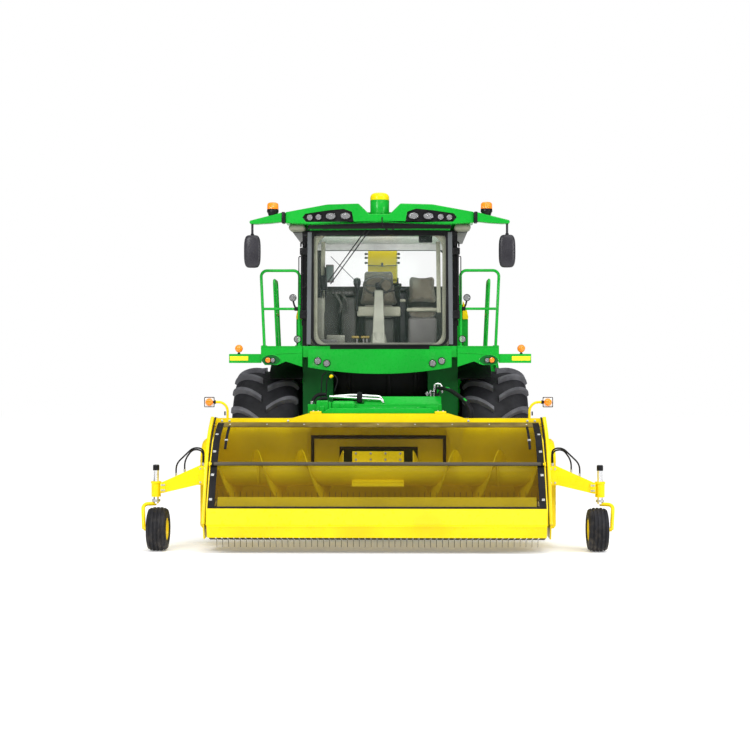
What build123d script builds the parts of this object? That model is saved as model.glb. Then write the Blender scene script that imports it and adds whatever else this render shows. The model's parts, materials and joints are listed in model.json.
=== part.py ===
from build123d import *
import os
from math import cos, pi, radians, sin

# Self-propelled forage harvester with a windrow pickup, in millimetres.
# +Z is up, the machine faces -Y and its left side is +X.
# The origin is on the ground, midway along the length and the width.
# Places along the machine are distances behind the front axle (negative is ahead).

os.makedirs("parts", exist_ok=True)

# Overall layout
FRONT_REACH = 3140  # front axle to the foremost edge of the press band
REAR_REACH = 4920  # front axle to the tip of the spout's cap
AXLE_Y = (FRONT_REACH - REAR_REACH) / 2  # front axle in the part's own frame
WHEELBASE = 3200
SEAT_GAP = 0.3  # running gap between a moving piece and what carries it
PANEL = 30  # thickness of a body panel


def behind(distance):
    """Y of a plane at a distance behind the front axle."""
    return AXLE_Y + distance


# Front wheels
FRONT_TYRE_R = 975
FRONT_TYRE_W = 790
FRONT_BORE_R = 425
FRONT_LUGS = 19  # odd, so that each casing stands on one of its flats
FRONT_LUG_H = 55
FRONT_TRACK = 2730
FRONT_DISC_OUT = 60  # the disc stands this far outside the wheel's middle

# Rear wheels
REAR_TYRE_R = 725
REAR_TYRE_W = 540
REAR_BORE_R = 395
REAR_LUGS = 17  # odd, as in front
REAR_LUG_H = 42
REAR_TRACK = 2400
REAR_DISC_OUT = 20
DISC_T = 30
KINGPIN_X = 930
KINGPIN_R = 60

# Axle heights: from the middle of a wheel to the flat that it stands on
FRONT_AXLE_Z = FRONT_TYRE_R * cos(pi / (2 * FRONT_LUGS))
REAR_AXLE_Z = REAR_TYRE_R * cos(pi / (2 * REAR_LUGS))

# Chassis
RAIL_X = 380
RAIL_W = 120
RAIL_Z = (1130, 1370)
RAIL_FRONT = -600
RAIL_REAR = 4400
RAIL_IN = RAIL_X - RAIL_W / 2
RAIL_OUT = RAIL_X + RAIL_W / 2
AXLE_BEAM = 160  # height and depth of the rear axle beam

# Cab
CAB_HALF_W = 900
CAB_FRONT = -950
CAB_REAR = 700
DOOR_POST = 300  # middle of the post that carries the cab door's hinges
FLOOR_Z = (2050, 2182)
HEADER_Z = (3460, 3520)  # the ring beam over the windows
POST = 70
GLASS = 8
GLASS_BULGE = 110  # how far the windscreen and the panel below it bow forward
ROOF_TOP = 3800

# Cab doors
DOOR_GAP = 8
DOOR_T = 45
DOOR_EDGE = 55
DOOR_Y = (CAB_FRONT + POST + DOOR_GAP, DOOR_POST - POST / 2 - DOOR_GAP)
DOOR_Z = (FLOOR_Z[1] + DOOR_GAP, HEADER_Z[0] - DOOR_GAP)
DOOR_HINGE_X = CAB_HALF_W + 16
DOOR_HINGE_Y = DOOR_Y[1] - 5
DOOR_HINGE_Z = (DOOR_Z[0] + 180, DOOR_Z[1] - 180)
DOOR_PIN_R = 6
HINGE_HALF = 50  # half the height of a door hinge

# Platforms
PLATFORM_OUT = 1381
PLATFORM_T = 40
PLATFORM_REAR = 1830
FASCIA_LOW = 1961
MARKER_Z = (1985, 2090)
RAIL_TOP_Z = 3060
RAIL_MID_Z = 2615
TUBE_R = 17

# Rear body
BODY_HALF_W = 1100
BODY_FRONT = 900
BODY_REAR = 4550
BODY_LOW = 1580
SHOULDER_Z = 2560
HOOD_TOP = 2950
DOOR_FRONT = 1850
DOOR_REAR = 4080
FLAP_HINGE_X = BODY_HALF_W + 12  # the engine doors' hinge pins
FLAP_HINGE_Z = SHOULDER_Z - 4
FLAP_PIN_R = 6
FLAP_HINGES = (DOOR_FRONT + 150, (DOOR_FRONT + DOOR_REAR) / 2, DOOR_REAR - 150)

# Spout
SPOUT_Y = 1260  # middle of the turret
SPOUT_HALF_W = 185
SPOUT_DEPTH = 400
SPOUT_BASE_Z = 3090
SPOUT_BEND_Z = 3240
SPOUT_TOP_Z = 3940
SPOUT_TAIL_ANGLE = 27
CAP_LENGTH = 420
CAP_GAP = 18  # from the spout's end to the hinge of its cap
CAP_END = CAP_GAP + CAP_LENGTH
CAP_HINGE_R = 8
SPOUT_TAIL_DEPTH = 230
SPOUT_WALL = 12
TURRET_R = 250
TURRET_BORE_R = 178
TURRET_Z = HOOD_TOP

# Feeder and header
LIFT_Y = -450  # axis on which the feeder and the header lift
LIFT_Z = 1000
TRUNNION_R = 60
HEADER_BACK = -1774
FEED_FRONT = HEADER_BACK
FEED_REAR = -800
FEED_HALF_W = RAIL_OUT + 10
FEED_Z = (600, 1330)
ARM_T = 40
TRUNNION_X = FEED_HALF_W + ARM_T + 30
OPENING = (840, 690, 1025)  # width, low and high edge of the feed opening
MOUTH_DEPTH = 320
ROLL_BOX_X = (-170, 700)
# The housing of the upper feed rolls seen from the side. Columns: distance behind the axle, Z.
ROLL_BOX = [(-1480, 1310), (-1150, 1310), (-1150, 1560), (-1210, 1600), (-1420, 1600), (-1480, 1518)]
MOTOR_AT = (-1370, 1480)
MOTOR_R = 62
MOTOR_L = 400
BUNDLE_R = 19
# Route of the hose bundle. Columns: X, distance behind the axle, Z.
BUNDLE = [
    (650, -1390, 1599),
    (650, -1390, 1695),
    (770, -1560, 1690),
    (950, -1900, 1560),
    (1010, -2040, 1450),
    (1010, -2040, 1371),
]

CYL_X = 385  # the header's lift cylinders lie this far from the middle
BARREL_PIN = (0, 600)
ROD_PIN = (-1180, 560)
CYL_PIN_R = 20

WALL_X = 1800  # outer face of a header side wall
WALL_T = 14
BEAM_Z = (1306, 1421)
BEAM_END_Z = (1316, 1371)
BEAM_HALF_W = 770
BEAM_TAPER_X = 945  # where the raised middle of the beam begins
BEAM_Y = (-2090, -1990)
BACK_T = 20  # thickness of the header's rear wall
POST_SHEET = 14
POST_AT = 845
# A post of the rear wall seen from the front. Columns: X from its middle, Z.
HEADER_POST = [
    (-125, 1300),
    (125, 1300),
    (62, 1120),
    (55, 1000),
    (95, 860),
    (120, 640),
    (-120, 640),
    (-95, 860),
    (-55, 1000),
    (-62, 1120),
]
HOOD_FRAME = (1490, 1140, 32)  # the frame over the feed opening: width, underside, bar
COVER_Y = (-2440, -1800)
COVER_Z = (210, 960, 1150)  # low edge, where the round top springs, and its crown
COVER_OUT = 95
STALK_X = 1646
STALK_Y = -2040
STALK_R = 14
STALK_LAMP = (1844, 1546)
LAMP_PLATE = 55
AUGER_Y = -2160
AUGER_Z = 770
AUGER_R = 265
AUGER_TUBE_R = 130
AUGER_PITCH = 480
REEL_Y = -2770
REEL_Z = 330
TINE_R = 290
BAND_R = 215
TINE_PITCH = 62
AUGER_SHAFT_R = 45
REEL_SHAFT_R = 45
BEARING_T = 22
LIP_Y = -2500  # front edge of the pan under the auger
LIP_Z = 515
GUARD_PIVOT = (-2130, 1290)  # axis on which the crop shield and the press band lift
GUARD_PIN_R = 12
GUARD_X = 1738  # inner face of the arms that carry the shield and the band
GAUGE_X = 2295
GAUGE_Y = -2740
GAUGE_R = 228
GAUGE_W = 210
GAUGE_RIM_R = 118
POST_X = 2345
POST_Y = -2560
POST_R = 28


def save(builder, name):
    """Labels a finished piece and writes it as the node of that name."""
    builder.part.label = name
    export_step(builder.part, f"parts/{name}.step")


def block(x, y, z, mode=Mode.ADD):
    """A box between (low, high) pairs along X, Y (behind the front axle) and Z."""
    middle = (sum(x) / 2, behind(sum(y) / 2), sum(z) / 2)
    with Locations(middle):
        return Box(x[1] - x[0], y[1] - y[0], z[1] - z[0], mode=mode)


def rod(start, end, radius, mode=Mode.ADD):
    """A round bar between two points, given as X, distance behind the axle and Z."""
    a = Vector(start[0], behind(start[1]), start[2])
    b = Vector(end[0], behind(end[1]), end[2])
    with BuildSketch(Plane(origin=a, z_dir=b - a)) as end_face:
        Circle(radius)
    extrude(end_face.sketch, amount=(b - a).length, mode=mode)


def upright(x, y, z, radius, mode=Mode.ADD):
    """An upright round bar between two heights, standing at X and a distance behind."""
    with Locations((x, behind(y), z[0])):
        Cylinder(radius, z[1] - z[0], align=(Align.CENTER, Align.CENTER, Align.MIN), mode=mode)


def bent_tube(points, radius, bend):
    """A round tube along straight runs joined by arcs of one radius."""
    route = [Vector(x, behind(y), z) for x, y, z in points]
    with BuildLine() as path:
        FilletPolyline(*route, radius=bend)
    with BuildSketch(Plane(origin=route[0], z_dir=route[1] - route[0])) as end_face:
        Circle(radius)
    sweep(end_face.sketch, path=path.line)


def side_profile(points):
    """A closed outline seen from the side, points as distance behind the axle and Z."""
    with BuildLine() as outline:
        Polyline(*[(behind(y), z) for y, z in points], close=True)
    make_face(outline.edges())


def polygon_loft(stations, sides, mode=Mode.ADD):
    """A many-sided casing through rings given as X and radius, about the X axis."""
    rings = []
    for x, radius in stations:
        with BuildSketch(Plane.YZ.offset(x)) as ring:
            RegularPolygon(radius, sides)
        rings.append(ring.sketch)
    loft(rings, ruled=True, mode=mode)


# Envelope of the lug tips. Columns: share of the half width, share of the radius.
LUG_CROWN = [(-1.0, 0.90), (-0.86, 1.0), (0.86, 1.0), (1.0, 0.90)]


def tractor_tyre(radius, width, bore, lugs, lug_height):
    """A cleated tyre about the X axis. The casing has one flat to each lug."""
    half = width / 2
    sides = 2 * lugs
    tread = radius - lug_height
    mid = (tread + bore) / 2
    # Columns: share of the half width, radius.
    shoulder = [(1.0, mid), (0.96, mid + 0.62 * (tread - mid)), (0.74, tread)]
    stations = [(-s * half, r) for s, r in shoulder]
    stations += [(s * half, r) for s, r in reversed(shoulder)]
    # The lug in plan, right half. Columns: share of the half width, lag along the tread.
    lead = [(0.04, 0), (0.46, 0.35), (1.03, 0.58)]
    thick = [0.055, 0.060, 0.085]
    edge_a = [(s * half, (lag - t) * half) for (s, lag), t in zip(lead, thick)]
    edge_b = [(s * half, (lag + t) * half) for (s, lag), t in zip(lead, thick)]
    with BuildPart() as lug:
        with BuildSketch(Plane.XY.offset(tread * 0.86)):
            with BuildLine():
                Polyline(*edge_a, *reversed(edge_b), close=True)
            make_face()
        extrude(amount=radius)
    pitch = 360 / lugs
    turns = [Location((0, 0, 0), (pitch * i, 0, 0)) for i in range(lugs)]
    half_turns = [Location((0, 0, 0), (pitch * (i + 0.5), 0, 0)) for i in range(lugs)]
    with BuildPart() as lug_ring:
        with Locations(*turns):
            add(lug.part)
        with Locations(*half_turns):
            add(lug.part.mirror(Plane.YZ))
        crown = [(x * half, r * radius) for x, r in LUG_CROWN]
        polygon_loft(crown, sides, mode=Mode.INTERSECT)
    with BuildPart() as tyre:
        polygon_loft(stations, sides)
        add(lug_ring.part)
        for side in (-1, 1):
            lip = [(side * half, mid - 20), (side * 0.82 * half, bore)]
            polygon_loft(sorted(lip), sides, mode=Mode.SUBTRACT)
        Cylinder(bore, width, rotation=(0, 90, 0), mode=Mode.SUBTRACT)
    return tyre


def wheel_rim(bore, width, disc_out, hub_r):
    """A dished rim about the X axis, its disc outside the middle. +X is outwards."""
    half = 0.80 * width / 2
    with BuildPart() as rim:
        with BuildSketch(Plane.XZ):
            with BuildLine():
                Polyline(
                    (-half, bore),
                    (half, bore),
                    (half, bore - 30),
                    (disc_out + DISC_T / 2 + 60, bore - 75),
                    (disc_out + DISC_T / 2, 0.55 * bore),
                    (disc_out + DISC_T / 2, 0),
                    (disc_out - DISC_T / 2, 0),
                    (disc_out - DISC_T / 2, 0.55 * bore),
                    (disc_out - DISC_T / 2, bore - 60),
                    (-half, bore - 30),
                    close=True,
                )
            make_face()
        revolve(axis=Axis.X)
        with Locations(Plane.YZ.offset(disc_out + DISC_T / 2)):
            Cylinder(hub_r, 40, align=(Align.CENTER, Align.CENTER, Align.MIN))
            with PolarLocations(0.42 * bore, 8):
                Cylinder(14, 22, align=(Align.CENTER, Align.CENTER, Align.MIN))
    return rim


def place_wheel(builder, name, x, y, z):
    """Writes a wheel piece at its hub, turned so that its outside faces outwards."""
    turn = Location((x, behind(y), z)) if x > 0 else Location((x, behind(y), z), (0, 0, 180))
    placed = builder.part.moved(turn)
    placed.label = name
    export_step(placed, f"parts/{name}.step")


# Wheels
front_tyre = tractor_tyre(FRONT_TYRE_R, FRONT_TYRE_W, FRONT_BORE_R, FRONT_LUGS, FRONT_LUG_H)
rear_tyre = tractor_tyre(REAR_TYRE_R, REAR_TYRE_W, REAR_BORE_R, REAR_LUGS, REAR_LUG_H)
front_rim = wheel_rim(FRONT_BORE_R, FRONT_TYRE_W, FRONT_DISC_OUT, 150)
rear_rim = wheel_rim(REAR_BORE_R, REAR_TYRE_W, REAR_DISC_OUT, 100)
for side, word in ((1, "left"), (-1, "right")):
    place_wheel(front_tyre, f"front_tyre_{word}", side * FRONT_TRACK / 2, 0, FRONT_AXLE_Z)
    place_wheel(front_rim, f"front_rim_{word}", side * FRONT_TRACK / 2, 0, FRONT_AXLE_Z)
    place_wheel(rear_tyre, f"rear_tyre_{word}", side * REAR_TRACK / 2, WHEELBASE, REAR_AXLE_Z)
    place_wheel(rear_rim, f"rear_rim_{word}", side * REAR_TRACK / 2, WHEELBASE, REAR_AXLE_Z)

# Chassis rails
with BuildPart() as chassis_rails:
    for side in (-1, 1):
        block(sorted((side * RAIL_IN, side * RAIL_OUT)), (RAIL_FRONT, RAIL_REAR), RAIL_Z)
save(chassis_rails, "chassis_rails")

# Between the rails: cross members and the saddle of the rear axle; across their ends the hitch
HITCH_Z = RAIL_Z[0] + 50
HITCH_R = 16
HITCH_PIN_Y = 4730
HITCH_T = 40
REAR_PLATE = 30
CROSS_LOW = RAIL_Z[0] + 50  # lower edge of the cross members behind the front axle
CROSS_Y = (1000, 1700, 2300, 4300)
with BuildPart() as chassis_frame:
    for y, low in ((0, RAIL_Z[0]), *((y, CROSS_LOW) for y in CROSS_Y)):
        block((-RAIL_IN, RAIL_IN), (y - RAIL_W / 2, y + RAIL_W / 2), (low, RAIL_Z[1]))
    with BuildSketch(Plane.YZ):
        side_profile(
            [
                (WHEELBASE - 260, RAIL_Z[1]),
                (WHEELBASE + 260, RAIL_Z[1]),
                (WHEELBASE + 110, REAR_AXLE_Z + AXLE_BEAM / 2),
                (WHEELBASE - 110, REAR_AXLE_Z + AXLE_BEAM / 2),
            ]
        )
    extrude(amount=RAIL_IN, both=True)
    block((-RAIL_OUT, RAIL_OUT), (RAIL_REAR, RAIL_REAR + REAR_PLATE), (RAIL_Z[0] - 70, RAIL_Z[1]))
    with BuildSketch(Plane.XY.offset(HITCH_Z - HITCH_T / 2)):
        with BuildLine():
            Polyline(
                (-150, behind(RAIL_REAR + REAR_PLATE)),
                (150, behind(RAIL_REAR + REAR_PLATE)),
                (70, behind(HITCH_PIN_Y)),
                (-70, behind(HITCH_PIN_Y)),
                close=True,
            )
        make_face()
        with Locations((0, behind(HITCH_PIN_Y))):
            Circle(70)
            Circle(HITCH_R, mode=Mode.SUBTRACT)
    extrude(amount=HITCH_T)
save(chassis_frame, "chassis_frame")

# Front axle: a drive housing, a final drive inside each rim and the lift cylinders' pins
HUB_FACE_FRONT = FRONT_TRACK / 2 + FRONT_DISC_OUT - DISC_T / 2 - SEAT_GAP
with BuildPart() as front_axle:
    with BuildSketch(Plane.XZ.offset(-AXLE_Y)):
        with BuildLine():
            Polyline(
                (0, FRONT_AXLE_Z),
                (0, FRONT_AXLE_Z + 155),
                (260, FRONT_AXLE_Z + 155),
                (340, FRONT_AXLE_Z + 120),
                (820, FRONT_AXLE_Z + 110),
                (900, FRONT_AXLE_Z + 215),
                (1180, FRONT_AXLE_Z + 215),
                (1240, FRONT_AXLE_Z + 130),
                (HUB_FACE_FRONT, FRONT_AXLE_Z + 130),
                (HUB_FACE_FRONT, FRONT_AXLE_Z),
                close=True,
            )
        make_face()
        mirror(about=Plane.YZ)
    revolve(axis=Axis((0, AXLE_Y, FRONT_AXLE_Z), (1, 0, 0)))
    for side in (-1, 1):
        block(
            sorted((side * RAIL_IN, side * RAIL_OUT)),
            (-110, 110),
            (FRONT_AXLE_Z + 60, RAIL_Z[0]),
        )
        for x in (CYL_X - 75, CYL_X + 55):
            ear = sorted((side * x, side * (x + 20)))
            block(ear, (-60, 60), (BARREL_PIN[1] - 60, FRONT_AXLE_Z - 120))
        rod(
            (side * (CYL_X - 75), BARREL_PIN[0], BARREL_PIN[1]),
            (side * (CYL_X + 75), BARREL_PIN[0], BARREL_PIN[1]),
            CYL_PIN_R,
        )
save(front_axle, "front_axle")

# Rear axle beam with a kingpin boss at each end and the steering cylinder behind it
BEAM_TOP = REAR_AXLE_Z + AXLE_BEAM / 2
BEAM_LOW = REAR_AXLE_Z - AXLE_BEAM / 2
STEER_BACK = 190  # the steering cylinder lies this far behind the axle
STEER_ROD_R = 20
ARM_LENGTH = STEER_BACK
with BuildPart() as rear_axle_beam:
    block(
        (-KINGPIN_X, KINGPIN_X),
        (WHEELBASE - AXLE_BEAM / 2, WHEELBASE + AXLE_BEAM / 2),
        (BEAM_LOW, BEAM_TOP),
    )
    for side in (-1, 1):
        with Locations((side * KINGPIN_X, behind(WHEELBASE), REAR_AXLE_Z)):
            Cylinder(AXLE_BEAM / 2 + 20, AXLE_BEAM)
        rod(
            (side * KINGPIN_X, WHEELBASE, REAR_AXLE_Z - 160),
            (side * KINGPIN_X, WHEELBASE, REAR_AXLE_Z + 160),
            KINGPIN_R / 2,
        )
    rod((-330, WHEELBASE + STEER_BACK, REAR_AXLE_Z), (330, WHEELBASE + STEER_BACK, REAR_AXLE_Z), 55)
    for x in (-240, 240):
        block(
            (x - 40, x + 40),
            (WHEELBASE + AXLE_BEAM / 2, WHEELBASE + STEER_BACK),
            (REAR_AXLE_Z - 40, REAR_AXLE_Z + 40),
        )
    rod(
        (-330, WHEELBASE + STEER_BACK, REAR_AXLE_Z),
        (330, WHEELBASE + STEER_BACK, REAR_AXLE_Z),
        STEER_ROD_R + SEAT_GAP,
        mode=Mode.SUBTRACT,
    )
save(rear_axle_beam, "rear_axle_beam")

STEER_EYE_X = KINGPIN_X - 60
with BuildPart() as steering_rod:
    rod(
        (-STEER_EYE_X, WHEELBASE + STEER_BACK, REAR_AXLE_Z),
        (STEER_EYE_X, WHEELBASE + STEER_BACK, REAR_AXLE_Z),
        STEER_ROD_R,
    )
    for side in (-1, 1):
        with Locations((side * STEER_EYE_X, behind(WHEELBASE + STEER_BACK), REAR_AXLE_Z)):
            Cylinder(38, 50)
save(steering_rod, "steering_rod")

# Steering knuckles: a fork round the axle's boss, a spindle and a steering arm
EAR_T = 40
HUB_FACE_REAR = REAR_TRACK / 2 + REAR_DISC_OUT - DISC_T / 2 - SEAT_GAP
with BuildPart() as knuckle:
    for low in (BEAM_TOP + SEAT_GAP, BEAM_LOW - SEAT_GAP - EAR_T):
        with BuildSketch(Plane.XY.offset(low)):
            with Locations((KINGPIN_X, behind(WHEELBASE))):
                Circle(80)
            with Locations((KINGPIN_X + 80, behind(WHEELBASE))):
                Rectangle(160, 150)
        extrude(amount=EAR_T)
    block(
        (KINGPIN_X + 110, KINGPIN_X + 160),
        (WHEELBASE - 75, WHEELBASE + 75),
        (BEAM_LOW - SEAT_GAP - EAR_T, BEAM_TOP + SEAT_GAP + EAR_T),
    )
    with BuildSketch(Plane.XY.offset(BEAM_LOW - SEAT_GAP - EAR_T)):
        with BuildLine():
            Polyline(
                (KINGPIN_X - 70, behind(WHEELBASE + 30)),
                (KINGPIN_X + 40, behind(WHEELBASE + 30)),
                (STEER_EYE_X + 35, behind(WHEELBASE + ARM_LENGTH + 35)),
                (STEER_EYE_X - 35, behind(WHEELBASE + ARM_LENGTH + 35)),
                close=True,
            )
        make_face()
    extrude(amount=EAR_T)
    rod(
        (KINGPIN_X + 150, WHEELBASE, REAR_AXLE_Z),
        (HUB_FACE_REAR, WHEELBASE, REAR_AXLE_Z),
        75,
    )
    rod(
        (KINGPIN_X, WHEELBASE, BEAM_LOW - 100),
        (KINGPIN_X, WHEELBASE, BEAM_TOP + 100),
        KINGPIN_R / 2 + SEAT_GAP,
        mode=Mode.SUBTRACT,
    )
save(knuckle, "knuckle_left")
knuckle_right = knuckle.part.mirror(Plane.YZ)
knuckle_right.label = "knuckle_right"
export_step(knuckle_right, "parts/knuckle_right.step")

# Cutterhead housing with the trunnions of the header lift
with BuildPart() as cutterhead_housing:
    with BuildSketch(Plane.YZ):
        side_profile([(-660, 640), (-230, 700), (-230, 1600), (-480, 1600), (-660, 1450)])
    extrude(amount=RAIL_IN, both=True)
    rod((-TRUNNION_X, LIFT_Y, LIFT_Z), (TRUNNION_X, LIFT_Y, LIFT_Z), TRUNNION_R)
save(cutterhead_housing, "cutterhead_housing")

# Side boxes under the cab: they stand on the rails and carry the cab and platforms
SUPPORT_IN = 560
SUPPORT_OUT = 920
SUPPORT_FRONT = -560
SUPPORT_LENGTH = 1280
SUPPORT_LOW = 1250
with BuildPart() as cab_supports:
    with BuildSketch(Plane.XZ.offset(-behind(SUPPORT_FRONT))):
        for side in (1, -1):
            with BuildLine():
                Polyline(
                    (side * RAIL_OUT, SUPPORT_LOW),
                    (side * SUPPORT_OUT, SUPPORT_LOW),
                    (side * SUPPORT_OUT, FLOOR_Z[0]),
                    (side * SUPPORT_IN, FLOOR_Z[0]),
                    (side * SUPPORT_IN, RAIL_Z[1]),
                    (side * RAIL_OUT, RAIL_Z[1]),
                    close=True,
                )
            make_face()
    extrude(amount=-SUPPORT_LENGTH)
save(cab_supports, "cab_supports")

# Cab floor: a tub that carries the seats
with BuildPart() as cab_floor:
    with BuildSketch(Plane.XY.offset(FLOOR_Z[0])):
        with BuildLine():
            Polyline(
                (CAB_HALF_W, behind(CAB_FRONT)),
                (CAB_HALF_W, behind(CAB_REAR)),
                (-CAB_HALF_W, behind(CAB_REAR)),
                (-CAB_HALF_W, behind(CAB_FRONT)),
            )
            ThreePointArc(
                (-CAB_HALF_W, behind(CAB_FRONT)),
                (0, behind(CAB_FRONT - GLASS_BULGE)),
                (CAB_HALF_W, behind(CAB_FRONT)),
            )
        make_face()
    extrude(amount=FLOOR_Z[1] - FLOOR_Z[0])
save(cab_floor, "cab_floor")


def front_arc_face(outer, inner, half_w):
    """A strip in plan that bows forward like the windscreen, between two offsets."""
    with BuildLine() as outline:
        a = ThreePointArc(
            (-CAB_HALF_W, behind(CAB_FRONT + outer)),
            (0, behind(CAB_FRONT + outer - GLASS_BULGE)),
            (CAB_HALF_W, behind(CAB_FRONT + outer)),
        )
        b = ThreePointArc(
            (-CAB_HALF_W, behind(CAB_FRONT + inner)),
            (0, behind(CAB_FRONT + inner - GLASS_BULGE)),
            (CAB_HALF_W, behind(CAB_FRONT + inner)),
        )
        Line(a @ 0, b @ 0)
        Line(a @ 1, b @ 1)
    make_face(outline.edges())
    with Locations((0, behind(CAB_FRONT))):
        Rectangle(2 * half_w, 6 * GLASS_BULGE, mode=Mode.INTERSECT)


# Cab frame: six posts and the ring beam over the windows
with BuildPart() as cab_frame:
    post_x = CAB_HALF_W - POST / 2
    for side in (-1, 1):
        for y in (CAB_FRONT + POST / 2, DOOR_POST, CAB_REAR - POST / 2):
            with Locations((side * post_x, behind(y), FLOOR_Z[1])):
                Box(POST, POST, HEADER_Z[0] - FLOOR_Z[1], align=(Align.CENTER, Align.CENTER, Align.MIN))
    with BuildSketch(Plane.XY.offset(HEADER_Z[0])):
        with BuildLine():
            Polyline(
                (CAB_HALF_W, behind(CAB_FRONT)),
                (CAB_HALF_W, behind(CAB_REAR)),
                (-CAB_HALF_W, behind(CAB_REAR)),
                (-CAB_HALF_W, behind(CAB_FRONT)),
            )
            ThreePointArc(
                (-CAB_HALF_W, behind(CAB_FRONT)),
                (0, behind(CAB_FRONT - GLASS_BULGE)),
                (CAB_HALF_W, behind(CAB_FRONT)),
            )
        make_face()
        with Locations((0, behind((CAB_FRONT + CAB_REAR) / 2))):
            Rectangle(2 * (CAB_HALF_W - POST), CAB_REAR - CAB_FRONT - 2 * POST, mode=Mode.SUBTRACT)
    extrude(amount=HEADER_Z[1] - HEADER_Z[0])
    # Brackets and pins of the door hinges
    for side in (-1, 1):
        for z in DOOR_HINGE_Z:
            over = (z + HINGE_HALF + 1, z + HINGE_HALF + 19)
            near, far = DOOR_HINGE_Y - 8, DOOR_POST
            block(sorted((side * (DOOR_HINGE_X - 8), side * (DOOR_HINGE_X + 8))), (near, far), over)
            block(
                sorted((side * (CAB_HALF_W - 10), side * (DOOR_HINGE_X + 8))),
                (DOOR_POST - POST / 2, far),
                over,
            )
            upright(side * DOOR_HINGE_X, DOOR_HINGE_Y, (z - HINGE_HALF, over[1]), DOOR_PIN_R)
save(cab_frame, "cab_frame")

# Rear wall with its window opening, between the two rear posts
WINDOW_LOW = 2880
with BuildPart() as cab_rear_wall:
    with BuildSketch(Plane.XZ.offset(-behind(CAB_REAR - POST))):
        with BuildLine():
            inner = CAB_HALF_W - POST
            Polyline(
                (-inner, FLOOR_Z[1]),
                (inner, FLOOR_Z[1]),
                (inner, HEADER_Z[0]),
                (-inner, HEADER_Z[0]),
                close=True,
            )
        make_face()
        with Locations((0, (WINDOW_LOW + HEADER_Z[0] - 40) / 2)):
            RectangleRounded(2 * inner - 120, HEADER_Z[0] - 40 - WINDOW_LOW, 60, mode=Mode.SUBTRACT)
    extrude(amount=-50)
save(cab_rear_wall, "cab_rear_wall")

# Fixed panes: the bowed windscreen, the rear window and one quarter pane on each side
with BuildPart() as cab_glass:
    with BuildSketch(Plane.XY.offset(FLOOR_Z[1])):
        front_arc_face(0, GLASS, CAB_HALF_W - POST + 20)
    extrude(amount=HEADER_Z[0] - FLOOR_Z[1])
    with BuildSketch(Plane.XZ.offset(-behind(CAB_REAR - POST + 20))):
        with Locations((0, (WINDOW_LOW + HEADER_Z[0] - 40) / 2)):
            RectangleRounded(2 * (CAB_HALF_W - POST) - 120, HEADER_Z[0] - 40 - WINDOW_LOW, 60)
    extrude(amount=-GLASS)
    for side in (-1, 1):
        block(
            sorted((side * (CAB_HALF_W - 30), side * (CAB_HALF_W - 30 - GLASS))),
            (DOOR_POST + POST / 2, CAB_REAR - POST),
            (FLOOR_Z[1], HEADER_Z[0]),
        )
save(cab_glass, "cab_glass")

# Cab doors, hinged on the middle post: a frame 45 thick with the window cut, and its pane
for side, word in ((1, "left"), (-1, "right")):
    plane = Plane(
        origin=(side * (CAB_HALF_W - DOOR_T), behind(sum(DOOR_Y) / 2), sum(DOOR_Z) / 2),
        x_dir=(0, 1, 0),
        z_dir=(side, 0, 0),
    )
    size = (DOOR_Y[1] - DOOR_Y[0], DOOR_Z[1] - DOOR_Z[0])
    pane_size = (size[0] - 2 * DOOR_EDGE, size[1] - 2 * DOOR_EDGE)
    with BuildPart() as door:
        with BuildSketch(plane):
            RectangleRounded(*size, 60)
            RectangleRounded(*pane_size, 45, mode=Mode.SUBTRACT)
        extrude(amount=DOOR_T)
        for z in DOOR_HINGE_Z:
            strap = sorted((side * (CAB_HALF_W - 5), side * DOOR_HINGE_X))
            block(strap, (DOOR_HINGE_Y - 10, DOOR_HINGE_Y + 4), (z - HINGE_HALF, z + HINGE_HALF))
            upright(side * DOOR_HINGE_X, DOOR_HINGE_Y, (z - HINGE_HALF, z + HINGE_HALF), 12)
            upright(
                side * DOOR_HINGE_X,
                DOOR_HINGE_Y,
                (z - HINGE_HALF, z + HINGE_HALF),
                DOOR_PIN_R + SEAT_GAP,
                Mode.SUBTRACT,
            )
    save(door, f"cab_door_{word}")
    with BuildPart() as pane:
        with BuildSketch(plane.offset(20)):
            RectangleRounded(*pane_size, 45)
        extrude(amount=GLASS)
    save(pane, f"cab_door_pane_{word}")

# Cab roof: a low dome with a lamp brow on each side of a notch at the front
ROOF_HALF_W = 1080
ROOF_FRONT = -1200
ROOF_REAR = 740
BROW_BACK = -880
RECEIVER_R = 110
LAMP_RECESS = 22
# Half of the brow seen from the front. Columns: X, Z.
BROW = [
    (0, 3600),
    (0, 3690),
    (RECEIVER_R + 8, 3690),
    (240, ROOF_TOP + 10),
    (600, ROOF_TOP),
    (ROOF_HALF_W, 3712),
    (ROOF_HALF_W, 3588),
    (780, 3572),
    (300, 3590),
]
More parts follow.
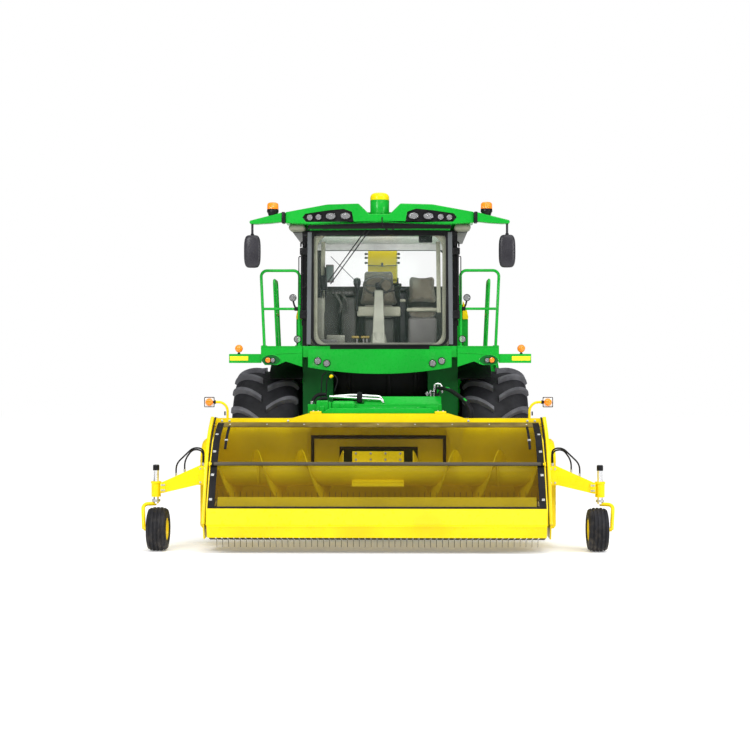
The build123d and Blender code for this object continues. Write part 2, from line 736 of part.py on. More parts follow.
# The recess of the work lamps in half of the brow. Columns: X, Z.
LAMP_POCKET = [
    (300, 3602),
    (320, 3712),
    (420, 3745),
    (600, 3728),
    (850, 3690),
    (880, 3650),
    (840, 3602),
]
with BuildPart() as cab_roof:
    with BuildSketch(Plane.XZ.offset(-behind(ROOF_FRONT))):
        for side in (1, -1):
            with BuildLine():
                Polyline(*[(side * x, z) for x, z in BROW], close=True)
            make_face()
    extrude(amount=-(BROW_BACK - ROOF_FRONT))
    with BuildSketch(Plane.XZ.offset(-behind(BROW_BACK))):
        with BuildLine():
            Polyline(
                (-1000, HEADER_Z[1]),
                (1000, HEADER_Z[1]),
                (1030, 3640),
                (760, 3745),
                (-760, 3745),
                (-1030, 3640),
                close=True,
            )
        make_face()
    extrude(amount=-(ROOF_REAR - BROW_BACK))
    block((-820, 820), (ROOF_FRONT + 60, BROW_BACK), (HEADER_Z[1], 3620))
    # Recesses of the work lamps
    with BuildSketch(Plane.XZ.offset(-behind(ROOF_FRONT))):
        for side in (1, -1):
            with BuildLine():
                Polyline(*[(side * x, z) for x, z in LAMP_POCKET], close=True)
            make_face()
    extrude(amount=-LAMP_RECESS, mode=Mode.SUBTRACT)
save(cab_roof, "cab_roof")

# Front panel under the windscreen: bowed in plan, its lower edge bowed down in the middle
PANEL_LOW = 1858
PANEL_END_Z = 1935
PANEL_TOP = FLOOR_Z[1] - 40
PANEL_T = 60
PANEL_HALF_W = CAB_HALF_W - POST
PANEL_LAMPS = [(715, 2007, 38), (611, 1980, 38)]  # columns: X, Z, radius
PANEL_LAMP_IN = 12
PANEL_LAMP_OUT = 6


def panel_face(x):
    """Distance behind the axle of the front panel's face at X."""
    radius = (CAB_HALF_W**2 + GLASS_BULGE**2) / (2 * GLASS_BULGE)
    return CAB_FRONT - PANEL_T - GLASS_BULGE + radius - (radius**2 - x**2) ** 0.5


with BuildPart() as front_panel:
    with BuildSketch(Plane.XY.offset(PANEL_LOW)):
        front_arc_face(-PANEL_T, 0, PANEL_HALF_W)
    extrude(amount=PANEL_TOP - PANEL_LOW)
    with BuildSketch(Plane.XZ.offset(-behind(CAB_FRONT))):
        with BuildLine():
            Polyline(
                (PANEL_HALF_W, PANEL_END_Z),
                (PANEL_HALF_W, PANEL_TOP),
                (-PANEL_HALF_W, PANEL_TOP),
                (-PANEL_HALF_W, PANEL_END_Z),
            )
            ThreePointArc((-PANEL_HALF_W, PANEL_END_Z), (0, PANEL_LOW), (PANEL_HALF_W, PANEL_END_Z))
        make_face()
    extrude(amount=3 * GLASS_BULGE, both=True, mode=Mode.INTERSECT)
    # Seats of the lamps, cut square to the front
    for side in (-1, 1):
        for x, z, radius in PANEL_LAMPS:
            seat = panel_face(x) + PANEL_LAMP_IN
            rod((side * x, seat, z), (side * x, seat - 3 * PANEL_LAMP_IN, z), radius + 4, Mode.SUBTRACT)

# Platforms: a deck and a front fascia on each side, with a marker bar beyond it
MARKER_OUT = 1754
FASCIA_OUT = 20  # the fascia stands this far ahead of the cab's front
# The fascia seen from the front. Columns: X, Z.
FASCIA = [
    (CAB_HALF_W, FASCIA_LOW - 21),
    (CAB_HALF_W, FLOOR_Z[1]),
    (PLATFORM_OUT, FLOOR_Z[1]),
    (PLATFORM_OUT, FASCIA_LOW + 60),
    (PLATFORM_OUT - 45, FASCIA_LOW),
    (PLATFORM_OUT - 190, FASCIA_LOW),
    (PLATFORM_OUT - 290, FASCIA_LOW + 42),
]
with BuildPart() as platforms:
    add(front_panel.part)
    for side in (-1, 1):
        x = sorted((side * CAB_HALF_W, side * PLATFORM_OUT))
        deck = (FLOOR_Z[1] - PLATFORM_T, FLOOR_Z[1])
        block(x, (CAB_FRONT + 40, BODY_FRONT), deck)
        beside = sorted((side * BODY_HALF_W, side * PLATFORM_OUT))
        block(beside, (BODY_FRONT, PLATFORM_REAR), deck)
        with BuildSketch(Plane.XZ.offset(-behind(CAB_FRONT - FASCIA_OUT))):
            with BuildLine():
                Polyline(*[(side * at, z) for at, z in FASCIA], close=True)
            make_face()
        extrude(amount=-(FASCIA_OUT + 40))
        block(
            sorted((side * PLATFORM_OUT, side * MARKER_OUT)),
            (CAB_FRONT, CAB_FRONT + 30),
            MARKER_Z,
        )
save(platforms, "platforms")

# Handrails: a front loop and its mid rail on each side, on small feet
FOOT_T = 8
RAIL_Y = CAB_FRONT + 30
RAIL_INNER_X = CAB_HALF_W + 40
RAIL_OUTER_X = 1345
RAIL_LEAN = 40  # the outer post leans out by this at the top
REAR_LOOP = (430, 860)  # posts of the loop behind the cab door
with BuildPart() as handrails:
    for side in (-1, 1):
        for x in (RAIL_INNER_X, RAIL_OUTER_X):
            with Locations((side * x, behind(RAIL_Y), FLOOR_Z[1])):
                Cylinder(2 * TUBE_R, FOOT_T, align=(Align.CENTER, Align.CENTER, Align.MIN))
        bent_tube(
            [
                (side * RAIL_INNER_X, RAIL_Y, FLOOR_Z[1] + FOOT_T / 2),
                (side * (RAIL_INNER_X - 4), RAIL_Y, RAIL_TOP_Z),
                (side * (RAIL_OUTER_X + RAIL_LEAN), RAIL_Y, RAIL_TOP_Z),
                (side * RAIL_OUTER_X, RAIL_Y, FLOOR_Z[1] + FOOT_T / 2),
            ],
            TUBE_R,
            70,
        )
        rod(
            (side * RAIL_INNER_X, RAIL_Y, RAIL_MID_Z),
            (side * (RAIL_OUTER_X + RAIL_LEAN / 2), RAIL_Y, RAIL_MID_Z),
            TUBE_R - 2,
        )
        # The loop behind the cab door, and its mid rail
        foot_x, top_x = side * (RAIL_OUTER_X - RAIL_LEAN), side * RAIL_OUTER_X
        for y in REAR_LOOP:
            with Locations((foot_x, behind(y), FLOOR_Z[1])):
                Cylinder(2 * TUBE_R, FOOT_T, align=(Align.CENTER, Align.CENTER, Align.MIN))
        bent_tube(
            [
                (foot_x, REAR_LOOP[0], FLOOR_Z[1] + FOOT_T / 2),
                (top_x, REAR_LOOP[0], RAIL_TOP_Z - 20),
                (top_x, REAR_LOOP[1], RAIL_TOP_Z - 20),
                (foot_x, REAR_LOOP[1], FLOOR_Z[1] + FOOT_T / 2),
            ],
            TUBE_R,
            70,
        )
        mid_x = (foot_x + top_x) / 2
        rod((mid_x, REAR_LOOP[0], RAIL_MID_Z), (mid_x, REAR_LOOP[1], RAIL_MID_Z), TUBE_R - 2)
save(handrails, "handrails")

# Ladder on the left side, behind the front wheel
LADDER_Y = (1200, 1720)
LADDER_TOP = FLOOR_Z[1]
LADDER_LOW = 460
LADDER_X = (1381, 1700)
STEP_COUNT = 5
with BuildPart() as ladder:
    for y in LADDER_Y:
        with BuildSketch(Plane.XZ.offset(-behind(y - 15))):
            with BuildLine():
                Polyline(
                    (LADDER_X[0], LADDER_TOP),
                    (LADDER_X[0] + 90, LADDER_TOP),
                    (LADDER_X[1] + 60, LADDER_LOW),
                    (LADDER_X[1] - 60, LADDER_LOW),
                    (LADDER_X[0], LADDER_TOP - 320),
                    close=True,
                )
            make_face()
        extrude(amount=-30)
    for i in range(STEP_COUNT):
        share = (i + 0.12) / STEP_COUNT
        x = LADDER_X[1] - 60 + share * (LADDER_X[0] - LADDER_X[1] + 75)
        z = LADDER_LOW + 20 + share * (LADDER_TOP - LADDER_LOW)
        block((x, x + 150), (LADDER_Y[0], LADDER_Y[1]), (z, z + 35))
save(ladder, "ladder")

# Mirrors hung from arms that carry the amber beacons
ARM_Y = -1290
ARM_TOP = 3705
MIRROR_X = 1460
with BuildPart() as mirrors:
    for side in (-1, 1):
        with Locations((side * MIRROR_X, behind(ARM_Y + 110), 3262)):
            Box(192, 90, 376)
    fillet(mirrors.edges().filter_by(Axis.Y), 45)
    for side in (-1, 1):
        with BuildSketch(Plane.XZ.offset(-behind(ARM_Y + 60))):
            with BuildLine():
                Polyline(
                    (side * ROOF_HALF_W, 3590),
                    (side * ROOF_HALF_W, ARM_TOP),
                    (side * 1310, ARM_TOP),
                    (side * 1490, 3620),
                    (side * 1480, 3575),
                    close=True,
                )
            make_face()
        extrude(amount=-110)
        rod((side * MIRROR_X, ARM_Y + 110, 3600), (side * MIRROR_X, ARM_Y + 110, 3430), 14)
save(mirrors, "mirrors")

# Beacons on the mirror arms, and the marker lamps on the marker bars
MARKER_LAMP_X = 1640
with BuildPart() as beacons:
    for side in (-1, 1):
        rod((side * 1225, ARM_Y + 115, ARM_TOP), (side * 1225, ARM_Y + 115, 3827), 68)
        upright(side * MARKER_LAMP_X, CAB_FRONT + 15, (MARKER_Z[1], MARKER_Z[1] + 62), 28)
save(beacons, "beacons")

with BuildPart() as position_receiver:
    with Locations((0, behind(ROOF_FRONT + 170), 3690)):
        Cylinder(RECEIVER_R, 262, align=(Align.CENTER, Align.CENTER, Align.MIN))
    fillet(position_receiver.edges().sort_by(Axis.Z)[-1], 60)
save(position_receiver, "position_receiver")

# Seats: each is a base, a cushion and a back in one piece
with BuildPart() as seats:
    # Columns: X, half width, distance behind the axle, cushion height, back height.
    for x, half_w, y, cushion, back in ((0, 245, 120, 2660, 3165), (505, 190, 150, 2650, 3070)):
        with BuildSketch(Plane.YZ.offset(x)):
            side_profile(
                [
                    (y - 220, FLOOR_Z[1]),
                    (y + 150, FLOOR_Z[1]),
                    (y + 200, cushion),
                    (y + 290, back),
                    (y + 190, back),
                    (y + 100, cushion + 60),
                    (y - 310, cushion + 30),
                    (y - 310, cushion - 80),
                    (y - 200, cushion - 100),
                ]
            )
        extrude(amount=half_w, both=True)
save(seats, "seats")

# Steering column with its wheel, and the consoles beside the operator
WHEEL_CENTRE = (-30, -330, 2925)
with BuildPart() as cab_controls:
    with BuildSketch(Plane.YZ.offset(-30)):
        side_profile([(-700, FLOOR_Z[1]), (-480, FLOOR_Z[1]), (-330, 2850), (-430, 2880)])
    extrude(amount=55, both=True)
    tilt = Plane(
        origin=(WHEEL_CENTRE[0], behind(WHEEL_CENTRE[1]), WHEEL_CENTRE[2]),
        z_dir=(0, 0.55, 0.83),
    )
    with Locations(tilt):
        Torus(170, 14)
        Cylinder(40, 30)
        Box(340, 30, 12)
        Cylinder(22, 120, align=(Align.CENTER, Align.CENTER, Align.MAX))
    block((-470, -300), (-180, 520), (FLOOR_Z[1], 2780))
    block((-790, -480), (60, 560), (FLOOR_Z[1], 2870))
save(cab_controls, "cab_controls")


def hood_solid(margin):
    """The space under the hood's skin, drawn in by a margin on every closed side."""
    half = BODY_HALF_W - margin
    top = HOOD_TOP - margin
    with BuildPart() as space:
        with BuildSketch(Plane.XZ.offset(-behind(BODY_FRONT + margin))):
            with BuildLine():
                Polyline(
                    (-half, SHOULDER_Z),
                    (half, SHOULDER_Z),
                    (half - 25, SHOULDER_Z + 150),
                    (half - 270, top - 15),
                    (0, top),
                    (-half + 270, top - 15),
                    (-half + 25, SHOULDER_Z + 150),
                    close=True,
                )
            make_face()
        extrude(amount=-(BODY_REAR - BODY_FRONT - 2 * margin))
        with BuildSketch(Plane.YZ):
            side_profile(
                [
                    (BODY_FRONT, SHOULDER_Z - 1),
                    (BODY_REAR - margin, SHOULDER_Z - 1),
                    (BODY_REAR - margin - 60, SHOULDER_Z + 90),
                    (BODY_REAR - 750 - margin, top - 30),
                    (BODY_REAR - 1500, top + 1),
                    (BODY_FRONT, top + 1),
                ]
            )
        extrude(amount=BODY_HALF_W, both=True, mode=Mode.INTERSECT)
    return space


# Hood: a folded cover, open below, with the saddle on which the spout rests
with BuildPart() as hood:
    add(hood_solid(0).part)
    add(hood_solid(PANEL).part, mode=Mode.SUBTRACT)
    # Tabs and pins of the engine doors' hinges
    for side in (-1, 1):
        for y in FLAP_HINGES:
            block(
                sorted((side * (BODY_HALF_W - 25), side * (FLAP_HINGE_X + 9))),
                (y - 45, y - 25),
                (SHOULDER_Z - 6, SHOULDER_Z + 35),
            )
            rod(
                (side * FLAP_HINGE_X, y - 30, FLAP_HINGE_Z),
                (side * FLAP_HINGE_X, y + 30, FLAP_HINGE_Z),
                FLAP_PIN_R,
            )
save(hood, "hood")

# Fixed body panels: bulkhead behind the cab, side panels and the rear end
GRILLE = (1300, 620)
GRILLE_Z = 2120  # middle of the grille
SLATS = 9
TAIL_LOW = BODY_LOW - 200  # the rear end reaches this low
with BuildPart() as body_panels:
    block((-BODY_HALF_W, BODY_HALF_W), (BODY_FRONT, BODY_FRONT + PANEL), (RAIL_Z[1], SHOULDER_Z))
    for side in (-1, 1):
        block(
            sorted((side * (BODY_HALF_W - PANEL), side * BODY_HALF_W)),
            (BODY_FRONT + PANEL, DOOR_FRONT - DOOR_GAP),
            (BODY_LOW, SHOULDER_Z),
        )
    # Rear corner panels and the rear face with its grille
    block((-BODY_HALF_W, BODY_HALF_W), (DOOR_REAR + DOOR_GAP, BODY_REAR), (TAIL_LOW, SHOULDER_Z))
    block(
        (-BODY_HALF_W + PANEL, BODY_HALF_W - PANEL),
        (DOOR_REAR + DOOR_GAP - 1, BODY_REAR - PANEL),
        (TAIL_LOW, SHOULDER_Z + 1),
        mode=Mode.SUBTRACT,
    )
    with Locations(Plane(origin=(0, behind(BODY_REAR), GRILLE_Z), x_dir=(1, 0, 0), z_dir=(0, 1, 0))):
        Box(GRILLE[0], GRILLE[1], 3 * PANEL, mode=Mode.SUBTRACT)
    for i in range(SLATS):
        z = GRILLE_Z - GRILLE[1] / 2 + (i + 0.5) * GRILLE[1] / SLATS
        block((-GRILLE[0] / 2, GRILLE[0] / 2), (BODY_REAR - PANEL, BODY_REAR - 8), (z - 10, z + 10))
    block(
        (-BODY_HALF_W + PANEL, BODY_HALF_W - PANEL),
        (RAIL_REAR, BODY_REAR - PANEL),
        (TAIL_LOW, TAIL_LOW + 40),
    )
save(body_panels, "body_panels")

# Engine: one plain block standing on the rails
ENGINE_Y = (2150, 3850)
ENGINE_TOP = 2380
with BuildPart() as engine_block:
    block((-RAIL_OUT, RAIL_OUT), ENGINE_Y, (RAIL_Z[1], ENGINE_TOP))
save(engine_block, "engine_block")

# Fuel tanks on the outside of the rails
TANK_Y = (1090, 2180)
TANK_Z = (820, 1480)
TANK_OUT = BODY_HALF_W - 40
with BuildPart() as fuel_tanks:
    for side in (-1, 1):
        block(sorted((side * RAIL_OUT, side * TANK_OUT)), TANK_Y, TANK_Z)
    fillet(fuel_tanks.edges().filter_by(Axis.Y).group_by(Axis.Z)[0], 90)
save(fuel_tanks, "fuel_tanks")

# Engine doors, hinged along the shoulder: louvred panels
for side, word in ((1, "left"), (-1, "right")):
    with BuildPart() as engine_door:
        block(
            sorted((side * (BODY_HALF_W - PANEL), side * BODY_HALF_W)),
            (DOOR_FRONT, DOOR_REAR),
            (BODY_LOW, SHOULDER_Z - DOOR_GAP),
        )
        for i in range(7):
            z = 1800 + 90 * i
            block(
                sorted((side * (BODY_HALF_W - PANEL), side * BODY_HALF_W)),
                (DOOR_FRONT + 150, DOOR_REAR - 150),
                (z, z + 45),
                mode=Mode.SUBTRACT,
            )
        for y in FLAP_HINGES:
            block(
                sorted((side * BODY_HALF_W, side * (BODY_HALF_W + 8))),
                (y - 23, y + 30),
                (SHOULDER_Z - 60, FLAP_HINGE_Z),
            )
            front, rear = ((side * FLAP_HINGE_X, at, FLAP_HINGE_Z) for at in (y - 23, y + 30))
            rod(front, rear, 12)
            rod(front, rear, FLAP_PIN_R + SEAT_GAP, mode=Mode.SUBTRACT)
    save(engine_door, f"engine_door_{word}")

# Work lamps in the brows and the front panel, and lamps on the rear face
ROOF_LAMPS = [(800, 3650, 34), (700, 3655, 34), (560, 3665, 55), (390, 3668, 55)]
LAMP_DEPTH = 25
with BuildPart() as lamps:
    for side in (-1, 1):
        for x, z, radius in ROOF_LAMPS:
            lens, seat = ROOF_FRONT + LAMP_RECESS - LAMP_DEPTH, ROOF_FRONT + LAMP_RECESS
            rod((side * x, lens, z), (side * x, seat, z), radius)
        for x, z, radius in PANEL_LAMPS:
            lens, seat = panel_face(x) - PANEL_LAMP_OUT, panel_face(x) + PANEL_LAMP_IN
            rod((side * x, lens, z), (side * x, seat, z), radius)
        block(sorted((side * 1215, side * 1325)), (CAB_FRONT - 32, CAB_FRONT - 20), (1985, 2050))
        block(sorted((side * 800, side * 1000)), (BODY_REAR, BODY_REAR + 40), (1700, 1800))
save(lamps, "lamps")

# Turret that swings the spout
HINGE_Y = SPOUT_Y - SPOUT_DEPTH / 2 + 20
HINGE_Z = 3060
HINGE_R = 18
with BuildPart() as spout_turret:
    with Locations((0, behind(SPOUT_Y), TURRET_Z + SEAT_GAP)):
        Cylinder(TURRET_R, 90, align=(Align.CENTER, Align.CENTER, Align.MIN))
        Cylinder(TURRET_BORE_R, 90, align=(Align.CENTER, Align.CENTER, Align.MIN), mode=Mode.SUBTRACT)
    for side in (-1, 1):
        block(
            sorted((side * (SPOUT_HALF_W + 5), side * (SPOUT_HALF_W + 25))),
            (HINGE_Y - 35, HINGE_Y + 60),
            (TURRET_Z + 60, HINGE_Z + 45),
        )
    for side in (-1, 1):
        rod(
            (side * (SPOUT_HALF_W - SPOUT_WALL), HINGE_Y, HINGE_Z),
            (side * (SPOUT_HALF_W + 20), HINGE_Y, HINGE_Z),
            HINGE_R,
        )
save(spout_turret, "spout_turret")

# Spout: a closed elbow up to the crest, and bolted to it a trough that is open below
bend_r = SPOUT_TOP_Z - SPOUT_BEND_Z
FRONT_FACE = SPOUT_Y - SPOUT_DEPTH / 2
CREST = FRONT_FACE + bend_r
tail = radians(SPOUT_TAIL_ANGLE)
SPOUT_TAIL_R = (REAR_REACH - CREST - (CAP_LENGTH + CAP_GAP) * cos(tail)) / sin(tail)
TAIL_OUT = (CREST + SPOUT_TAIL_R * sin(tail), SPOUT_TOP_Z - SPOUT_TAIL_R * (1 - cos(tail)))
TAIL_IN = (
    TAIL_OUT[0] - SPOUT_TAIL_DEPTH * sin(tail),
    TAIL_OUT[1] - SPOUT_TAIL_DEPTH * cos(tail),
)


def along_tail(run, drop):
    """A point past the spout's end: run along its upper edge, drop at a right angle to it."""
    return (
        TAIL_OUT[0] + run * cos(tail) - drop * sin(tail),
        TAIL_OUT[1] - run * sin(tail) - drop * cos(tail),
    )


def elbow_outline(wall, stretch):
    """The elbow seen from the side up to the crest, drawn in by a wall, its ends moved out."""
    y0, y1 = FRONT_FACE + wall, FRONT_FACE + SPOUT_DEPTH - wall
    top, low = SPOUT_TOP_Z - wall, SPOUT_TOP_Z - SPOUT_DEPTH + wall
    end = CREST + stretch
    with BuildLine() as outline:
        Polyline(
            (behind(y1), SPOUT_BEND_Z),
            (behind(y1), SPOUT_BASE_Z - stretch),
            (behind(y0), SPOUT_BASE_Z - stretch),
            (behind(y0), SPOUT_BEND_Z),
        )
        TangentArc((behind(y0), SPOUT_BEND_Z), (behind(CREST), top), tangent=(0, 1))
        Polyline((behind(CREST), top), (behind(end), top), (behind(end), low), (behind(CREST), low))
        TangentArc((behind(y1), SPOUT_BEND_Z), (behind(CREST), low), tangent=(0, 1))
    make_face(outline.edges())


def trough_outline(wall, stretch):
    """The spout seen from the side behind the crest, drawn in and moved out in the same way."""
    top, low = SPOUT_TOP_Z - wall, SPOUT_TOP_Z - SPOUT_DEPTH + wall
    start = CREST - stretch
    out_end = along_tail(0, wall)
    in_end = along_tail(0, SPOUT_TAIL_DEPTH - wall)
    past_out = along_tail(stretch, wall)
    past_in = along_tail(stretch, SPOUT_TAIL_DEPTH - wall)
    with BuildLine() as outline:
        TangentArc((behind(CREST), top), (behind(out_end[0]), out_end[1]), tangent=(1, 0))
        TangentArc((behind(CREST), low), (behind(in_end[0]), in_end[1]), tangent=(1, 0))
        Polyline((behind(CREST), top), (behind(start), top), (behind(start), low), (behind(CREST), low))
        Polyline(*[(behind(y), z) for y, z in (out_end, past_out, past_in, in_end)])
    make_face(outline.edges())


def crest_flange(low, high):
    """The collar round the spout where its two halves are bolted, between two distances behind."""
    reach = SPOUT_HALF_W + FLANGE
    block((-reach, reach), (low, high), (SPOUT_TOP_Z - SPOUT_DEPTH - FLANGE, SPOUT_TOP_Z))


# A lug of the cap's hinge. Columns: run along the tail, drop from its upper edge.
CAP_LUG = [(-60, -2), (CAP_GAP, -13), (CAP_GAP + 13, 0), (CAP_GAP, 13), (-2, 9), (-60, 2)]
FLANGE = 22  # how far the collars stand out
FLANGE_T = 12
THROUGH = 50  # how far a cavity is cut past an open end
CLOSED_BELOW = 240  # behind the crest the trough still has a floor over this length
crest_plane = Plane.XZ.offset(-behind(CREST))  # faces forwards
with BuildPart() as spout_elbow:
    with BuildSketch(Plane.YZ):
        elbow_outline(0, 1)
    extrude(amount=SPOUT_HALF_W, both=True)
    split(bisect_by=crest_plane, keep=Keep.TOP)
    crest_flange(CREST - FLANGE_T, CREST)
    with BuildSketch(Plane.YZ):
        elbow_outline(SPOUT_WALL, THROUGH)
    extrude(amount=SPOUT_HALF_W - SPOUT_WALL, both=True, mode=Mode.SUBTRACT)
    for side in (-1, 1):
        with BuildSketch(Plane.YZ.offset(side * (SPOUT_HALF_W - SPOUT_WALL))):
            side_profile(
                [
                    (HINGE_Y - 30, HINGE_Z - 10),
                    (HINGE_Y + 30, HINGE_Z - 10),
                    (HINGE_Y + 60, SPOUT_BASE_Z + 30),
                    (HINGE_Y - 20, SPOUT_BASE_Z + 30),
                ]
            )
        extrude(amount=side * SPOUT_WALL)
    rod(
        (-SPOUT_HALF_W, HINGE_Y, HINGE_Z),
        (SPOUT_HALF_W, HINGE_Y, HINGE_Z),
        HINGE_R + SEAT_GAP,
        mode=Mode.SUBTRACT,
    )
save(spout_elbow, "spout_elbow")

# The trough behind the crest: its floor ends a short way back, and from there it is open below
with BuildPart() as spout:
    with BuildSketch(Plane.YZ):
        trough_outline(0, 1)
    extrude(amount=SPOUT_HALF_W, both=True)
    split(bisect_by=crest_plane, keep=Keep.BOTTOM)
    crest_flange(CREST, CREST + FLANGE_T)
    with BuildSketch(Plane.YZ):
        trough_outline(SPOUT_WALL, THROUGH)
    extrude(amount=SPOUT_HALF_W - SPOUT_WALL, both=True, mode=Mode.SUBTRACT)
    with BuildSketch(Plane.YZ):
        middle = SPOUT_TOP_Z - SPOUT_DEPTH / 2
        side_profile(
            [
                (CREST + CLOSED_BELOW, middle),
                along_tail(0, SPOUT_TAIL_DEPTH / 2),
                along_tail(THROUGH, SPOUT_TAIL_DEPTH / 2),
                along_tail(THROUGH, 2 * SPOUT_TAIL_DEPTH),
                (CREST + CLOSED_BELOW, middle - SPOUT_DEPTH),
            ]
        )
    extrude(amount=SPOUT_HALF_W - SPOUT_WALL, both=True, mode=Mode.SUBTRACT)
    cap_hinge = along_tail(CAP_GAP, 0)
    for x in (-110, 80):
        with BuildSketch(Plane.YZ.offset(x)):
            side_profile([along_tail(*p) for p in CAP_LUG])
        extrude(amount=30)
        rod((x, *cap_hinge), (x + 30, *cap_hinge), CAP_HINGE_R + SEAT_GAP, mode=Mode.SUBTRACT)
save(spout, "spout")

# Cap at the end of the spout: a flap on a hinge rod, its cheeks outside the spout
CAP_SIDE_X = SPOUT_HALF_W + 15

# Columns of both outlines: run along the tail, drop from its upper edge.
FLAP = [(CAP_GAP + 16, 5), (CAP_END, 5), (CAP_END, -5), (CAP_GAP + 16, -5)]
CHEEK = [
    (CAP_GAP - 14, -12),
    (CAP_END, -5),
    (CAP_END, 90),
    (CAP_GAP + 10, 190),
    (CAP_GAP - 14, 40),
]
with BuildPart() as spout_cap:
    with BuildSketch(Plane.YZ):
        side_profile([along_tail(*p) for p in FLAP])
    extrude(amount=CAP_SIDE_X - 1, both=True)
    for side in (-1, 1):
        with BuildSketch(Plane.YZ.offset(side * CAP_SIDE_X)):
            side_profile([along_tail(*p) for p in CHEEK])
        extrude(amount=-side * 10)
    hinge = along_tail(CAP_GAP, 0)
    rod((-CAP_SIDE_X, *hinge), (CAP_SIDE_X, *hinge), CAP_HINGE_R)
save(spout_cap, "spout_cap")

# Feed housing: the lifting neck between the machine and the header
with BuildPart() as feed_housing:
    with BuildSketch(Plane.YZ):
        side_profile(
            [
                (FEED_FRONT, FEED_Z[0]),
                (FEED_REAR, FEED_Z[0] + 60),
                (FEED_REAR, FEED_Z[1]),
                (FEED_REAR - 300, FEED_Z[1] + 60),
                (FEED_FRONT, FEED_Z[1]),
            ]
        )
    extrude(amount=FEED_HALF_W, both=True)
    block(
        (-OPENING[0] / 2, OPENING[0] / 2),
        (FEED_FRONT - 1, FEED_FRONT + MOUTH_DEPTH),
        OPENING[1:],
        mode=Mode.SUBTRACT,
    )
    for side in (-1, 1):
        x = sorted((side * (FEED_HALF_W), side * (FEED_HALF_W + ARM_T)))
        with BuildSketch(Plane.YZ.offset(x[0])):
            side_profile(
                [
                    (FEED_REAR - 250, 900),
                    (LIFT_Y + 90, LIFT_Z - 90),
                    (LIFT_Y + 90, LIFT_Z + 90),
                    (FEED_REAR - 250, 1160),
                ]
            )
        extrude(amount=ARM_T)
    rod(
        (-FEED_HALF_W - ARM_T, LIFT_Y, LIFT_Z),
        (FEED_HALF_W + ARM_T, LIFT_Y, LIFT_Z),
        TRUNNION_R + SEAT_GAP,
        mode=Mode.SUBTRACT,
    )
    for side in (-1, 1):
        for x in (CYL_X - 56, CYL_X + 36):
            block(
                sorted((side * x, side * (x + 20))),
                (ROD_PIN[0] - 55, ROD_PIN[0] + 55),
                (ROD_PIN[1] - 50, FEED_Z[0] + 60),
            )
save(feed_housing, "feed_housing")

# Feed drive, on top of the neck: housing of the upper rolls, their motor on its foot, hoses
with BuildPart() as feed_drive:
    block((-790, 700), (-1700, -1480), (FEED_Z[1] - 20, 1518))
    with BuildSketch(Plane.YZ.offset(ROLL_BOX_X[0])):
        side_profile(ROLL_BOX)
    extrude(amount=ROLL_BOX_X[1] - ROLL_BOX_X[0])
    motor_x = ROLL_BOX_X[0] - MOTOR_L
    rod((motor_x, *MOTOR_AT), (ROLL_BOX_X[0] + 1, *MOTOR_AT), MOTOR_R)
    rod((ROLL_BOX_X[0] - PANEL, *MOTOR_AT), (ROLL_BOX_X[0] + 1, *MOTOR_AT), MOTOR_R + 22)
    foot_y = (MOTOR_AT[0] - 40, MOTOR_AT[0] + 40)
    block((motor_x + 20, ROLL_BOX_X[0] - 2 * PANEL), foot_y, (FEED_Z[1] - 20, MOTOR_AT[1]))
    # The sleeved hose bundle from the roll housing down to the header's beam
    bent_tube(BUNDLE, BUNDLE_R, 70)
    add(feed_housing.part, mode=Mode.SUBTRACT)
save(feed_drive, "feed_drive")

# Header lift cylinders: barrels on the front axle's pins, rods to the neck
cyl_slope = (ROD_PIN[1] - BARREL_PIN[1]) / (ROD_PIN[0] - BARREL_PIN[0])
BARREL_END = -620  # front end of a barrel
BARREL_END_Z = BARREL_PIN[1] + cyl_slope * BARREL_END
with BuildPart() as lift_barrels:
    for side in (-1, 1):
        x = side * CYL_X
        rod((x, BARREL_PIN[0], BARREL_PIN[1]), (x, BARREL_END, BARREL_END_Z), 52)
        rod((x - 50, *BARREL_PIN), (x + 50, *BARREL_PIN), 55)
        rod((x - 60, *BARREL_PIN), (x + 60, *BARREL_PIN), CYL_PIN_R + SEAT_GAP, mode=Mode.SUBTRACT)
save(lift_barrels, "lift_barrels")
with BuildPart() as lift_rods:
    for side in (-1, 1):
        x = side * CYL_X
        start = (x, BARREL_END - 2 * SEAT_GAP, BARREL_END_Z - 2 * SEAT_GAP * cyl_slope)
        rod(start, (x, *ROD_PIN), 28)
        rod((x - 30, *ROD_PIN), (x + 30, *ROD_PIN), 42)
save(lift_rods, "lift_rods")

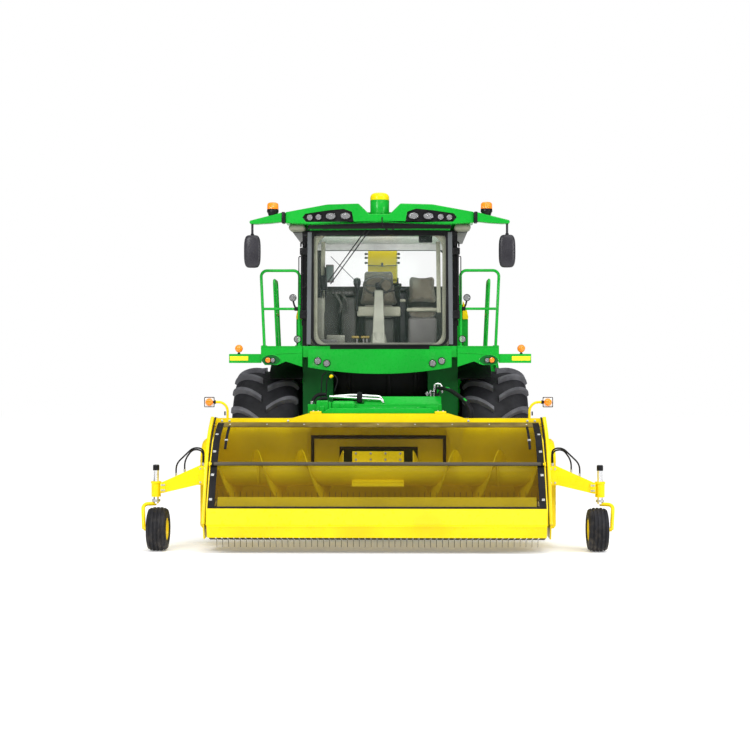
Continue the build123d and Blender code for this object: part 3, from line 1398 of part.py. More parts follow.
# Header frame: rear wall with the feed opening, side walls, floor and top beam
# The side wall seen from the side. Columns: distance behind the axle, Z.
WALL_FRONT = [(-2180, 1380), (-2560, 1130), (-2790, 745), (-2960, 300)]
with BuildPart() as header_frame:
    for side in (-1, 1):
        with BuildSketch(Plane.YZ.offset(side * WALL_X)):
            with BuildLine():
                Polyline(
                    (behind(WALL_FRONT[0][0]), WALL_FRONT[0][1]),
                    (behind(HEADER_BACK), BEAM_END_Z[1]),
                    (behind(HEADER_BACK), 380),
                    (behind(-2250), 300),
                    (behind(-2500), 300),
                    (behind(-2600), 150),
                    (behind(-2900), 140),
                    (behind(WALL_FRONT[3][0]), WALL_FRONT[3][1]),
                )
                Spline(*[(behind(y), z) for y, z in WALL_FRONT])
            make_face()
        extrude(amount=-side * WALL_T)
    inside = WALL_X - WALL_T
    block((-inside, inside), (HEADER_BACK - BACK_T, HEADER_BACK), (400, BEAM_END_Z[1] - 40))
    block(
        (-OPENING[0] / 2, OPENING[0] / 2),
        (HEADER_BACK - BACK_T - 10, HEADER_BACK + 10),
        (OPENING[1], OPENING[2]),
        mode=Mode.SUBTRACT,
    )
    with BuildSketch(Plane.YZ):
        with BuildLine():
            Polyline(
                (behind(HEADER_BACK - BACK_T), 400),
                (behind(-2300), 470),
                (behind(-2440), LIP_Z),
                (behind(LIP_Y), LIP_Z),
                (behind(LIP_Y), LIP_Z - 15),
                (behind(-2440), LIP_Z - 15),
                (behind(-2300), 450),
                (behind(HEADER_BACK), 380),
                (behind(HEADER_BACK), 400),
                close=True,
            )
        make_face()
    extrude(amount=inside, both=True)
    for y, z, radius in ((AUGER_Y, AUGER_Z, AUGER_SHAFT_R), (REEL_Y, REEL_Z, REEL_SHAFT_R)):
        for side in (-1, 1):
            rod((side * (inside - BEARING_T), y, z), (side * (inside + 1), y, z), radius + 35)
            rod(
                (side * (inside - BEARING_T), y, z),
                (side * inside, y, z),
                radius + SEAT_GAP,
                mode=Mode.SUBTRACT,
            )
    for side in (-1, 1):
        rod((side * (GUARD_X + 2), *GUARD_PIVOT), (side * (inside + 1), *GUARD_PIVOT), GUARD_PIN_R)
    block((-inside, inside), BEAM_Y, BEAM_END_Z)
    block((-BEAM_HALF_W, BEAM_HALF_W), (BEAM_Y[0], HEADER_BACK), BEAM_Z)
    with BuildSketch(Plane.XZ.offset(-behind(BEAM_Y[0]))):
        with BuildLine():
            Polyline(
                (-BEAM_TAPER_X, BEAM_END_Z[1] - 1),
                (-BEAM_HALF_W, BEAM_Z[1]),
                (BEAM_HALF_W, BEAM_Z[1]),
                (BEAM_TAPER_X, BEAM_END_Z[1] - 1),
                close=True,
            )
        make_face()
    extrude(amount=-(BEAM_Y[1] - BEAM_Y[0]))
    # Pressed posts on the rear wall and the frame round the feed opening
    post_face = HEADER_BACK - BACK_T - POST_SHEET
    for side in (-1, 1):
        with BuildSketch(Plane.XZ.offset(-behind(post_face))):
            with BuildLine():
                Polyline(*[(side * (POST_AT + x), z) for x, z in HEADER_POST], close=True)
            make_face()
        extrude(amount=-POST_SHEET - 1)
    wide, top = HOOD_FRAME[0] / 2, HOOD_FRAME[1]
    frame_y = (post_face, HEADER_BACK - BACK_T + 1)
    block((-wide, wide), frame_y, (top, top + HOOD_FRAME[2]))
    for side in (-1, 1):
        block(sorted((side * wide, side * (wide - HOOD_FRAME[2]))), frame_y, (OPENING[1], top + 1))
    # Side covers over the drives: rounded on top, drawn in at the outer face
    for side in (-1, 1):
        covers = []
        for x, inset in ((WALL_X - 1, 0), (WALL_X + 70, 0), (WALL_X + COVER_OUT, 25)):
            with BuildSketch(Plane.YZ.offset(side * x)) as ring:
                with BuildLine():
                    y0, y1 = behind(COVER_Y[0] + inset), behind(COVER_Y[1] - inset)
                    low, spring, crown = COVER_Z[0] + inset, COVER_Z[1], COVER_Z[2] - inset
                    Polyline((y0, spring), (y0, low), (y1, low), (y1, spring))
                    ThreePointArc((y1, spring), ((y0 + y1) / 2, crown), (y0, spring))
                make_face()
            covers.append(ring.sketch)
        loft(covers[:2], ruled=True)
        loft(covers[1:], ruled=True)
    # Curved stalks of the marker lamps, each with its square plate
    for side in (-1, 1):
        bent_tube(
            [
                (side * STALK_X, STALK_Y, BEAM_END_Z[1] - 2),
                (side * STALK_X, STALK_Y, STALK_LAMP[1]),
                (side * (STALK_LAMP[0] - 20), STALK_Y, STALK_LAMP[1]),
            ],
            STALK_R,
            100,
        )
        block(
            sorted((side * (STALK_LAMP[0] - LAMP_PLATE), side * (STALK_LAMP[0] + LAMP_PLATE))),
            (STALK_Y - STALK_R, STALK_Y),
            (STALK_LAMP[1] - LAMP_PLATE, STALK_LAMP[1] + LAMP_PLATE),
        )
        rod(
            (side * STALK_LAMP[0], STALK_Y - STALK_R - 40, STALK_LAMP[1]),
            (side * STALK_LAMP[0], STALK_Y - STALK_R + 1, STALK_LAMP[1]),
            LAMP_PLATE - 14,
        )
save(header_frame, "header_frame")

# Auger: a tube with flights of opposite hand and paddles in the middle
AUGER_END = WALL_X - WALL_T - BEARING_T - 5
SHAFT_END = WALL_X - WALL_T - SEAT_GAP
FLIGHT_INNER_X = 380
FLIGHT_STEPS = 12  # straight pieces to a turn


def flight(side, start_angle):
    """One flight, ruled between radial edges, from the middle out to a side wall."""
    length = AUGER_END - 40 - FLIGHT_INNER_X
    count = round(FLIGHT_STEPS * length / AUGER_PITCH)
    with BuildPart() as strip:
        for i in range(count + 1):
            share = i / count
            angle = start_angle + side * 360 * share * length / AUGER_PITCH
            a = radians(angle)
            radial = (0, sin(a), cos(a))
            plane = Plane(
                origin=(side * (FLIGHT_INNER_X + share * length), behind(AUGER_Y), AUGER_Z),
                x_dir=(1, 0, 0),
                z_dir=(0, cos(a), -sin(a)),
            )
            with BuildSketch(plane):
                with Locations((0, (AUGER_R + AUGER_TUBE_R - 12) / 2)):
                    Rectangle(9, AUGER_R - AUGER_TUBE_R + 12)
        loft(ruled=True)
    return strip.part


with BuildPart() as auger:
    rod((-AUGER_END, AUGER_Y, AUGER_Z), (AUGER_END, AUGER_Y, AUGER_Z), AUGER_TUBE_R)
    rod((-SHAFT_END, AUGER_Y, AUGER_Z), (SHAFT_END, AUGER_Y, AUGER_Z), AUGER_SHAFT_R)
    for side in (-1, 1):
        add(flight(side, 20))
    for angle in (0, 120, 240):
        with Locations(Location((0, behind(AUGER_Y), AUGER_Z), (angle, 0, 0))):
            with Locations((0, 0, (AUGER_TUBE_R + AUGER_R - 30) / 2)):
                Box(560, 12, AUGER_R - 30 - AUGER_TUBE_R + 20)
save(auger, "auger")

# Pickup reel: a shaft, end discs and bars of tines
REEL_BARS = 4
REEL_HALF_W = WALL_X - WALL_T - 30
with BuildPart() as pickup_reel:
    rod((-SHAFT_END, REEL_Y, REEL_Z), (SHAFT_END, REEL_Y, REEL_Z), REEL_SHAFT_R)
    for k in range(REEL_BARS):
        with Locations(Location((0, behind(REEL_Y), REEL_Z), (360 / REEL_BARS * k, 0, 0))):
            with Locations((0, 0, 100)):
                Box(2 * REEL_HALF_W, 30, 130)
            count = int(2 * (REEL_HALF_W - 30) / TINE_PITCH)
            with GridLocations(TINE_PITCH, 1, count, 1):
                with Locations((0, 0, (150 + TINE_R) / 2)):
                    Box(5, 7, TINE_R - 150)
save(pickup_reel, "pickup_reel")

# Stripper bands: one between each pair of tine rows, joined by a strip on the pan's lip
BAND_W = 46
BAND_T = 5
BAND_ANGLES = [60, 92, 129, 166, 203, 240, 277]
with BuildPart() as stripper_bands:
    with BuildSketch(Plane.YZ):
        outer, inner = (
            [(REEL_Y + r * cos(radians(a)), REEL_Z + r * sin(radians(a))) for a in BAND_ANGLES]
            for r in (BAND_R, BAND_R - BAND_T)
        )
        side_profile([(LIP_Y, LIP_Z + BAND_T), *outer, *inner[::-1], (LIP_Y, LIP_Z)])
    extrude(amount=REEL_HALF_W - 10, both=True)
    count = int(2 * (REEL_HALF_W - 30) / TINE_PITCH)
    with Locations((0, behind(REEL_Y), REEL_Z)):
        with GridLocations(TINE_PITCH, 1, count, 1):
            Box(TINE_PITCH - BAND_W, 3 * BAND_R, 3 * BAND_R, mode=Mode.SUBTRACT)
    block((-REEL_HALF_W, REEL_HALF_W), (LIP_Y - 1, LIP_Y + 50), (LIP_Z, LIP_Z + BAND_T))
save(stripper_bands, "stripper_bands")

# Press band: the folded sheet in front of the reel, and the arms that carry it
SHEET_T = 8
ARM_SHEET = 12
ROLLER_AT = (-2826, 914)  # the bar across the shield
ROLLER_R = 13
with BuildPart() as press_band:
    with BuildSketch(Plane.YZ):
        front = [(-3080, 470), (-FRONT_REACH, 300), (-3090, 172)]
        back = [(y + SHEET_T, z) for y, z in reversed(front)]
        side_profile(front + back)
    extrude(amount=GUARD_X, both=True)
    for side in (-1, 1):
        with BuildSketch(Plane.YZ.offset(side * GUARD_X)):
            side_profile(
                [
                    (GUARD_PIVOT[0] + 28, GUARD_PIVOT[1] - 20),
                    (GUARD_PIVOT[0] + 20, GUARD_PIVOT[1] + 34),
                    (-2560, 1150),
                    (-2800, 900),
                    (-3078, 470),
                    (-3100, 300),
                    (-3020, 300),
                    (-3000, 470),
                    (-2740, 850),
                    (-2520, 1080),
                ]
            )
            with Locations((behind(GUARD_PIVOT[0]), GUARD_PIVOT[1])):
                Circle(GUARD_PIN_R + SEAT_GAP, mode=Mode.SUBTRACT)
        extrude(amount=side * ARM_SHEET)
        block(
            sorted((side * GUARD_X, side * (GUARD_X + ARM_SHEET))),
            (ROLLER_AT[0] - 20, ROLLER_AT[0] + 50),
            (ROLLER_AT[1] - 22, ROLLER_AT[1] + 22),
        )
    rod((-GUARD_X - 1, *ROLLER_AT), (GUARD_X + 1, *ROLLER_AT), ROLLER_R)
save(press_band, "press_band")

# Crop shield: the bowed screen over the auger, between the arms
with BuildPart() as crop_shield:
    with BuildSketch(Plane.YZ):
        with BuildLine():
            upper = Spline(
                (behind(-2135), 1325), (behind(-2560), 1150), (behind(-2800), 900), (behind(-3080), 470)
            )
            lower = Spline(
                (behind(-2135), 1317), (behind(-2555), 1142), (behind(-2793), 896), (behind(-3072), 470)
            )
            Line(upper @ 0, lower @ 0)
            Line(upper @ 1, lower @ 1)
        make_face()
    extrude(amount=GUARD_X, both=True)
save(crop_shield, "crop_shield")

# Gauge wheel arms with the hoses looped over their roots, casters and wheels
HOSE_R = 7
# Columns: distance behind the axle, X of the first end, crown, X and Z of the far end.
ARM_HOSES = [(-2575, 1838, 1060, 2131, 770), (-2540, 1850, 1040, 2045, 808)]
with BuildPart() as gauge_arms:
    for side in (-1, 1):
        with BuildSketch(Plane.XZ.offset(-behind(POST_Y - 60))):
            with BuildLine():
                Polyline(
                    (side * WALL_X, 680),
                    (side * WALL_X, 880),
                    (side * 1890, 880),
                    (side * 2260, 715),
                    (side * (POST_X - POST_R - 20), 700),
                    (side * (POST_X - POST_R - 20), 590),
                    (side * 2260, 595),
                    (side * 1900, 680),
                    close=True,
                )
            make_face()
        extrude(amount=-120)
        with Locations((side * POST_X, behind(POST_Y), 622)):
            Cylinder(POST_R + 22, 140)
            Cylinder(POST_R + SEAT_GAP, 140, mode=Mode.SUBTRACT)
        for y, start_x, crown, end_x, end_z in ARM_HOSES:
            bent_tube(
                [
                    (side * start_x, y, 878),
                    (side * start_x, y, crown),
                    (side * (start_x + 110), y, crown + 15),
                    (side * end_x, y, end_z + 130),
                    (side * end_x, y, end_z),
                ],
                HOSE_R,
                45,
            )
save(gauge_arms, "gauge_arms")

FORK_R = 20
for side, word in ((1, "left"), (-1, "right")):
    with BuildPart() as caster:
        rod((side * POST_X, POST_Y, 480), (side * POST_X, POST_Y, 890), POST_R)
        bent_tube(
            [
                (side * POST_X, POST_Y, 478),
                (side * (GAUGE_X + 180), POST_Y - 60, 478),
                (side * (GAUGE_X + 150), GAUGE_Y, GAUGE_R),
            ],
            FORK_R,
            60,
        )
        rod(
            (side * (GAUGE_X + 150), GAUGE_Y, GAUGE_R),
            (side * (GAUGE_X - 10), GAUGE_Y, GAUGE_R),
            FORK_R,
        )
    save(caster, f"caster_{word}")
    with BuildPart() as gauge_wheel:
        with BuildSketch(Plane.XZ.offset(-behind(GAUGE_Y))):
            with BuildLine():
                Polyline(
                    (-0.32 * GAUGE_W, 0),
                    (-0.32 * GAUGE_W, GAUGE_RIM_R),
                    (-0.5 * GAUGE_W, GAUGE_RIM_R + 45),
                    (-0.42 * GAUGE_W, GAUGE_R - 18),
                    (-0.22 * GAUGE_W, GAUGE_R),
                    (0.22 * GAUGE_W, GAUGE_R),
                    (0.42 * GAUGE_W, GAUGE_R - 18),
                    (0.5 * GAUGE_W, GAUGE_RIM_R + 45),
                    (0.32 * GAUGE_W, GAUGE_RIM_R),
                    (0.20 * GAUGE_W, GAUGE_RIM_R - 20),
                    (0.20 * GAUGE_W, 0),
                    close=True,
                )
            make_face()
        revolve(axis=Axis((0, behind(GAUGE_Y), 0), (1, 0, 0)))
        rod((-20, GAUGE_Y, 0), (GAUGE_W, GAUGE_Y, 0), FORK_R + SEAT_GAP, mode=Mode.SUBTRACT)
    placed = gauge_wheel.part if side > 0 else gauge_wheel.part.mirror(Plane.YZ)
    placed = placed.moved(Location((side * GAUGE_X, 0, GAUGE_R)))
    placed.label = f"gauge_wheel_{word}"
    export_step(placed, f"parts/gauge_wheel_{word}.step")
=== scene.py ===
"""Looks of a self-propelled forage harvester with a windrow pickup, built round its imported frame.

Lengths are metres in the row frame: +Z up, the machine faces -Y, its left side is +X.
"""

import json
import logging
import math
from dataclasses import dataclass
from enum import Enum

import bmesh
import bpy
import numpy as np
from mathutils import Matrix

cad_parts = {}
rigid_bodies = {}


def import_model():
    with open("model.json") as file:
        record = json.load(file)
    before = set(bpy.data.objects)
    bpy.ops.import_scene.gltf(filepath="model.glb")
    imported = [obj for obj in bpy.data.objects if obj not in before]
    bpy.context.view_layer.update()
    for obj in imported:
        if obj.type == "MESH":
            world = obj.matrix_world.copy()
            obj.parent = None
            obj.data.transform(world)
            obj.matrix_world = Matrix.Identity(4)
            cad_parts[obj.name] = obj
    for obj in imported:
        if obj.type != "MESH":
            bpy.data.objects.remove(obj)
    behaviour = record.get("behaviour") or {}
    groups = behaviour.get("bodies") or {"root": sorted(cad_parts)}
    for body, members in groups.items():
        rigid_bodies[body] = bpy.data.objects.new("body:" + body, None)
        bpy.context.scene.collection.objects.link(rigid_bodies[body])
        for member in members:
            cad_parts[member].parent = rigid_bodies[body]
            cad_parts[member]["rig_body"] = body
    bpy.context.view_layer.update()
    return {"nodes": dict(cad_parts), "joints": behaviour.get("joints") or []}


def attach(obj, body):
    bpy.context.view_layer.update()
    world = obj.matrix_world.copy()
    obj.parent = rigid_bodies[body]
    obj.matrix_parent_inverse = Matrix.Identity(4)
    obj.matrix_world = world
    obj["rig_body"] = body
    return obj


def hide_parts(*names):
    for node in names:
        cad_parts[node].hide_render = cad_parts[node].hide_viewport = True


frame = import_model()

log = logging.getLogger("harvester")
Array = np.ndarray
Material = bpy.types.Material
Object = bpy.types.Object
Socket = bpy.types.NodeSocket
JOINTS = {joint["name"]: joint for joint in frame["joints"]}
AXLE_Y = JOINTS["front_wheel_spin_left"]["pos_m"][1]
X_WAY, Y_WAY, Z_WAY = np.eye(3)
ORIGIN = np.zeros(3)
SIDES = (1, -1)
SIDE_WORD = {1: "left", -1: "right"}


def behind(distance: float) -> float:
    """Gives Y at a distance behind the front axle."""
    return AXLE_Y + distance


def joint_point(name: str) -> Array:
    """Gives the point that a joint turns about."""
    return np.array(JOINTS[name]["pos_m"], float)


def spots(*rows: tuple[float, float, float]) -> Array:
    """Turns rows of X, distance behind the front axle and Z into points."""
    return np.array(rows, float) + np.array([0.0, AXLE_Y, 0.0])


def spot(x: float, distance: float, z: float) -> Array:
    """Gives the point at X, a distance behind the front axle and Z."""
    return spots((x, distance, z))[0]


# Surfaces as arrays


@dataclass
class Surface:
    """A mesh as arrays.

    points is (N, 3), corners holds the point numbers of all faces in a row, and sizes
    holds each face's number of corners.
    """

    points: Array
    corners: Array
    sizes: Array

    def moved(self, x: float = 0.0, y: float = 0.0, z: float = 0.0) -> "Surface":
        """Gives the surface shifted by x, y and z."""
        return Surface(self.points + np.array([x, y, z]), self.corners, self.sizes)

    def turned(self, axis: Array, degrees: float, about: Array) -> "Surface":
        """Gives the surface turned about an axis through a point.

        Rodrigues' formula: v cos a + (k x v) sin a + k (k . v)(1 - cos a).

        Args:
            axis: direction of the axis.
            degrees: angle of the turn.
            about: a point on the axis.

        Returns:
            The turned surface.
        """
        k = np.asarray(axis, float) / np.linalg.norm(axis)
        v = self.points - about
        angle = math.radians(degrees)
        turned = v * math.cos(angle) + np.cross(k, v) * math.sin(angle)
        turned += np.outer(v @ k, k) * (1 - math.cos(angle))
        return Surface(turned + about, self.corners, self.sizes)

    def mirrored(self) -> "Surface":
        """Gives the surface mirrored from left to right."""
        return Surface(self.points * np.array([-1.0, 1.0, 1.0]), self.corners, self.sizes)


def join(*surfaces: Surface) -> Surface:
    """Joins surfaces into one, with the point numbers of each shifted past the last."""
    shifts = np.cumsum([0] + [len(s.points) for s in surfaces[:-1]])
    return Surface(
        np.concatenate([s.points for s in surfaces]),
        np.concatenate([s.corners + n for s, n in zip(surfaces, shifts)]),
        np.concatenate([s.sizes for s in surfaces]),
    )


def handed(surface: Surface, side: int) -> Surface:
    """Gives a left piece's surface, mirrored for the right side."""
    return surface if side > 0 else surface.mirrored()


def both_sides(surface: Surface) -> Surface:
    """Joins a surface with its mirror image."""
    return join(surface, surface.mirrored())


def grid_surface(grid: Array, wrap_u: bool = False, wrap_v: bool = False, caps: bool = False) -> Surface:
    """Makes the surface P(u, v) from a grid of its points, one quad to each cell.

    Args:
        grid: points, (U, V, 3).
        wrap_u: joins the last row to the first.
        wrap_v: joins the last column to the first.
        caps: closes the first and the last row with a face each.

    Returns:
        The surface.
    """
    rows, columns = grid.shape[:2]
    number = np.arange(rows * columns).reshape(rows, columns)
    near = number if wrap_u else number[:-1]
    far = np.roll(number, -1, 0) if wrap_u else number[1:]
    if wrap_v:
        corners = np.stack([near, np.roll(near, -1, 1), np.roll(far, -1, 1), far], -1)
    else:
        corners = np.stack([near[:, :-1], near[:, 1:], far[:, 1:], far[:, :-1]], -1)
    sizes = np.full(corners.shape[0] * corners.shape[1], 4)
    corners = corners.reshape(-1)
    if caps:
        corners = np.concatenate([corners, number[0][::-1], number[-1]])
        sizes = np.concatenate([sizes, [columns, columns]])
    return Surface(grid.reshape(-1, 3), corners, sizes)


def axis_frame(axis: Array) -> tuple[Array, Array, Array]:
    """Gives an axis as a unit vector and two directions square to it."""
    k = np.asarray(axis, float) / np.linalg.norm(axis)
    helper = np.eye(3)[np.argmin(np.abs(k))]
    side = np.cross(k, helper)
    side /= np.linalg.norm(side)
    return k, side, np.cross(k, side)


def lathe(profile: Array, origin: Array, axis: Array, sides: int = 48) -> Surface:
    """Turns a profile round an axis: P = origin + a k + r (cos v s + sin v t).

    Args:
        profile: pairs of place along the axis and radius.
        origin: a point on the axis.
        axis: direction of the axis k; s and t are square to it.
        sides: steps round the axis.

    Returns:
        The surface, closed at both ends.
    """
    k, s, t = axis_frame(axis)
    profile = np.asarray(profile, float)
    angle = np.linspace(0, 2 * math.pi, sides, endpoint=False)
    ring = np.cos(angle)[:, None] * s + np.sin(angle)[:, None] * t
    grid = np.asarray(origin) + profile[:, :1, None] * k + profile[:, 1:, None] * ring
    return grid_surface(grid, wrap_v=True, caps=True)


def tube(path: Array, radius: float | Array, sides: int = 12, closed: bool = False) -> Surface:
    """Carries a circle along a path: P = c(u) + r(u) (cos v s(u) + sin v b(u)).

    s is the path's tangent crossed with the normal of the plane that the path lies
    nearest to, and b is the tangent crossed with s.

    Args:
        path: centre points, (U, 3).
        radius: one radius, or one for each point.
        sides: steps round the tube.
        closed: joins the path's end to its start.

    Returns:
        The tube, capped unless it is closed.
    """
    path = np.asarray(path, float)
    step = np.roll(path, -1, 0) - np.roll(path, 1, 0) if closed else np.gradient(path, axis=0)
    tangent = step / np.linalg.norm(step, axis=1, keepdims=True)
    normal = np.linalg.svd(tangent, full_matrices=True)[2][-1]
    s = np.cross(tangent, normal)
    s /= np.linalg.norm(s, axis=1, keepdims=True)
    b = np.cross(tangent, s)
    angle = np.linspace(0, 2 * math.pi, sides, endpoint=False)[None, :, None]
    r = np.broadcast_to(np.asarray(radius, float), (len(path),))[:, None, None]
    grid = path[:, None] + r * (np.cos(angle) * s[:, None] + np.sin(angle) * b[:, None])
    return grid_surface(grid, wrap_u=closed, wrap_v=True, caps=not closed)


def rod(start: Array, end: Array, radius: float, sides: int = 20, chamfer: float = 0.002) -> Surface:
    """Makes a round bar between two points, with its end edges chamfered."""
    start, end = np.asarray(start, float), np.asarray(end, float)
    length = float(np.linalg.norm(end - start))
    edge = min(chamfer, radius / 3, length / 3)
    profile = [(0, radius - edge), (edge, radius), (length - edge, radius), (length, radius - edge)]
    return lathe(profile, start, end - start, sides)


def rounded_path(points: Array, radius: float, steps: int = 7) -> Array:
    """Rounds the corners of a path: (1-t)^2 A + 2t(1-t) P + t^2 B at each corner P.

    A and B lie before and after the corner, as far off as the radius, or 0.48 of the
    shorter run.

    Args:
        points: the path's corners.
        radius: how far from a corner its round begins.
        steps: points on each round.

    Returns:
        The path's points.
    """
    p = np.asarray(points, float)
    run = np.linalg.norm(np.diff(p, axis=0), axis=1, keepdims=True)
    way = np.diff(p, axis=0) / run
    cut = np.minimum(radius, 0.48 * np.minimum(run[:-1], run[1:]))
    a, b = p[1:-1] - way[:-1] * cut, p[1:-1] + way[1:] * cut
    t = np.linspace(0, 1, steps)[None, :, None]
    rounds = (1 - t) ** 2 * a[:, None] + 2 * t * (1 - t) * p[1:-1, None] + t**2 * b[:, None]
    return np.concatenate([p[:1], rounds.reshape(-1, 3), p[-1:]])


def smooth_path(points: Array, count: int) -> Array:
    """Runs a natural cubic spline through points, spaced by the chords' lengths.

    Its slopes solve the usual system of equal second derivatives on both sides of
    each point, and each stretch is a Hermite curve.

    Args:
        points: (N, D) points to pass through.
        count: how many points to give.

    Returns:
        (count, D) points along the curve.
    """
    p = np.asarray(points, float)
    h = np.linalg.norm(np.diff(p, axis=0), axis=1)
    n = len(p)
    system, right = np.zeros((n, n)), np.zeros_like(p)
    inner = np.arange(1, n - 1)
    system[inner, inner - 1] = 1 / h[:-1]
    system[inner, inner] = 2 / h[:-1] + 2 / h[1:]
    system[inner, inner + 1] = 1 / h[1:]
    rise = np.diff(p, axis=0) / h[:, None] ** 2
    right[1:-1] = 3 * (rise[:-1] + rise[1:])
    system[0, :2], right[0] = (2, 1), 3 * rise[0] * h[0]
    system[-1, -2:], right[-1] = (1, 2), 3 * rise[-1] * h[-1]
    slope = np.linalg.solve(system, right)
    at = np.concatenate([[0], np.cumsum(h)])
    s = np.linspace(0, at[-1], count)
    k = np.clip(np.searchsorted(at, s, side="right") - 1, 0, n - 2)
    u, width = ((s - at[k]) / h[k])[:, None], h[k][:, None]
    return (
        (1 + 2 * u) * (1 - u) ** 2 * p[k]
        + u * (1 - u) ** 2 * width * slope[k]
        + u**2 * (3 - 2 * u) * p[k + 1]
        + u**2 * (u - 1) * width * slope[k + 1]
    )


def rounded_box(low: Array, high: Array, radius: float, steps: int = 3) -> Surface:
    """Makes a box with round edges: P = centre + r n + sign(n) (half - r).

    n runs over the unit sphere by latitude and longitude, with two samples where a
    sign changes, and these stretch into the flat faces.

    Args:
        low: lowest corner.
        high: highest corner.
        radius: radius of the edges.
        steps: steps to a quarter turn.

    Returns:
        The closed surface.
    """
    low, high = np.asarray(low, float), np.asarray(high, float)
    half = (high - low) / 2
    radius = min(radius, float(half.min()))
    quarter = np.linspace(0, math.pi / 2, steps + 1)
    around = (np.arange(4)[:, None] * math.pi / 2 + quarter).reshape(-1)
    sign_x = np.repeat([1.0, -1.0, -1.0, 1.0], steps + 1)
    sign_y = np.repeat([1.0, 1.0, -1.0, -1.0], steps + 1)
    rise = np.concatenate([quarter - math.pi / 2, quarter])[:, None]
    sign_z = np.repeat([-1.0, 1.0], steps + 1)[:, None]
    direction = np.stack(
        [np.cos(rise) * np.cos(around), np.cos(rise) * np.sin(around), np.sin(rise) + 0 * around], -1
    )
    sign = np.stack(np.broadcast_arrays(sign_x[None], sign_y[None], sign_z), -1)
    grid = (low + high) / 2 + radius * direction + sign * (half - radius)
    return grid_surface(grid, wrap_v=True, caps=True)


def block(low: tuple, high: tuple, radius: float, steps: int = 3) -> Surface:
    """Makes a box with round edges between two spots."""
    return rounded_box(spot(*low), spot(*high), radius, steps)


def stem(start: tuple, end: tuple, radius: float, sides: int = 20) -> Surface:
    """Makes a round bar between two spots."""
    return rod(spot(*start), spot(*end), radius, sides)


def pipe(corners: list, bend: float, radius: float, sides: int = 12) -> Surface:
    """Bends a pipe round corners given as spots."""
    return tube(rounded_path(spots(*corners), bend), radius, sides)


def hose(points: list, count: int, radius: float, sides: int) -> Surface:
    """Runs a hose smoothly through points given as spots."""
    return tube(smooth_path(spots(*points), count), radius, sides)


def bolt_circle(count: int, x: float, radius: float, start: float = 0.0) -> Array:
    """Gives places on a circle round the X axis, the first of them at an angle from Y."""
    turns = start + np.arange(count) * 2 * math.pi / count
    return np.stack([np.full(count, x), radius * np.cos(turns), radius * np.sin(turns)], -1)


def wheel_ring(section: Array, sides: int) -> Surface:
    """Turns a closed section of X and radius round the X axis: P = (x, -r cos v, r sin v)."""
    section = np.asarray(section, float)
    angle = np.linspace(0, 2 * math.pi, sides, endpoint=False)
    x, r = section[:, :1], section[:, 1:]
    grid = np.stack(np.broadcast_arrays(x, -r * np.cos(angle), r * np.sin(angle)), -1)
    return grid_surface(grid, wrap_u=True, wrap_v=True)


def prism(outline: Array, low: float, high: float, axis: str = "x") -> Surface:
    """Carries a closed outline straight along an axis, between two places on it.

    Args:
        outline: pairs in the plane square to the axis: (y, z), (x, z) or (x, y).
        low: where the outline starts on the axis.
        high: where it ends.
        axis: "x", "y" or "z".

    Returns:
        The closed surface.
    """
    outline = np.asarray(outline, float)
    place = "xyz".index(axis)
    rings = [np.insert(outline, place, value, axis=1) for value in (low, high)]
    return grid_surface(np.stack(rings), wrap_v=True, caps=True)


def plate_ring(outer: Array, inner: Array, low: float, high: float, axis: str = "y") -> Surface:
    """Makes a frame between two outlines of as many points, with flat faces and walls."""
    place = "xyz".index(axis)
    rings = [
        np.insert(np.asarray(line, float), place, value, axis=1)
        for line, value in ((outer, low), (outer, high), (inner, high), (inner, low))
    ]
    return grid_surface(np.stack(rings), wrap_u=True, wrap_v=True)


def rounded_rectangle(
    centre: tuple[float, float], size: tuple[float, float], radius: float, steps: int = 6,
) -> Array:
    """Gives the outline of a rectangle with round corners: c + r (cos a, sin a) + corner."""
    quarter = np.linspace(0, math.pi / 2, steps + 1)
    angle = (np.arange(4)[:, None] * math.pi / 2 + quarter).reshape(-1)
    sign = np.repeat([(1, 1), (-1, 1), (-1, -1), (1, -1)], steps + 1, axis=0)
    reach = np.array(size) / 2 - radius
    return np.array(centre) + sign * reach + radius * np.stack([np.cos(angle), np.sin(angle)], -1)


def strip(path: Array, across: Array, width: float, depth: float, rounding: float = 0.3) -> Surface:
    """Carries a round-cornered rectangle along a path: P = c(u) + a k + d (t(u) x k).

    Args:
        path: the middle of the strip.
        across: direction k of its width.
        width: its width.
        depth: its thickness.
        rounding: radius of its edges as a share of the lesser of the two.

    Returns:
        The closed strip.
    """
    path = np.asarray(path, float)
    tangent = np.gradient(path, axis=0)
    k = np.asarray(across, float) / np.linalg.norm(across)
    normal = np.cross(tangent, k)
    normal /= np.linalg.norm(normal, axis=1, keepdims=True)
    section = rounded_rectangle((0, 0), (width, depth), rounding * min(width, depth), 3)
    grid = path[:, None] + section[None, :, :1] * k + section[None, :, 1:] * normal[:, None]
    return grid_surface(grid, wrap_v=True, caps=True)


def repeat(surface: Surface, places: Array) -> Surface:
    """Copies a surface to many places at once."""
    places = np.atleast_2d(np.asarray(places, float))
    count, size = len(places), len(surface.points)
    points = (places[:, None] + surface.points[None]).reshape(-1, 3)
    corners = (surface.corners[None] + np.arange(count)[:, None] * size).reshape(-1)
    return Surface(points, corners, np.tile(surface.sizes, count))


def bolts(places: Array, normal: Array, radius: float, height: float) -> Surface:
    """Makes hexagon heads on washers at many places at once: six-sided rings along a normal."""
    k, s, t = axis_frame(normal)
    angle = np.arange(6) * math.pi / 3
    ring = np.cos(angle)[:, None] * s + np.sin(angle)[:, None] * t
    # Columns: height as a share, radius as a share.
    steps = np.array([(-0.3, 1.35), (0.15, 1.35), (0.15, 1.0), (0.85, 1.0), (1.0, 0.8)])
    one = steps[:, :1, None] * height * k + steps[:, 1:, None] * radius * ring
    return repeat(grid_surface(one, wrap_v=True, caps=True), places)


# Finishes


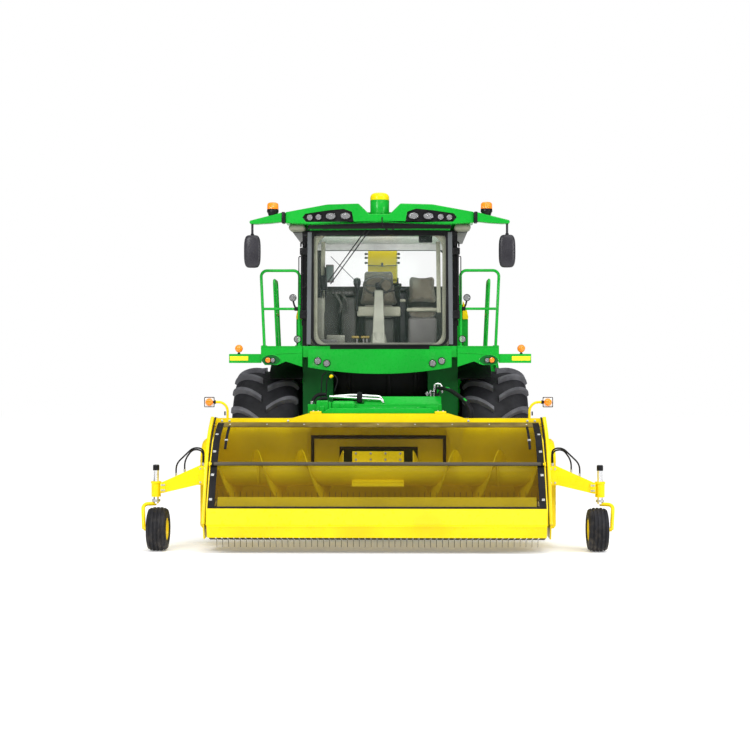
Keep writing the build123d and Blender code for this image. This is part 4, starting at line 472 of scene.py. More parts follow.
class Wiring:
    """Short calls for a material's nodes."""

    def __init__(self, name: str) -> None:
        """Starts a material with a Principled shader and Object coordinates."""
        self.material = bpy.data.materials.new(name)
        self.material.use_nodes = True
        self.nodes = self.material.node_tree.nodes
        self.links = self.material.node_tree.links
        self.shader = self.nodes["Principled BSDF"]
        self.place = self.nodes.new("ShaderNodeTexCoord").outputs["Object"]

    def constant(self, **values: float | tuple) -> None:
        """Sets the shader's own sockets, underscores standing for spaces."""
        for name, value in values.items():
            self.shader.inputs[name.replace("_", " ")].default_value = value

    def noise(self, scale: float, detail: float, stretch: tuple | None = None) -> Socket:
        """Gives a noise value between 0 and 1, at so many waves to the metre."""
        node = self.nodes.new("ShaderNodeTexNoise")
        node.inputs["Scale"].default_value = scale
        node.inputs["Detail"].default_value = detail
        place = self.place
        if stretch:
            mapping = self.nodes.new("ShaderNodeMapping")
            mapping.inputs["Scale"].default_value = stretch
            self.links.new(self.place, mapping.inputs["Vector"])
            place = mapping.outputs["Vector"]
        self.links.new(place, node.inputs["Vector"])
        return node.outputs["Fac"]

    def spread(self, value: Socket, low: float, high: float, to_low: float, to_high: float) -> Socket:
        """Maps a value from one range to another, clamped."""
        node = self.nodes.new("ShaderNodeMapRange")
        limits = {"From Min": low, "From Max": high, "To Min": to_low, "To Max": to_high}
        for name, number in limits.items():
            node.inputs[name].default_value = number
        self.links.new(value, node.inputs["Value"])
        return node.outputs["Result"]

    def patches(
        self, scale: float, detail: float, low: float, high: float, to_low: float = 0, to_high: float = 1,
    ) -> Socket:
        """Gives a noise of so many waves to the metre, mapped from one range to another."""
        return self.spread(self.noise(scale, detail), low, high, to_low, to_high)

    def math(self, operation: str, first: Socket, second: Socket | float) -> Socket:
        """Joins two values by an operation; the second may be a number."""
        node = self.nodes.new("ShaderNodeMath")
        node.operation = operation
        self.links.new(first, node.inputs[0])
        if isinstance(second, (int, float)):
            node.inputs[1].default_value = second
        else:
            self.links.new(second, node.inputs[1])
        return node.outputs[0]

    def along(self, axis: str) -> Socket:
        """Gives the place along X, Y or Z."""
        node = self.nodes.new("ShaderNodeSeparateXYZ")
        self.links.new(self.place, node.inputs[0])
        return node.outputs[axis]

    def mix(self, value: Socket, first: Socket | tuple, second: Socket | tuple) -> Socket:
        """Mixes two colours by a value; each may be a colour or a socket."""
        node = self.nodes.new("ShaderNodeMix")
        node.data_type = "RGBA"
        self.links.new(value, node.inputs["Factor"])
        for name, colour in (("A", first), ("B", second)):
            socket = next(s for s in node.inputs if s.name == name and s.type == "RGBA")
            if isinstance(colour, tuple):
                socket.default_value = (*colour, 1.0)
            else:
                self.links.new(colour, socket)
        return next(s for s in node.outputs if s.type == "RGBA")

    def bump(self, value: Socket, strength: float, depth: float, under: Socket | None = None) -> Socket:
        """Turns a value into a bumped normal of a depth in metres, over another bump."""
        node = self.nodes.new("ShaderNodeBump")
        node.inputs["Strength"].default_value = strength
        node.inputs["Distance"].default_value = depth
        self.links.new(value, node.inputs["Height"])
        if under is not None:
            self.links.new(under, node.inputs["Normal"])
        return node.outputs["Normal"]

    def use(self, socket: str, value: Socket) -> None:
        """Feeds a value to one of the shader's sockets."""
        self.links.new(value, self.shader.inputs[socket])


@dataclass(frozen=True)
class Paint:
    """Sprayed enamel over sheet metal: even colour, faint orange peel, some field dust low down."""

    name: str
    colour: tuple[float, float, float]
    roughness: float = 0.28
    coat: float = 0.5
    dust: float = 0.25

    def make(self) -> Material:
        """Builds the material.

        Returns:
            The material.
        """
        w = Wiring(self.name)
        deeper = tuple(0.78 * c for c in self.colour)
        cloudy = w.mix(w.patches(1.7, 4.0, 0.35, 0.7), self.colour, deeper)
        low_down = w.spread(w.along("Z"), 0.1, 1.3, 1.0, 0.0)
        patches = w.patches(9.0, 6.0, 0.48, 0.75, 0.0, self.dust)
        dust = tuple(0.55 * c + 0.45 * d for c, d in zip(self.colour, (0.30, 0.25, 0.17)))
        w.use("Base Color", w.mix(w.math("MULTIPLY", low_down, patches), cloudy, dust))
        rough = w.patches(26.0, 5.0, 0.3, 0.75, self.roughness - 0.06, self.roughness + 0.12)
        w.use("Roughness", rough)
        w.constant(Coat_Weight=0.25 * self.coat, Coat_Roughness=0.07, Specular_IOR_Level=0.18)
        peel = w.bump(w.noise(420.0, 2.0), 0.05, 0.0006)
        w.use("Normal", w.bump(w.noise(3.0, 1.0), 0.12, 0.002, peel))
        return w.material


@dataclass(frozen=True)
class Rubber:
    """Tyre rubber: dark, dull, paler where it has weathered, with a fine moulded grain."""

    name: str
    colour: tuple[float, float, float] = (0.030, 0.030, 0.034)
    roughness: float = 0.55

    def make(self) -> Material:
        """Builds the material.

        Returns:
            The material.
        """
        w = Wiring(self.name)
        paler = tuple(2.1 * c for c in self.colour)
        bloom = w.mix(w.patches(5.0, 6.0, 0.4, 0.75), self.colour, paler)
        low_down = w.spread(w.along("Z"), 0.0, 0.5, 0.35, 0.0)
        dusty = w.math("MULTIPLY", w.patches(14.0, 5.0, 0.45, 0.7), low_down)
        w.use("Base Color", w.mix(dusty, bloom, (0.13, 0.11, 0.085)))
        rough = w.patches(40.0, 4.0, 0.3, 0.7, self.roughness - 0.1, self.roughness + 0.15)
        w.use("Roughness", rough)
        w.constant(Specular_IOR_Level=0.14)
        grain = w.bump(w.noise(700.0, 2.0), 0.25, 0.0006)
        w.use("Normal", w.bump(w.noise(35.0, 4.0), 0.12, 0.002, grain))
        return w.material


@dataclass(frozen=True)
class Metal:
    """Bare, plated or polished metal, with fine streaks along one direction."""

    name: str
    colour: tuple[float, float, float]
    roughness: float = 0.3
    streaks: tuple[float, float, float] = (1.0, 1.0, 12.0)
    stain: float = 0.25

    def make(self) -> Material:
        """Builds the material.

        Returns:
            The material.
        """
        w = Wiring(self.name)
        stained = tuple(0.55 * c for c in self.colour)
        patches = w.patches(7.0, 6.0, 0.5, 0.8, 0.0, self.stain)
        w.use("Base Color", w.mix(patches, self.colour, stained))
        brushed = w.noise(55.0, 4.0, self.streaks)
        w.use("Roughness", w.spread(brushed, 0.3, 0.7, self.roughness - 0.08, self.roughness + 0.14))
        w.constant(Metallic=1.0)
        w.use("Normal", w.bump(brushed, 0.08, 0.0006))
        return w.material


@dataclass(frozen=True)
class Plastic:
    """Moulded plastic with a leathery grain."""

    name: str
    colour: tuple[float, float, float]
    roughness: float = 0.45
    grain: float = 0.18

    def make(self) -> Material:
        """Builds the material.

        Returns:
            The material.
        """
        w = Wiring(self.name)
        lighter = tuple(min(1.0, 1.35 * c + 0.004) for c in self.colour)
        w.use("Base Color", w.mix(w.patches(6.0, 5.0, 0.35, 0.75), self.colour, lighter))
        rough = w.patches(60.0, 3.0, 0.3, 0.7, self.roughness - 0.08, self.roughness + 0.1)
        w.use("Roughness", rough)
        w.constant(Specular_IOR_Level=0.18)
        cells = w.nodes.new("ShaderNodeTexVoronoi")
        cells.inputs["Scale"].default_value = 420.0
        w.links.new(w.place, cells.inputs["Vector"])
        w.use("Normal", w.bump(cells.outputs["Distance"], self.grain, 0.0008))
        return w.material


@dataclass(frozen=True)
class Fabric:
    """Woven seat cloth: two crossed rows of threads, fuzzy, slightly uneven in colour."""

    name: str
    colour: tuple[float, float, float]
    threads: float = 520.0

    def make(self) -> Material:
        """Builds the material.

        Returns:
            The material.
        """
        w = Wiring(self.name)
        faded = tuple(1.45 * c for c in self.colour)
        w.use("Base Color", w.mix(w.patches(18.0, 6.0, 0.35, 0.7), self.colour, faded))
        rows = []
        for axis in ("X", "Z"):
            rows.append(w.math("SINE", w.math("MULTIPLY", w.along(axis), self.threads * math.pi), 0.0))
        weave = w.math("MULTIPLY", rows[0], rows[1])
        w.constant(Roughness=0.92, Sheen_Weight=0.35, Sheen_Roughness=0.5)
        soft = w.bump(w.noise(60.0, 3.0), 0.2, 0.002)
        w.use("Normal", w.bump(weave, 0.35, 0.0008, soft))
        return w.material


@dataclass(frozen=True)
class Glazing:
    """A see-through pane, lens or screen, with faint smears in its gloss."""

    name: str
    colour: tuple[float, float, float]
    alpha: float = 0.15
    roughness: float = 0.03
    rows: float = 0.0
    ridges: float = 0.0
    glow: float = 0.0

    def make(self) -> Material:
        """Builds the material. rows are the wires of a screen to the metre, across X.

        Returns:
            The material.
        """
        w = Wiring(self.name)
        smear = w.noise(4.0, 6.0)
        deeper = tuple(0.8 * c for c in self.colour)
        w.use("Base Color", w.mix(w.spread(smear, 0.35, 0.7, 0, 1), self.colour, deeper))
        w.use("Roughness", w.spread(smear, 0.4, 0.75, self.roughness, self.roughness + 0.05))
        if self.rows:
            wires = w.math("SINE", w.math("MULTIPLY", w.along("X"), self.rows * 2 * math.pi), 0.0)
            cross = w.math("SINE", w.math("MULTIPLY", w.along("Z"), self.rows * 2 * math.pi), 0.0)
            grid = w.math("MAXIMUM", wires, cross)
            w.use("Alpha", w.spread(grid, -0.6, 1.0, self.alpha - 0.06, self.alpha + 0.12))
            w.use("Normal", w.bump(grid, 0.3, 0.001))
        else:
            w.constant(Alpha=self.alpha)
        if self.ridges:
            ribs = w.math("SINE", w.math("MULTIPLY", w.along("X"), self.ridges * 2 * math.pi), 0.0)
            w.use("Normal", w.bump(ribs, 0.35, 0.002))
        w.constant(IOR=1.5, Specular_IOR_Level=0.1 if self.rows else 0.6)
        if self.glow:
            w.constant(Emission_Color=(*self.colour, 1.0), Emission_Strength=self.glow)
        return w.material


class Slot(Enum):
    """The material slots."""

    GREEN = "green_paint"
    YELLOW = "yellow_paint"
    BLACK = "black_paint"
    GREY = "dark_grey_paint"
    STEEL = "worn_steel"
    ZINC = "galvanised"
    CHROME = "chrome"
    PLASTIC = "black_plastic"
    TRIM = "grey_plastic"
    CLOTH = "seat_fabric"
    GLASS = "glass"
    LENS = "lamp_lens"
    AMBER = "amber_lens"
    SCREEN = "screen_mesh"
    TYRE = "tyre"


class Finish(Enum):
    """The finishes of the machine: how each looks, and the slot that it belongs to."""

    def __init__(self, look: "Paint | Rubber | Metal | Plastic | Fabric | Glazing", slot: Slot) -> None:
        """Keeps the look and the slot."""
        self.look = look
        self.slot = slot

    GREEN = Paint("green_enamel", (0.006, 0.40, 0.030)), Slot.GREEN
    # A darker copy of the green enamel: painted shade on the neck, the cab supports and the lamp outlines
    # and pods, which lie in shadow.
    SHADED_GREEN = Paint("inner_green_enamel", (0.003, 0.13, 0.020), 0.4, 0.2, 0.3), Slot.GREEN
    YELLOW = Paint("yellow_enamel", (0.93, 0.70, 0.001), 0.3, 0.3, 0.06), Slot.YELLOW
    BLACK = Paint("black_enamel", (0.007, 0.007, 0.008), 0.35, 0.3, 0.1), Slot.BLACK
    GREY = Paint("chassis_grey", (0.045, 0.048, 0.05), 0.45, 0.15, 0.6), Slot.GREY
    BEIGE = Plastic("cab_liner", (0.235, 0.235, 0.180), 0.6), Slot.TRIM
    CONSOLE = Plastic("console_grey", (0.040, 0.040, 0.036), 0.5), Slot.TRIM
    MID_GREY = Plastic("mid_grey_plastic", (0.10, 0.096, 0.092), 0.4), Slot.TRIM
    PALE_TRIM = Plastic("pale_trim", (0.135, 0.138, 0.112), 0.45), Slot.TRIM
    # Near black for the galvanised stripper bands: painted shade under the header.
    SHADED_BAND = Paint("stripper_grey", (0.022, 0.018, 0.011), 0.45, 0.1, 0.1), Slot.GREY
    # A paler copy of the tyre rubber for the cleats: partly weathering, partly painted highlight on the lug
    # faces, so the grooves between them read as shade.
    LUG_WEAR_AND_SHEEN = Rubber("lug_rubber", (0.070, 0.070, 0.078), 0.5), Slot.TYRE
    BLACK_PLASTIC = Plastic("black_plastic", (0.007, 0.007, 0.008), 0.35), Slot.PLASTIC
    TYRE = Rubber("tyre_rubber", (0.012, 0.012, 0.014)), Slot.TYRE
    SEAL = Rubber("seal_rubber", (0.007, 0.007, 0.008), 0.6), Slot.PLASTIC
    STEEL = Metal("worn_steel", (0.52, 0.52, 0.50), 0.36), Slot.STEEL
    ZINC = Metal("zinc_plate", (0.62, 0.63, 0.62), 0.42, (3.0, 3.0, 3.0), 0.4), Slot.ZINC
    ALLOY = Paint("pillar_silver", (0.13, 0.14, 0.15), 0.3, 0.3, 0.0), Slot.GREY
    BAR = Paint("roller_grey", (0.075, 0.066, 0.048), 0.35, 0.2, 0.1), Slot.GREY
    SATIN_BLACK = Plastic("mirror_black", (0.030, 0.029, 0.034), 0.24, 0.05), Slot.PLASTIC
    WHITE = Plastic("marker_white", (0.72, 0.72, 0.70), 0.3, 0.05), Slot.TRIM
    FLAP = Rubber("brown_flap", (0.115, 0.085, 0.022), 0.6), Slot.PLASTIC
    CHROME = Metal("bright_chrome", (0.86, 0.86, 0.87), 0.1, (1.0, 1.0, 1.0), 0.1), Slot.CHROME
    CLOTH = Fabric("seat_cloth", (0.105, 0.092, 0.068)), Slot.CLOTH
    GLASS = Glazing("tinted_glass", (0.30, 0.42, 0.36), 0.025), Slot.GLASS
    SIDE_GLASS = Glazing("side_glass", (0.30, 0.42, 0.37), 0.10), Slot.GLASS
    LENS = Glazing("clear_lens", (0.92, 0.93, 0.95), 0.22, 0.02, ridges=90.0, glow=0.15), Slot.LENS
    AMBER = Glazing("amber_lens", (0.95, 0.26, 0.012), 0.93, 0.12, ridges=110.0, glow=0.25), Slot.AMBER
    RED = Glazing("red_lens", (0.70, 0.012, 0.01), 0.95, 0.12, ridges=110.0, glow=0.1), Slot.AMBER
    # The shield is one screen. Its darker copy above the bar and lighter copy below it are painted shade
    # and painted light.
    SCREEN_DARK = Glazing("upper_screen", (0.030, 0.018, 0.001), 0.125, 0.5, rows=95.0), Slot.SCREEN
    SCREEN_LIGHT = Glazing("lower_screen", (0.10, 0.062, 0.001), 0.23, 0.5, rows=95.0), Slot.SCREEN
    SCREEN_FACE = Glazing("monitor_face", (0.10, 0.13, 0.12), 1.0, 0.12), Slot.GLASS
    REFLECTOR = Paint("reflector_yellow", (0.95, 0.85, 0.03), 0.2, 0.8, 0.0), Slot.YELLOW


def within(work: bmesh.types.BMesh, low: tuple, high: tuple) -> list:
    """Gives the faces whose middle lies between two corners, X taken without its sign."""
    chosen = []
    for face in work.faces:
        x, y, z = face.calc_center_median()
        middle = (abs(x), y - AXLE_Y, z)
        if all(a <= m <= b for a, m, b in zip(low, middle, high)):
            chosen.append(face)
    return chosen


class Workshop:
    """Makes finished pieces: a surface, its finish, its edges, and the body it rides on."""

    # Angles between faces: edges shaded as sharp, edges made round, and faces that count as one.
    SHARP = math.radians(38)
    ROUNDED = math.radians(35)
    FLAT = math.radians(1)

    def __init__(self) -> None:
        """Starts with no material made."""
        self.made: dict[Finish, Material] = {}
        self.count = 0

    def material(self, finish: Finish) -> Material:
        """Gives the material of a finish, made at its first use."""
        if finish not in self.made:
            self.made[finish] = finish.look.make()
        return self.made[finish]

    def piece(
        self,
        name: str,
        surface: Surface,
        finish: Finish,
        body: str,
        replaces: tuple[str, ...] = (),
        bevel: float = 0.0,
    ) -> Object:
        """Makes one piece in place.

        Args:
            name: the piece's name.
            surface: its mesh in the row frame.
            finish: its finish.
            body: the body that it rides on.
            replaces: nodes that it stands for.
            bevel: width of the rounded edges, 0 for none.

        Returns:
            The object.
        """
        mesh = bpy.data.meshes.new(name)
        starts = np.concatenate([[0], np.cumsum(surface.sizes)[:-1]])
        mesh.vertices.add(len(surface.points))
        mesh.vertices.foreach_set("co", surface.points.astype(np.float32).ravel())
        mesh.loops.add(len(surface.corners))
        mesh.loops.foreach_set("vertex_index", surface.corners.astype(np.int32))
        mesh.polygons.add(len(surface.sizes))
        mesh.polygons.foreach_set("loop_start", starts.astype(np.int32))
        mesh.update(calc_edges=True)
        self.tidy(mesh)
        return self.dress(name, mesh, finish, body, replaces, bevel)

    def tidy(self, mesh: bpy.types.Mesh) -> None:
        """Merges doubled points, turns faces outwards and marks the sharp edges."""
        work = bmesh.new()
        work.from_mesh(mesh)
        bmesh.ops.remove_doubles(work, verts=work.verts, dist=1e-5)
        bmesh.ops.recalc_face_normals(work, faces=work.faces)
        work.to_mesh(mesh)
        work.free()
        mesh.shade_smooth()
        mesh.set_sharp_from_angle(angle=self.SHARP)

    def dress(
        self, name: str, mesh: bpy.types.Mesh, finish: Finish, body: str, replaces: tuple[str, ...],
        bevel: float,
    ) -> Object:
        """Links a mesh as an object with its modifiers, finish and body."""
        obj = bpy.data.objects.new(name, mesh)
        bpy.context.scene.collection.objects.link(obj)
        mesh.materials.append(self.material(finish))
        if bevel:
            edge = obj.modifiers.new("edges", "BEVEL")
            edge.width, edge.segments, edge.limit_method = bevel, 2, "ANGLE"
            edge.angle_limit, edge.harden_normals = self.ROUNDED, True
        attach(obj, body)
        if replaces:
            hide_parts(*replaces)
        self.count += 1
        return obj

    def pieces(self, body: str, *rows: tuple) -> None:
        """Makes pieces on one body; each row is name, surface, finish, bevel and nodes replaced."""
        for name, surface, finish, *more in rows:
            bevel = more[0] if more else 0.0
            nodes = more[1] if len(more) > 1 else ()
            self.piece(name, surface, finish, body, nodes, bevel)

    def softened(self, node: str, finish: Finish, bevel: float = 0.004, regions: tuple = ()) -> Object:
        """Stands a copy of a node with rounded edges in its place.

        Args:
            node: the node to copy.
            finish: finish of the copy.
            bevel: width of its edges.
            regions: rows of a finish, a lowest and a highest corner (X without its sign,
                distance behind the axle, Z). Faces with their middle in between take that
                finish, or are left out where it is None.

        Returns:
            The object.
        """
        source = frame["nodes"][node]
        mesh = source.data.copy()
        work = bmesh.new()
        work.from_mesh(mesh)
        bmesh.ops.remove_doubles(work, verts=work.verts, dist=2e-5)
        bmesh.ops.dissolve_limit(
            work, angle_limit=self.FLAT, verts=work.verts, edges=work.edges, delimit={"NORMAL"},
        )
        kinds = {
            face: number
            for number, (_, low, high) in enumerate(regions, 1) for face in within(work, low, high)
        }
        dropped = [face for face, number in kinds.items() if regions[number - 1][0] is None]
        for face in work.faces:
            face.material_index = kinds.get(face, 0)
        bmesh.ops.delete(work, geom=dropped, context="FACES")
        mesh.materials.clear()
        work.to_mesh(mesh)
        work.free()
        mesh.shade_smooth()
        mesh.set_sharp_from_angle(angle=self.SHARP)
        obj = self.dress(f"{node}_skin", mesh, finish, source["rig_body"], (node,), bevel)
        for other, _, _ in regions:
            mesh.materials.append(self.material(other or finish))
        return obj


shop = Workshop()


# Wheels


@dataclass
class LuggedTyre:
    """A drive or steering wheel: cleated tyre and dished rim, about its spin joint."""

    end: str
    radius: float
    width: float
    bore: float
    lugs: int
    lug_height: float
    disc_out: float
    studs: int
    flank_power: float = 2.9
    flank_share: float = 0.985
    bead_share: float = 0.80
    lug_steps: int = 12
    # Casing angles in degrees at a lug's inner and outer end.
    lug_reach: tuple = (88.5, 22.0)
    # How far a lug's outer end lags, in half widths, and half its top's width to the wheel's radius.
    lug_lag: float = 0.60
    lug_top: float = 0.026 / 0.975
    # How far the lugs stay inside the wheel's radius.
    clearance: float = 0.0035

    @property
    def half(self) -> float:
        """Half the width over the lugs."""
        return self.width / 2

    @property
    def tread(self) -> float:
        """Radius of the casing between the lugs."""
        return self.radius - self.lug_height

    @property
    def waist(self) -> float:
        """Radius at which the casing is widest."""
        return (self.tread + self.bore) / 2 + 0.02

    def carcass(self, turn: Array) -> tuple[Array, Array]:
        """Gives the casing's X and radius at angles from 0 at the flank to 90 at the crown.

        A superellipse: x = h cos^(2/n), r = m + (T - m) sin^(2/n).
        """
        power = 2 / self.flank_power
        rise = (self.tread - self.waist) * np.sin(turn) ** power
        return self.flank_share * self.half * np.cos(turn) ** power, self.waist + rise

    def casing(self) -> Surface:
        """Turns the casing's section round the axle.

        The section is the superellipse above the waist, a bulge below it that narrows to
        the bead, and a straight back across the bore. Raised rings run round the flanks.

        Returns:
            The closed casing about the X axis at the origin.
        """
        turn = np.linspace(0, math.pi / 2, 13)
        x, r = self.carcass(turn)
        down = np.linspace(1, 0, 12, endpoint=False)
        bead = self.bead_share * self.half
        low_r = self.bore + (self.waist - self.bore) * down
        low_x = bead + (self.flank_share * self.half - bead) * np.sin(down * math.pi / 2) ** 0.7
        rings = 0.004 * (np.cos(down * 6 * math.pi) > 0.3)
        flank_x = np.concatenate([(low_x + rings)[::-1], x])
        flank_r = np.concatenate([low_r[::-1], r])
        section_x = np.concatenate([flank_x, -flank_x[::-1]])
        section_r = np.concatenate([flank_r, flank_r[::-1]])
        return wheel_ring(np.stack([section_x, section_r], -1), 96)

    def cleats(self) -> Surface:
        """Carries a lug's section from the crown over the shoulder, for all lugs at once.

        Along a lug the casing angle falls from 88.5 to 22 degrees and the lug lags by
        0.6 (1 - (1 - s)^1.5) half widths, s being its share of the width. The section
        rises from the casing along its normal and is a trapezium with chamfered edges.

        Returns:
            All lugs about the X axis at the origin, front at -Y.
        """
        turn = np.radians(np.linspace(*self.lug_reach, self.lug_steps))
        x, r = self.carcass(turn)
        tangent_x, tangent_r = np.gradient(x), np.gradient(r)
        length = np.hypot(tangent_x, tangent_r)
        normal_x, normal_r = -tangent_r / length, tangent_x / length
        share = np.clip(x / self.half, 0, 1)
        lag = self.lug_lag * (1 - (1 - share) ** 1.5) * self.half / self.tread
        way = np.linspace(0, 1, self.lug_steps)
        height = self.lug_height * (1 - 0.45 * way**4)
        top = self.lug_top * self.radius * (1 + 0.25 * way)
        foot = top + 0.013
        # Columns: side, share of the height; the width runs from foot to top.
        section = [(-1, -0.25), (-1, 0.86), (-0.86, 1.0), (0.86, 1.0), (1, 0.86), (1, -0.25)]
        side = np.array([s for s, _ in section])
        rise = np.array([h for _, h in section])
        spread = np.where(rise[None] < 0, foot[:, None], top[:, None]) * side[None]
        lift = height[:, None] * rise[None]
        px = x[:, None] + normal_x[:, None] * lift
        pr = r[:, None] + normal_r[:, None] * lift
        pr = np.minimum(pr, self.radius - self.clearance)
        px = np.minimum(px, self.half)
        turns = np.arange(self.lugs) * 2 * math.pi / self.lugs
        halves = []
        for hand, offset in ((1, 0.0), (-1, math.pi / self.lugs)):
            angle = turns[:, None, None] + offset + lag[None, :, None] + (spread / pr)[None]
            grid = np.stack(np.broadcast_arrays(hand * px, -pr * np.cos(angle), pr * np.sin(angle)), -1)
            halves += [grid_surface(lug, wrap_v=True, caps=True) for lug in grid]
        return join(*halves)

    def rim(self) -> tuple[Surface, Surface]:
        """Turns the rim's section round the axle and sets its studs on the disc.

        Returns:
            The rim and its bright parts, outside at +X.
        """
        b, h, d = self.bore, self.bead_share * self.half, self.disc_out
        section = [
            (-h, b - 0.004), (-h - 0.010, b + 0.012), (-h - 0.014, b + 0.004), (-h, b - 0.022),
            (-0.6 * h, b - 0.03), (-0.4 * h, b - 0.065), (d - 0.015, b - 0.075), (d - 0.015, 0.02),
            (d + 0.015, 0.02), (d + 0.015, 0.50 * b), (d + 0.045, 0.56 * b), (d + 0.05, 0.66 * b),
            (d + 0.02, 0.76 * b), (d + 0.03, b - 0.09), (d + 0.08, b - 0.062), (0.82 * h, b - 0.045),
            (h, b - 0.022), (h + 0.014, b + 0.004), (h + 0.010, b + 0.012), (h, b - 0.004),
        ]
        dish = wheel_ring(section, 72)
        hub_r = 0.30 * b
        hub = lathe(
            [
                (d + 0.01, hub_r), (d + 0.05, hub_r), (d + 0.058, hub_r - 0.008), (d + 0.058, 0.6 * hub_r),
                (d + 0.09, 0.55 * hub_r), (d + 0.096, 0.45 * hub_r), (d + 0.096, 0.0),
            ],
            ORIGIN, X_WAY, 48,
        )
        places = bolt_circle(self.studs, d + 0.014, 0.42 * b)
        valve = rod((d + 0.04, 0.80 * b, 0), (d + 0.085, 0.80 * b, 0), 0.007, 10)
        return join(dish, hub), join(bolts(places, X_WAY, 0.016, 0.018), valve)

    def build(self) -> None:
        """Makes both wheels of this end."""
        casing, cleats, (rim, bright) = self.casing(), self.cleats(), self.rim()
        for side in SIDES:
            word = SIDE_WORD[side]
            x, y, z = joint_point(f"{self.end}_wheel_spin_{word}")
            body = f"{self.end}_wheel_{word}"
            parts = [
                (f"{self.end}_casing_{word}", casing, Finish.TYRE, (f"{self.end}_tyre_{word}",)),
                # cleats paler than the casing: weathering and painted highlight
                (f"{self.end}_cleats_{word}", cleats, Finish.LUG_WEAR_AND_SHEEN, ()),
                (f"{self.end}_rim_{word}_dished", rim, Finish.YELLOW, (f"{self.end}_rim_{word}",)),
                (f"{self.end}_studs_{word}", bright, Finish.STEEL, ()),
            ]
            for name, surface, finish, nodes in parts:
                shop.piece(name, handed(surface, side).moved(x, y, z), finish, body, nodes)
        log.info("%s wheels: %d lugs a tyre", self.end, 2 * self.lugs)


@dataclass
class GaugeWheels:
    """The pickup's two caster wheels: tyres, rims and nuts."""

    radius: float = 0.2275
    width: float = 0.210
    rim_r: float = 0.118

    def tyre(self) -> Surface:
        """Turns a ribbed section round the axle: four grooves cut the round tread."""
        across = np.linspace(-1, 1, 41)
        crown = self.radius - 0.022 * np.abs(across) ** 3.5
        groove = 0.009 * (np.cos(across * 5 * math.pi) < -0.45) * (np.abs(across) < 0.85)
        flank = np.linspace(0, 1, 9)
        side_x = 0.92 + 0.08 * np.sin(flank * math.pi)
        side_r = crown[-1] + (self.rim_r - crown[-1]) * flank
        x = np.concatenate([-(side_x[::-1]), across * 0.92, side_x]) * self.width / 2
        r = np.concatenate([side_r[::-1], crown - groove, side_r])
        return wheel_ring(np.stack([x, r], -1), 64)

    def rim(self) -> Surface:
        """Turns the dished rim, its outside at +X."""
        h, r = self.width / 2, self.rim_r
        section = [
            (-0.7 * h, 0.022), (-0.7 * h, 0.05), (-0.1 * h, 0.055), (-0.1 * h, 0.09),
            (-0.86 * h, r - 0.006), (-0.9 * h, r + 0.006), (-0.84 * h, r + 0.008), (0.84 * h, r + 0.008),
            (0.9 * h, r + 0.006), (0.86 * h, r - 0.006), (0.35 * h, 0.095), (0.3 * h, 0.075),
            (0.42 * h, 0.055), (0.42 * h, 0.03), (0.62 * h, 0.028), (0.62 * h, 0.022),
        ]
        return wheel_ring(section, 48)

    def build(self) -> None:
        """Makes both wheels."""
        nuts = bolts(bolt_circle(5, 0.4 * self.width / 2, 0.066), X_WAY, 0.009, 0.01)
        for side in SIDES:
            word = SIDE_WORD[side]
            centre = joint_point(f"gauge_wheel_spin_{word}")
            body = f"gauge_wheel_{word}"
            for name, surface, finish, nodes in (
                (f"gauge_tyre_{word}", self.tyre(), Finish.TYRE, (body,)),
                (f"gauge_rim_{word}", self.rim(), Finish.YELLOW, ()),
                (f"gauge_nuts_{word}", nuts, Finish.STEEL, ()),
            ):
                shop.piece(name, handed(surface, side).moved(*centre), finish, body, nodes)
        log.info("gauge wheels")


# Header


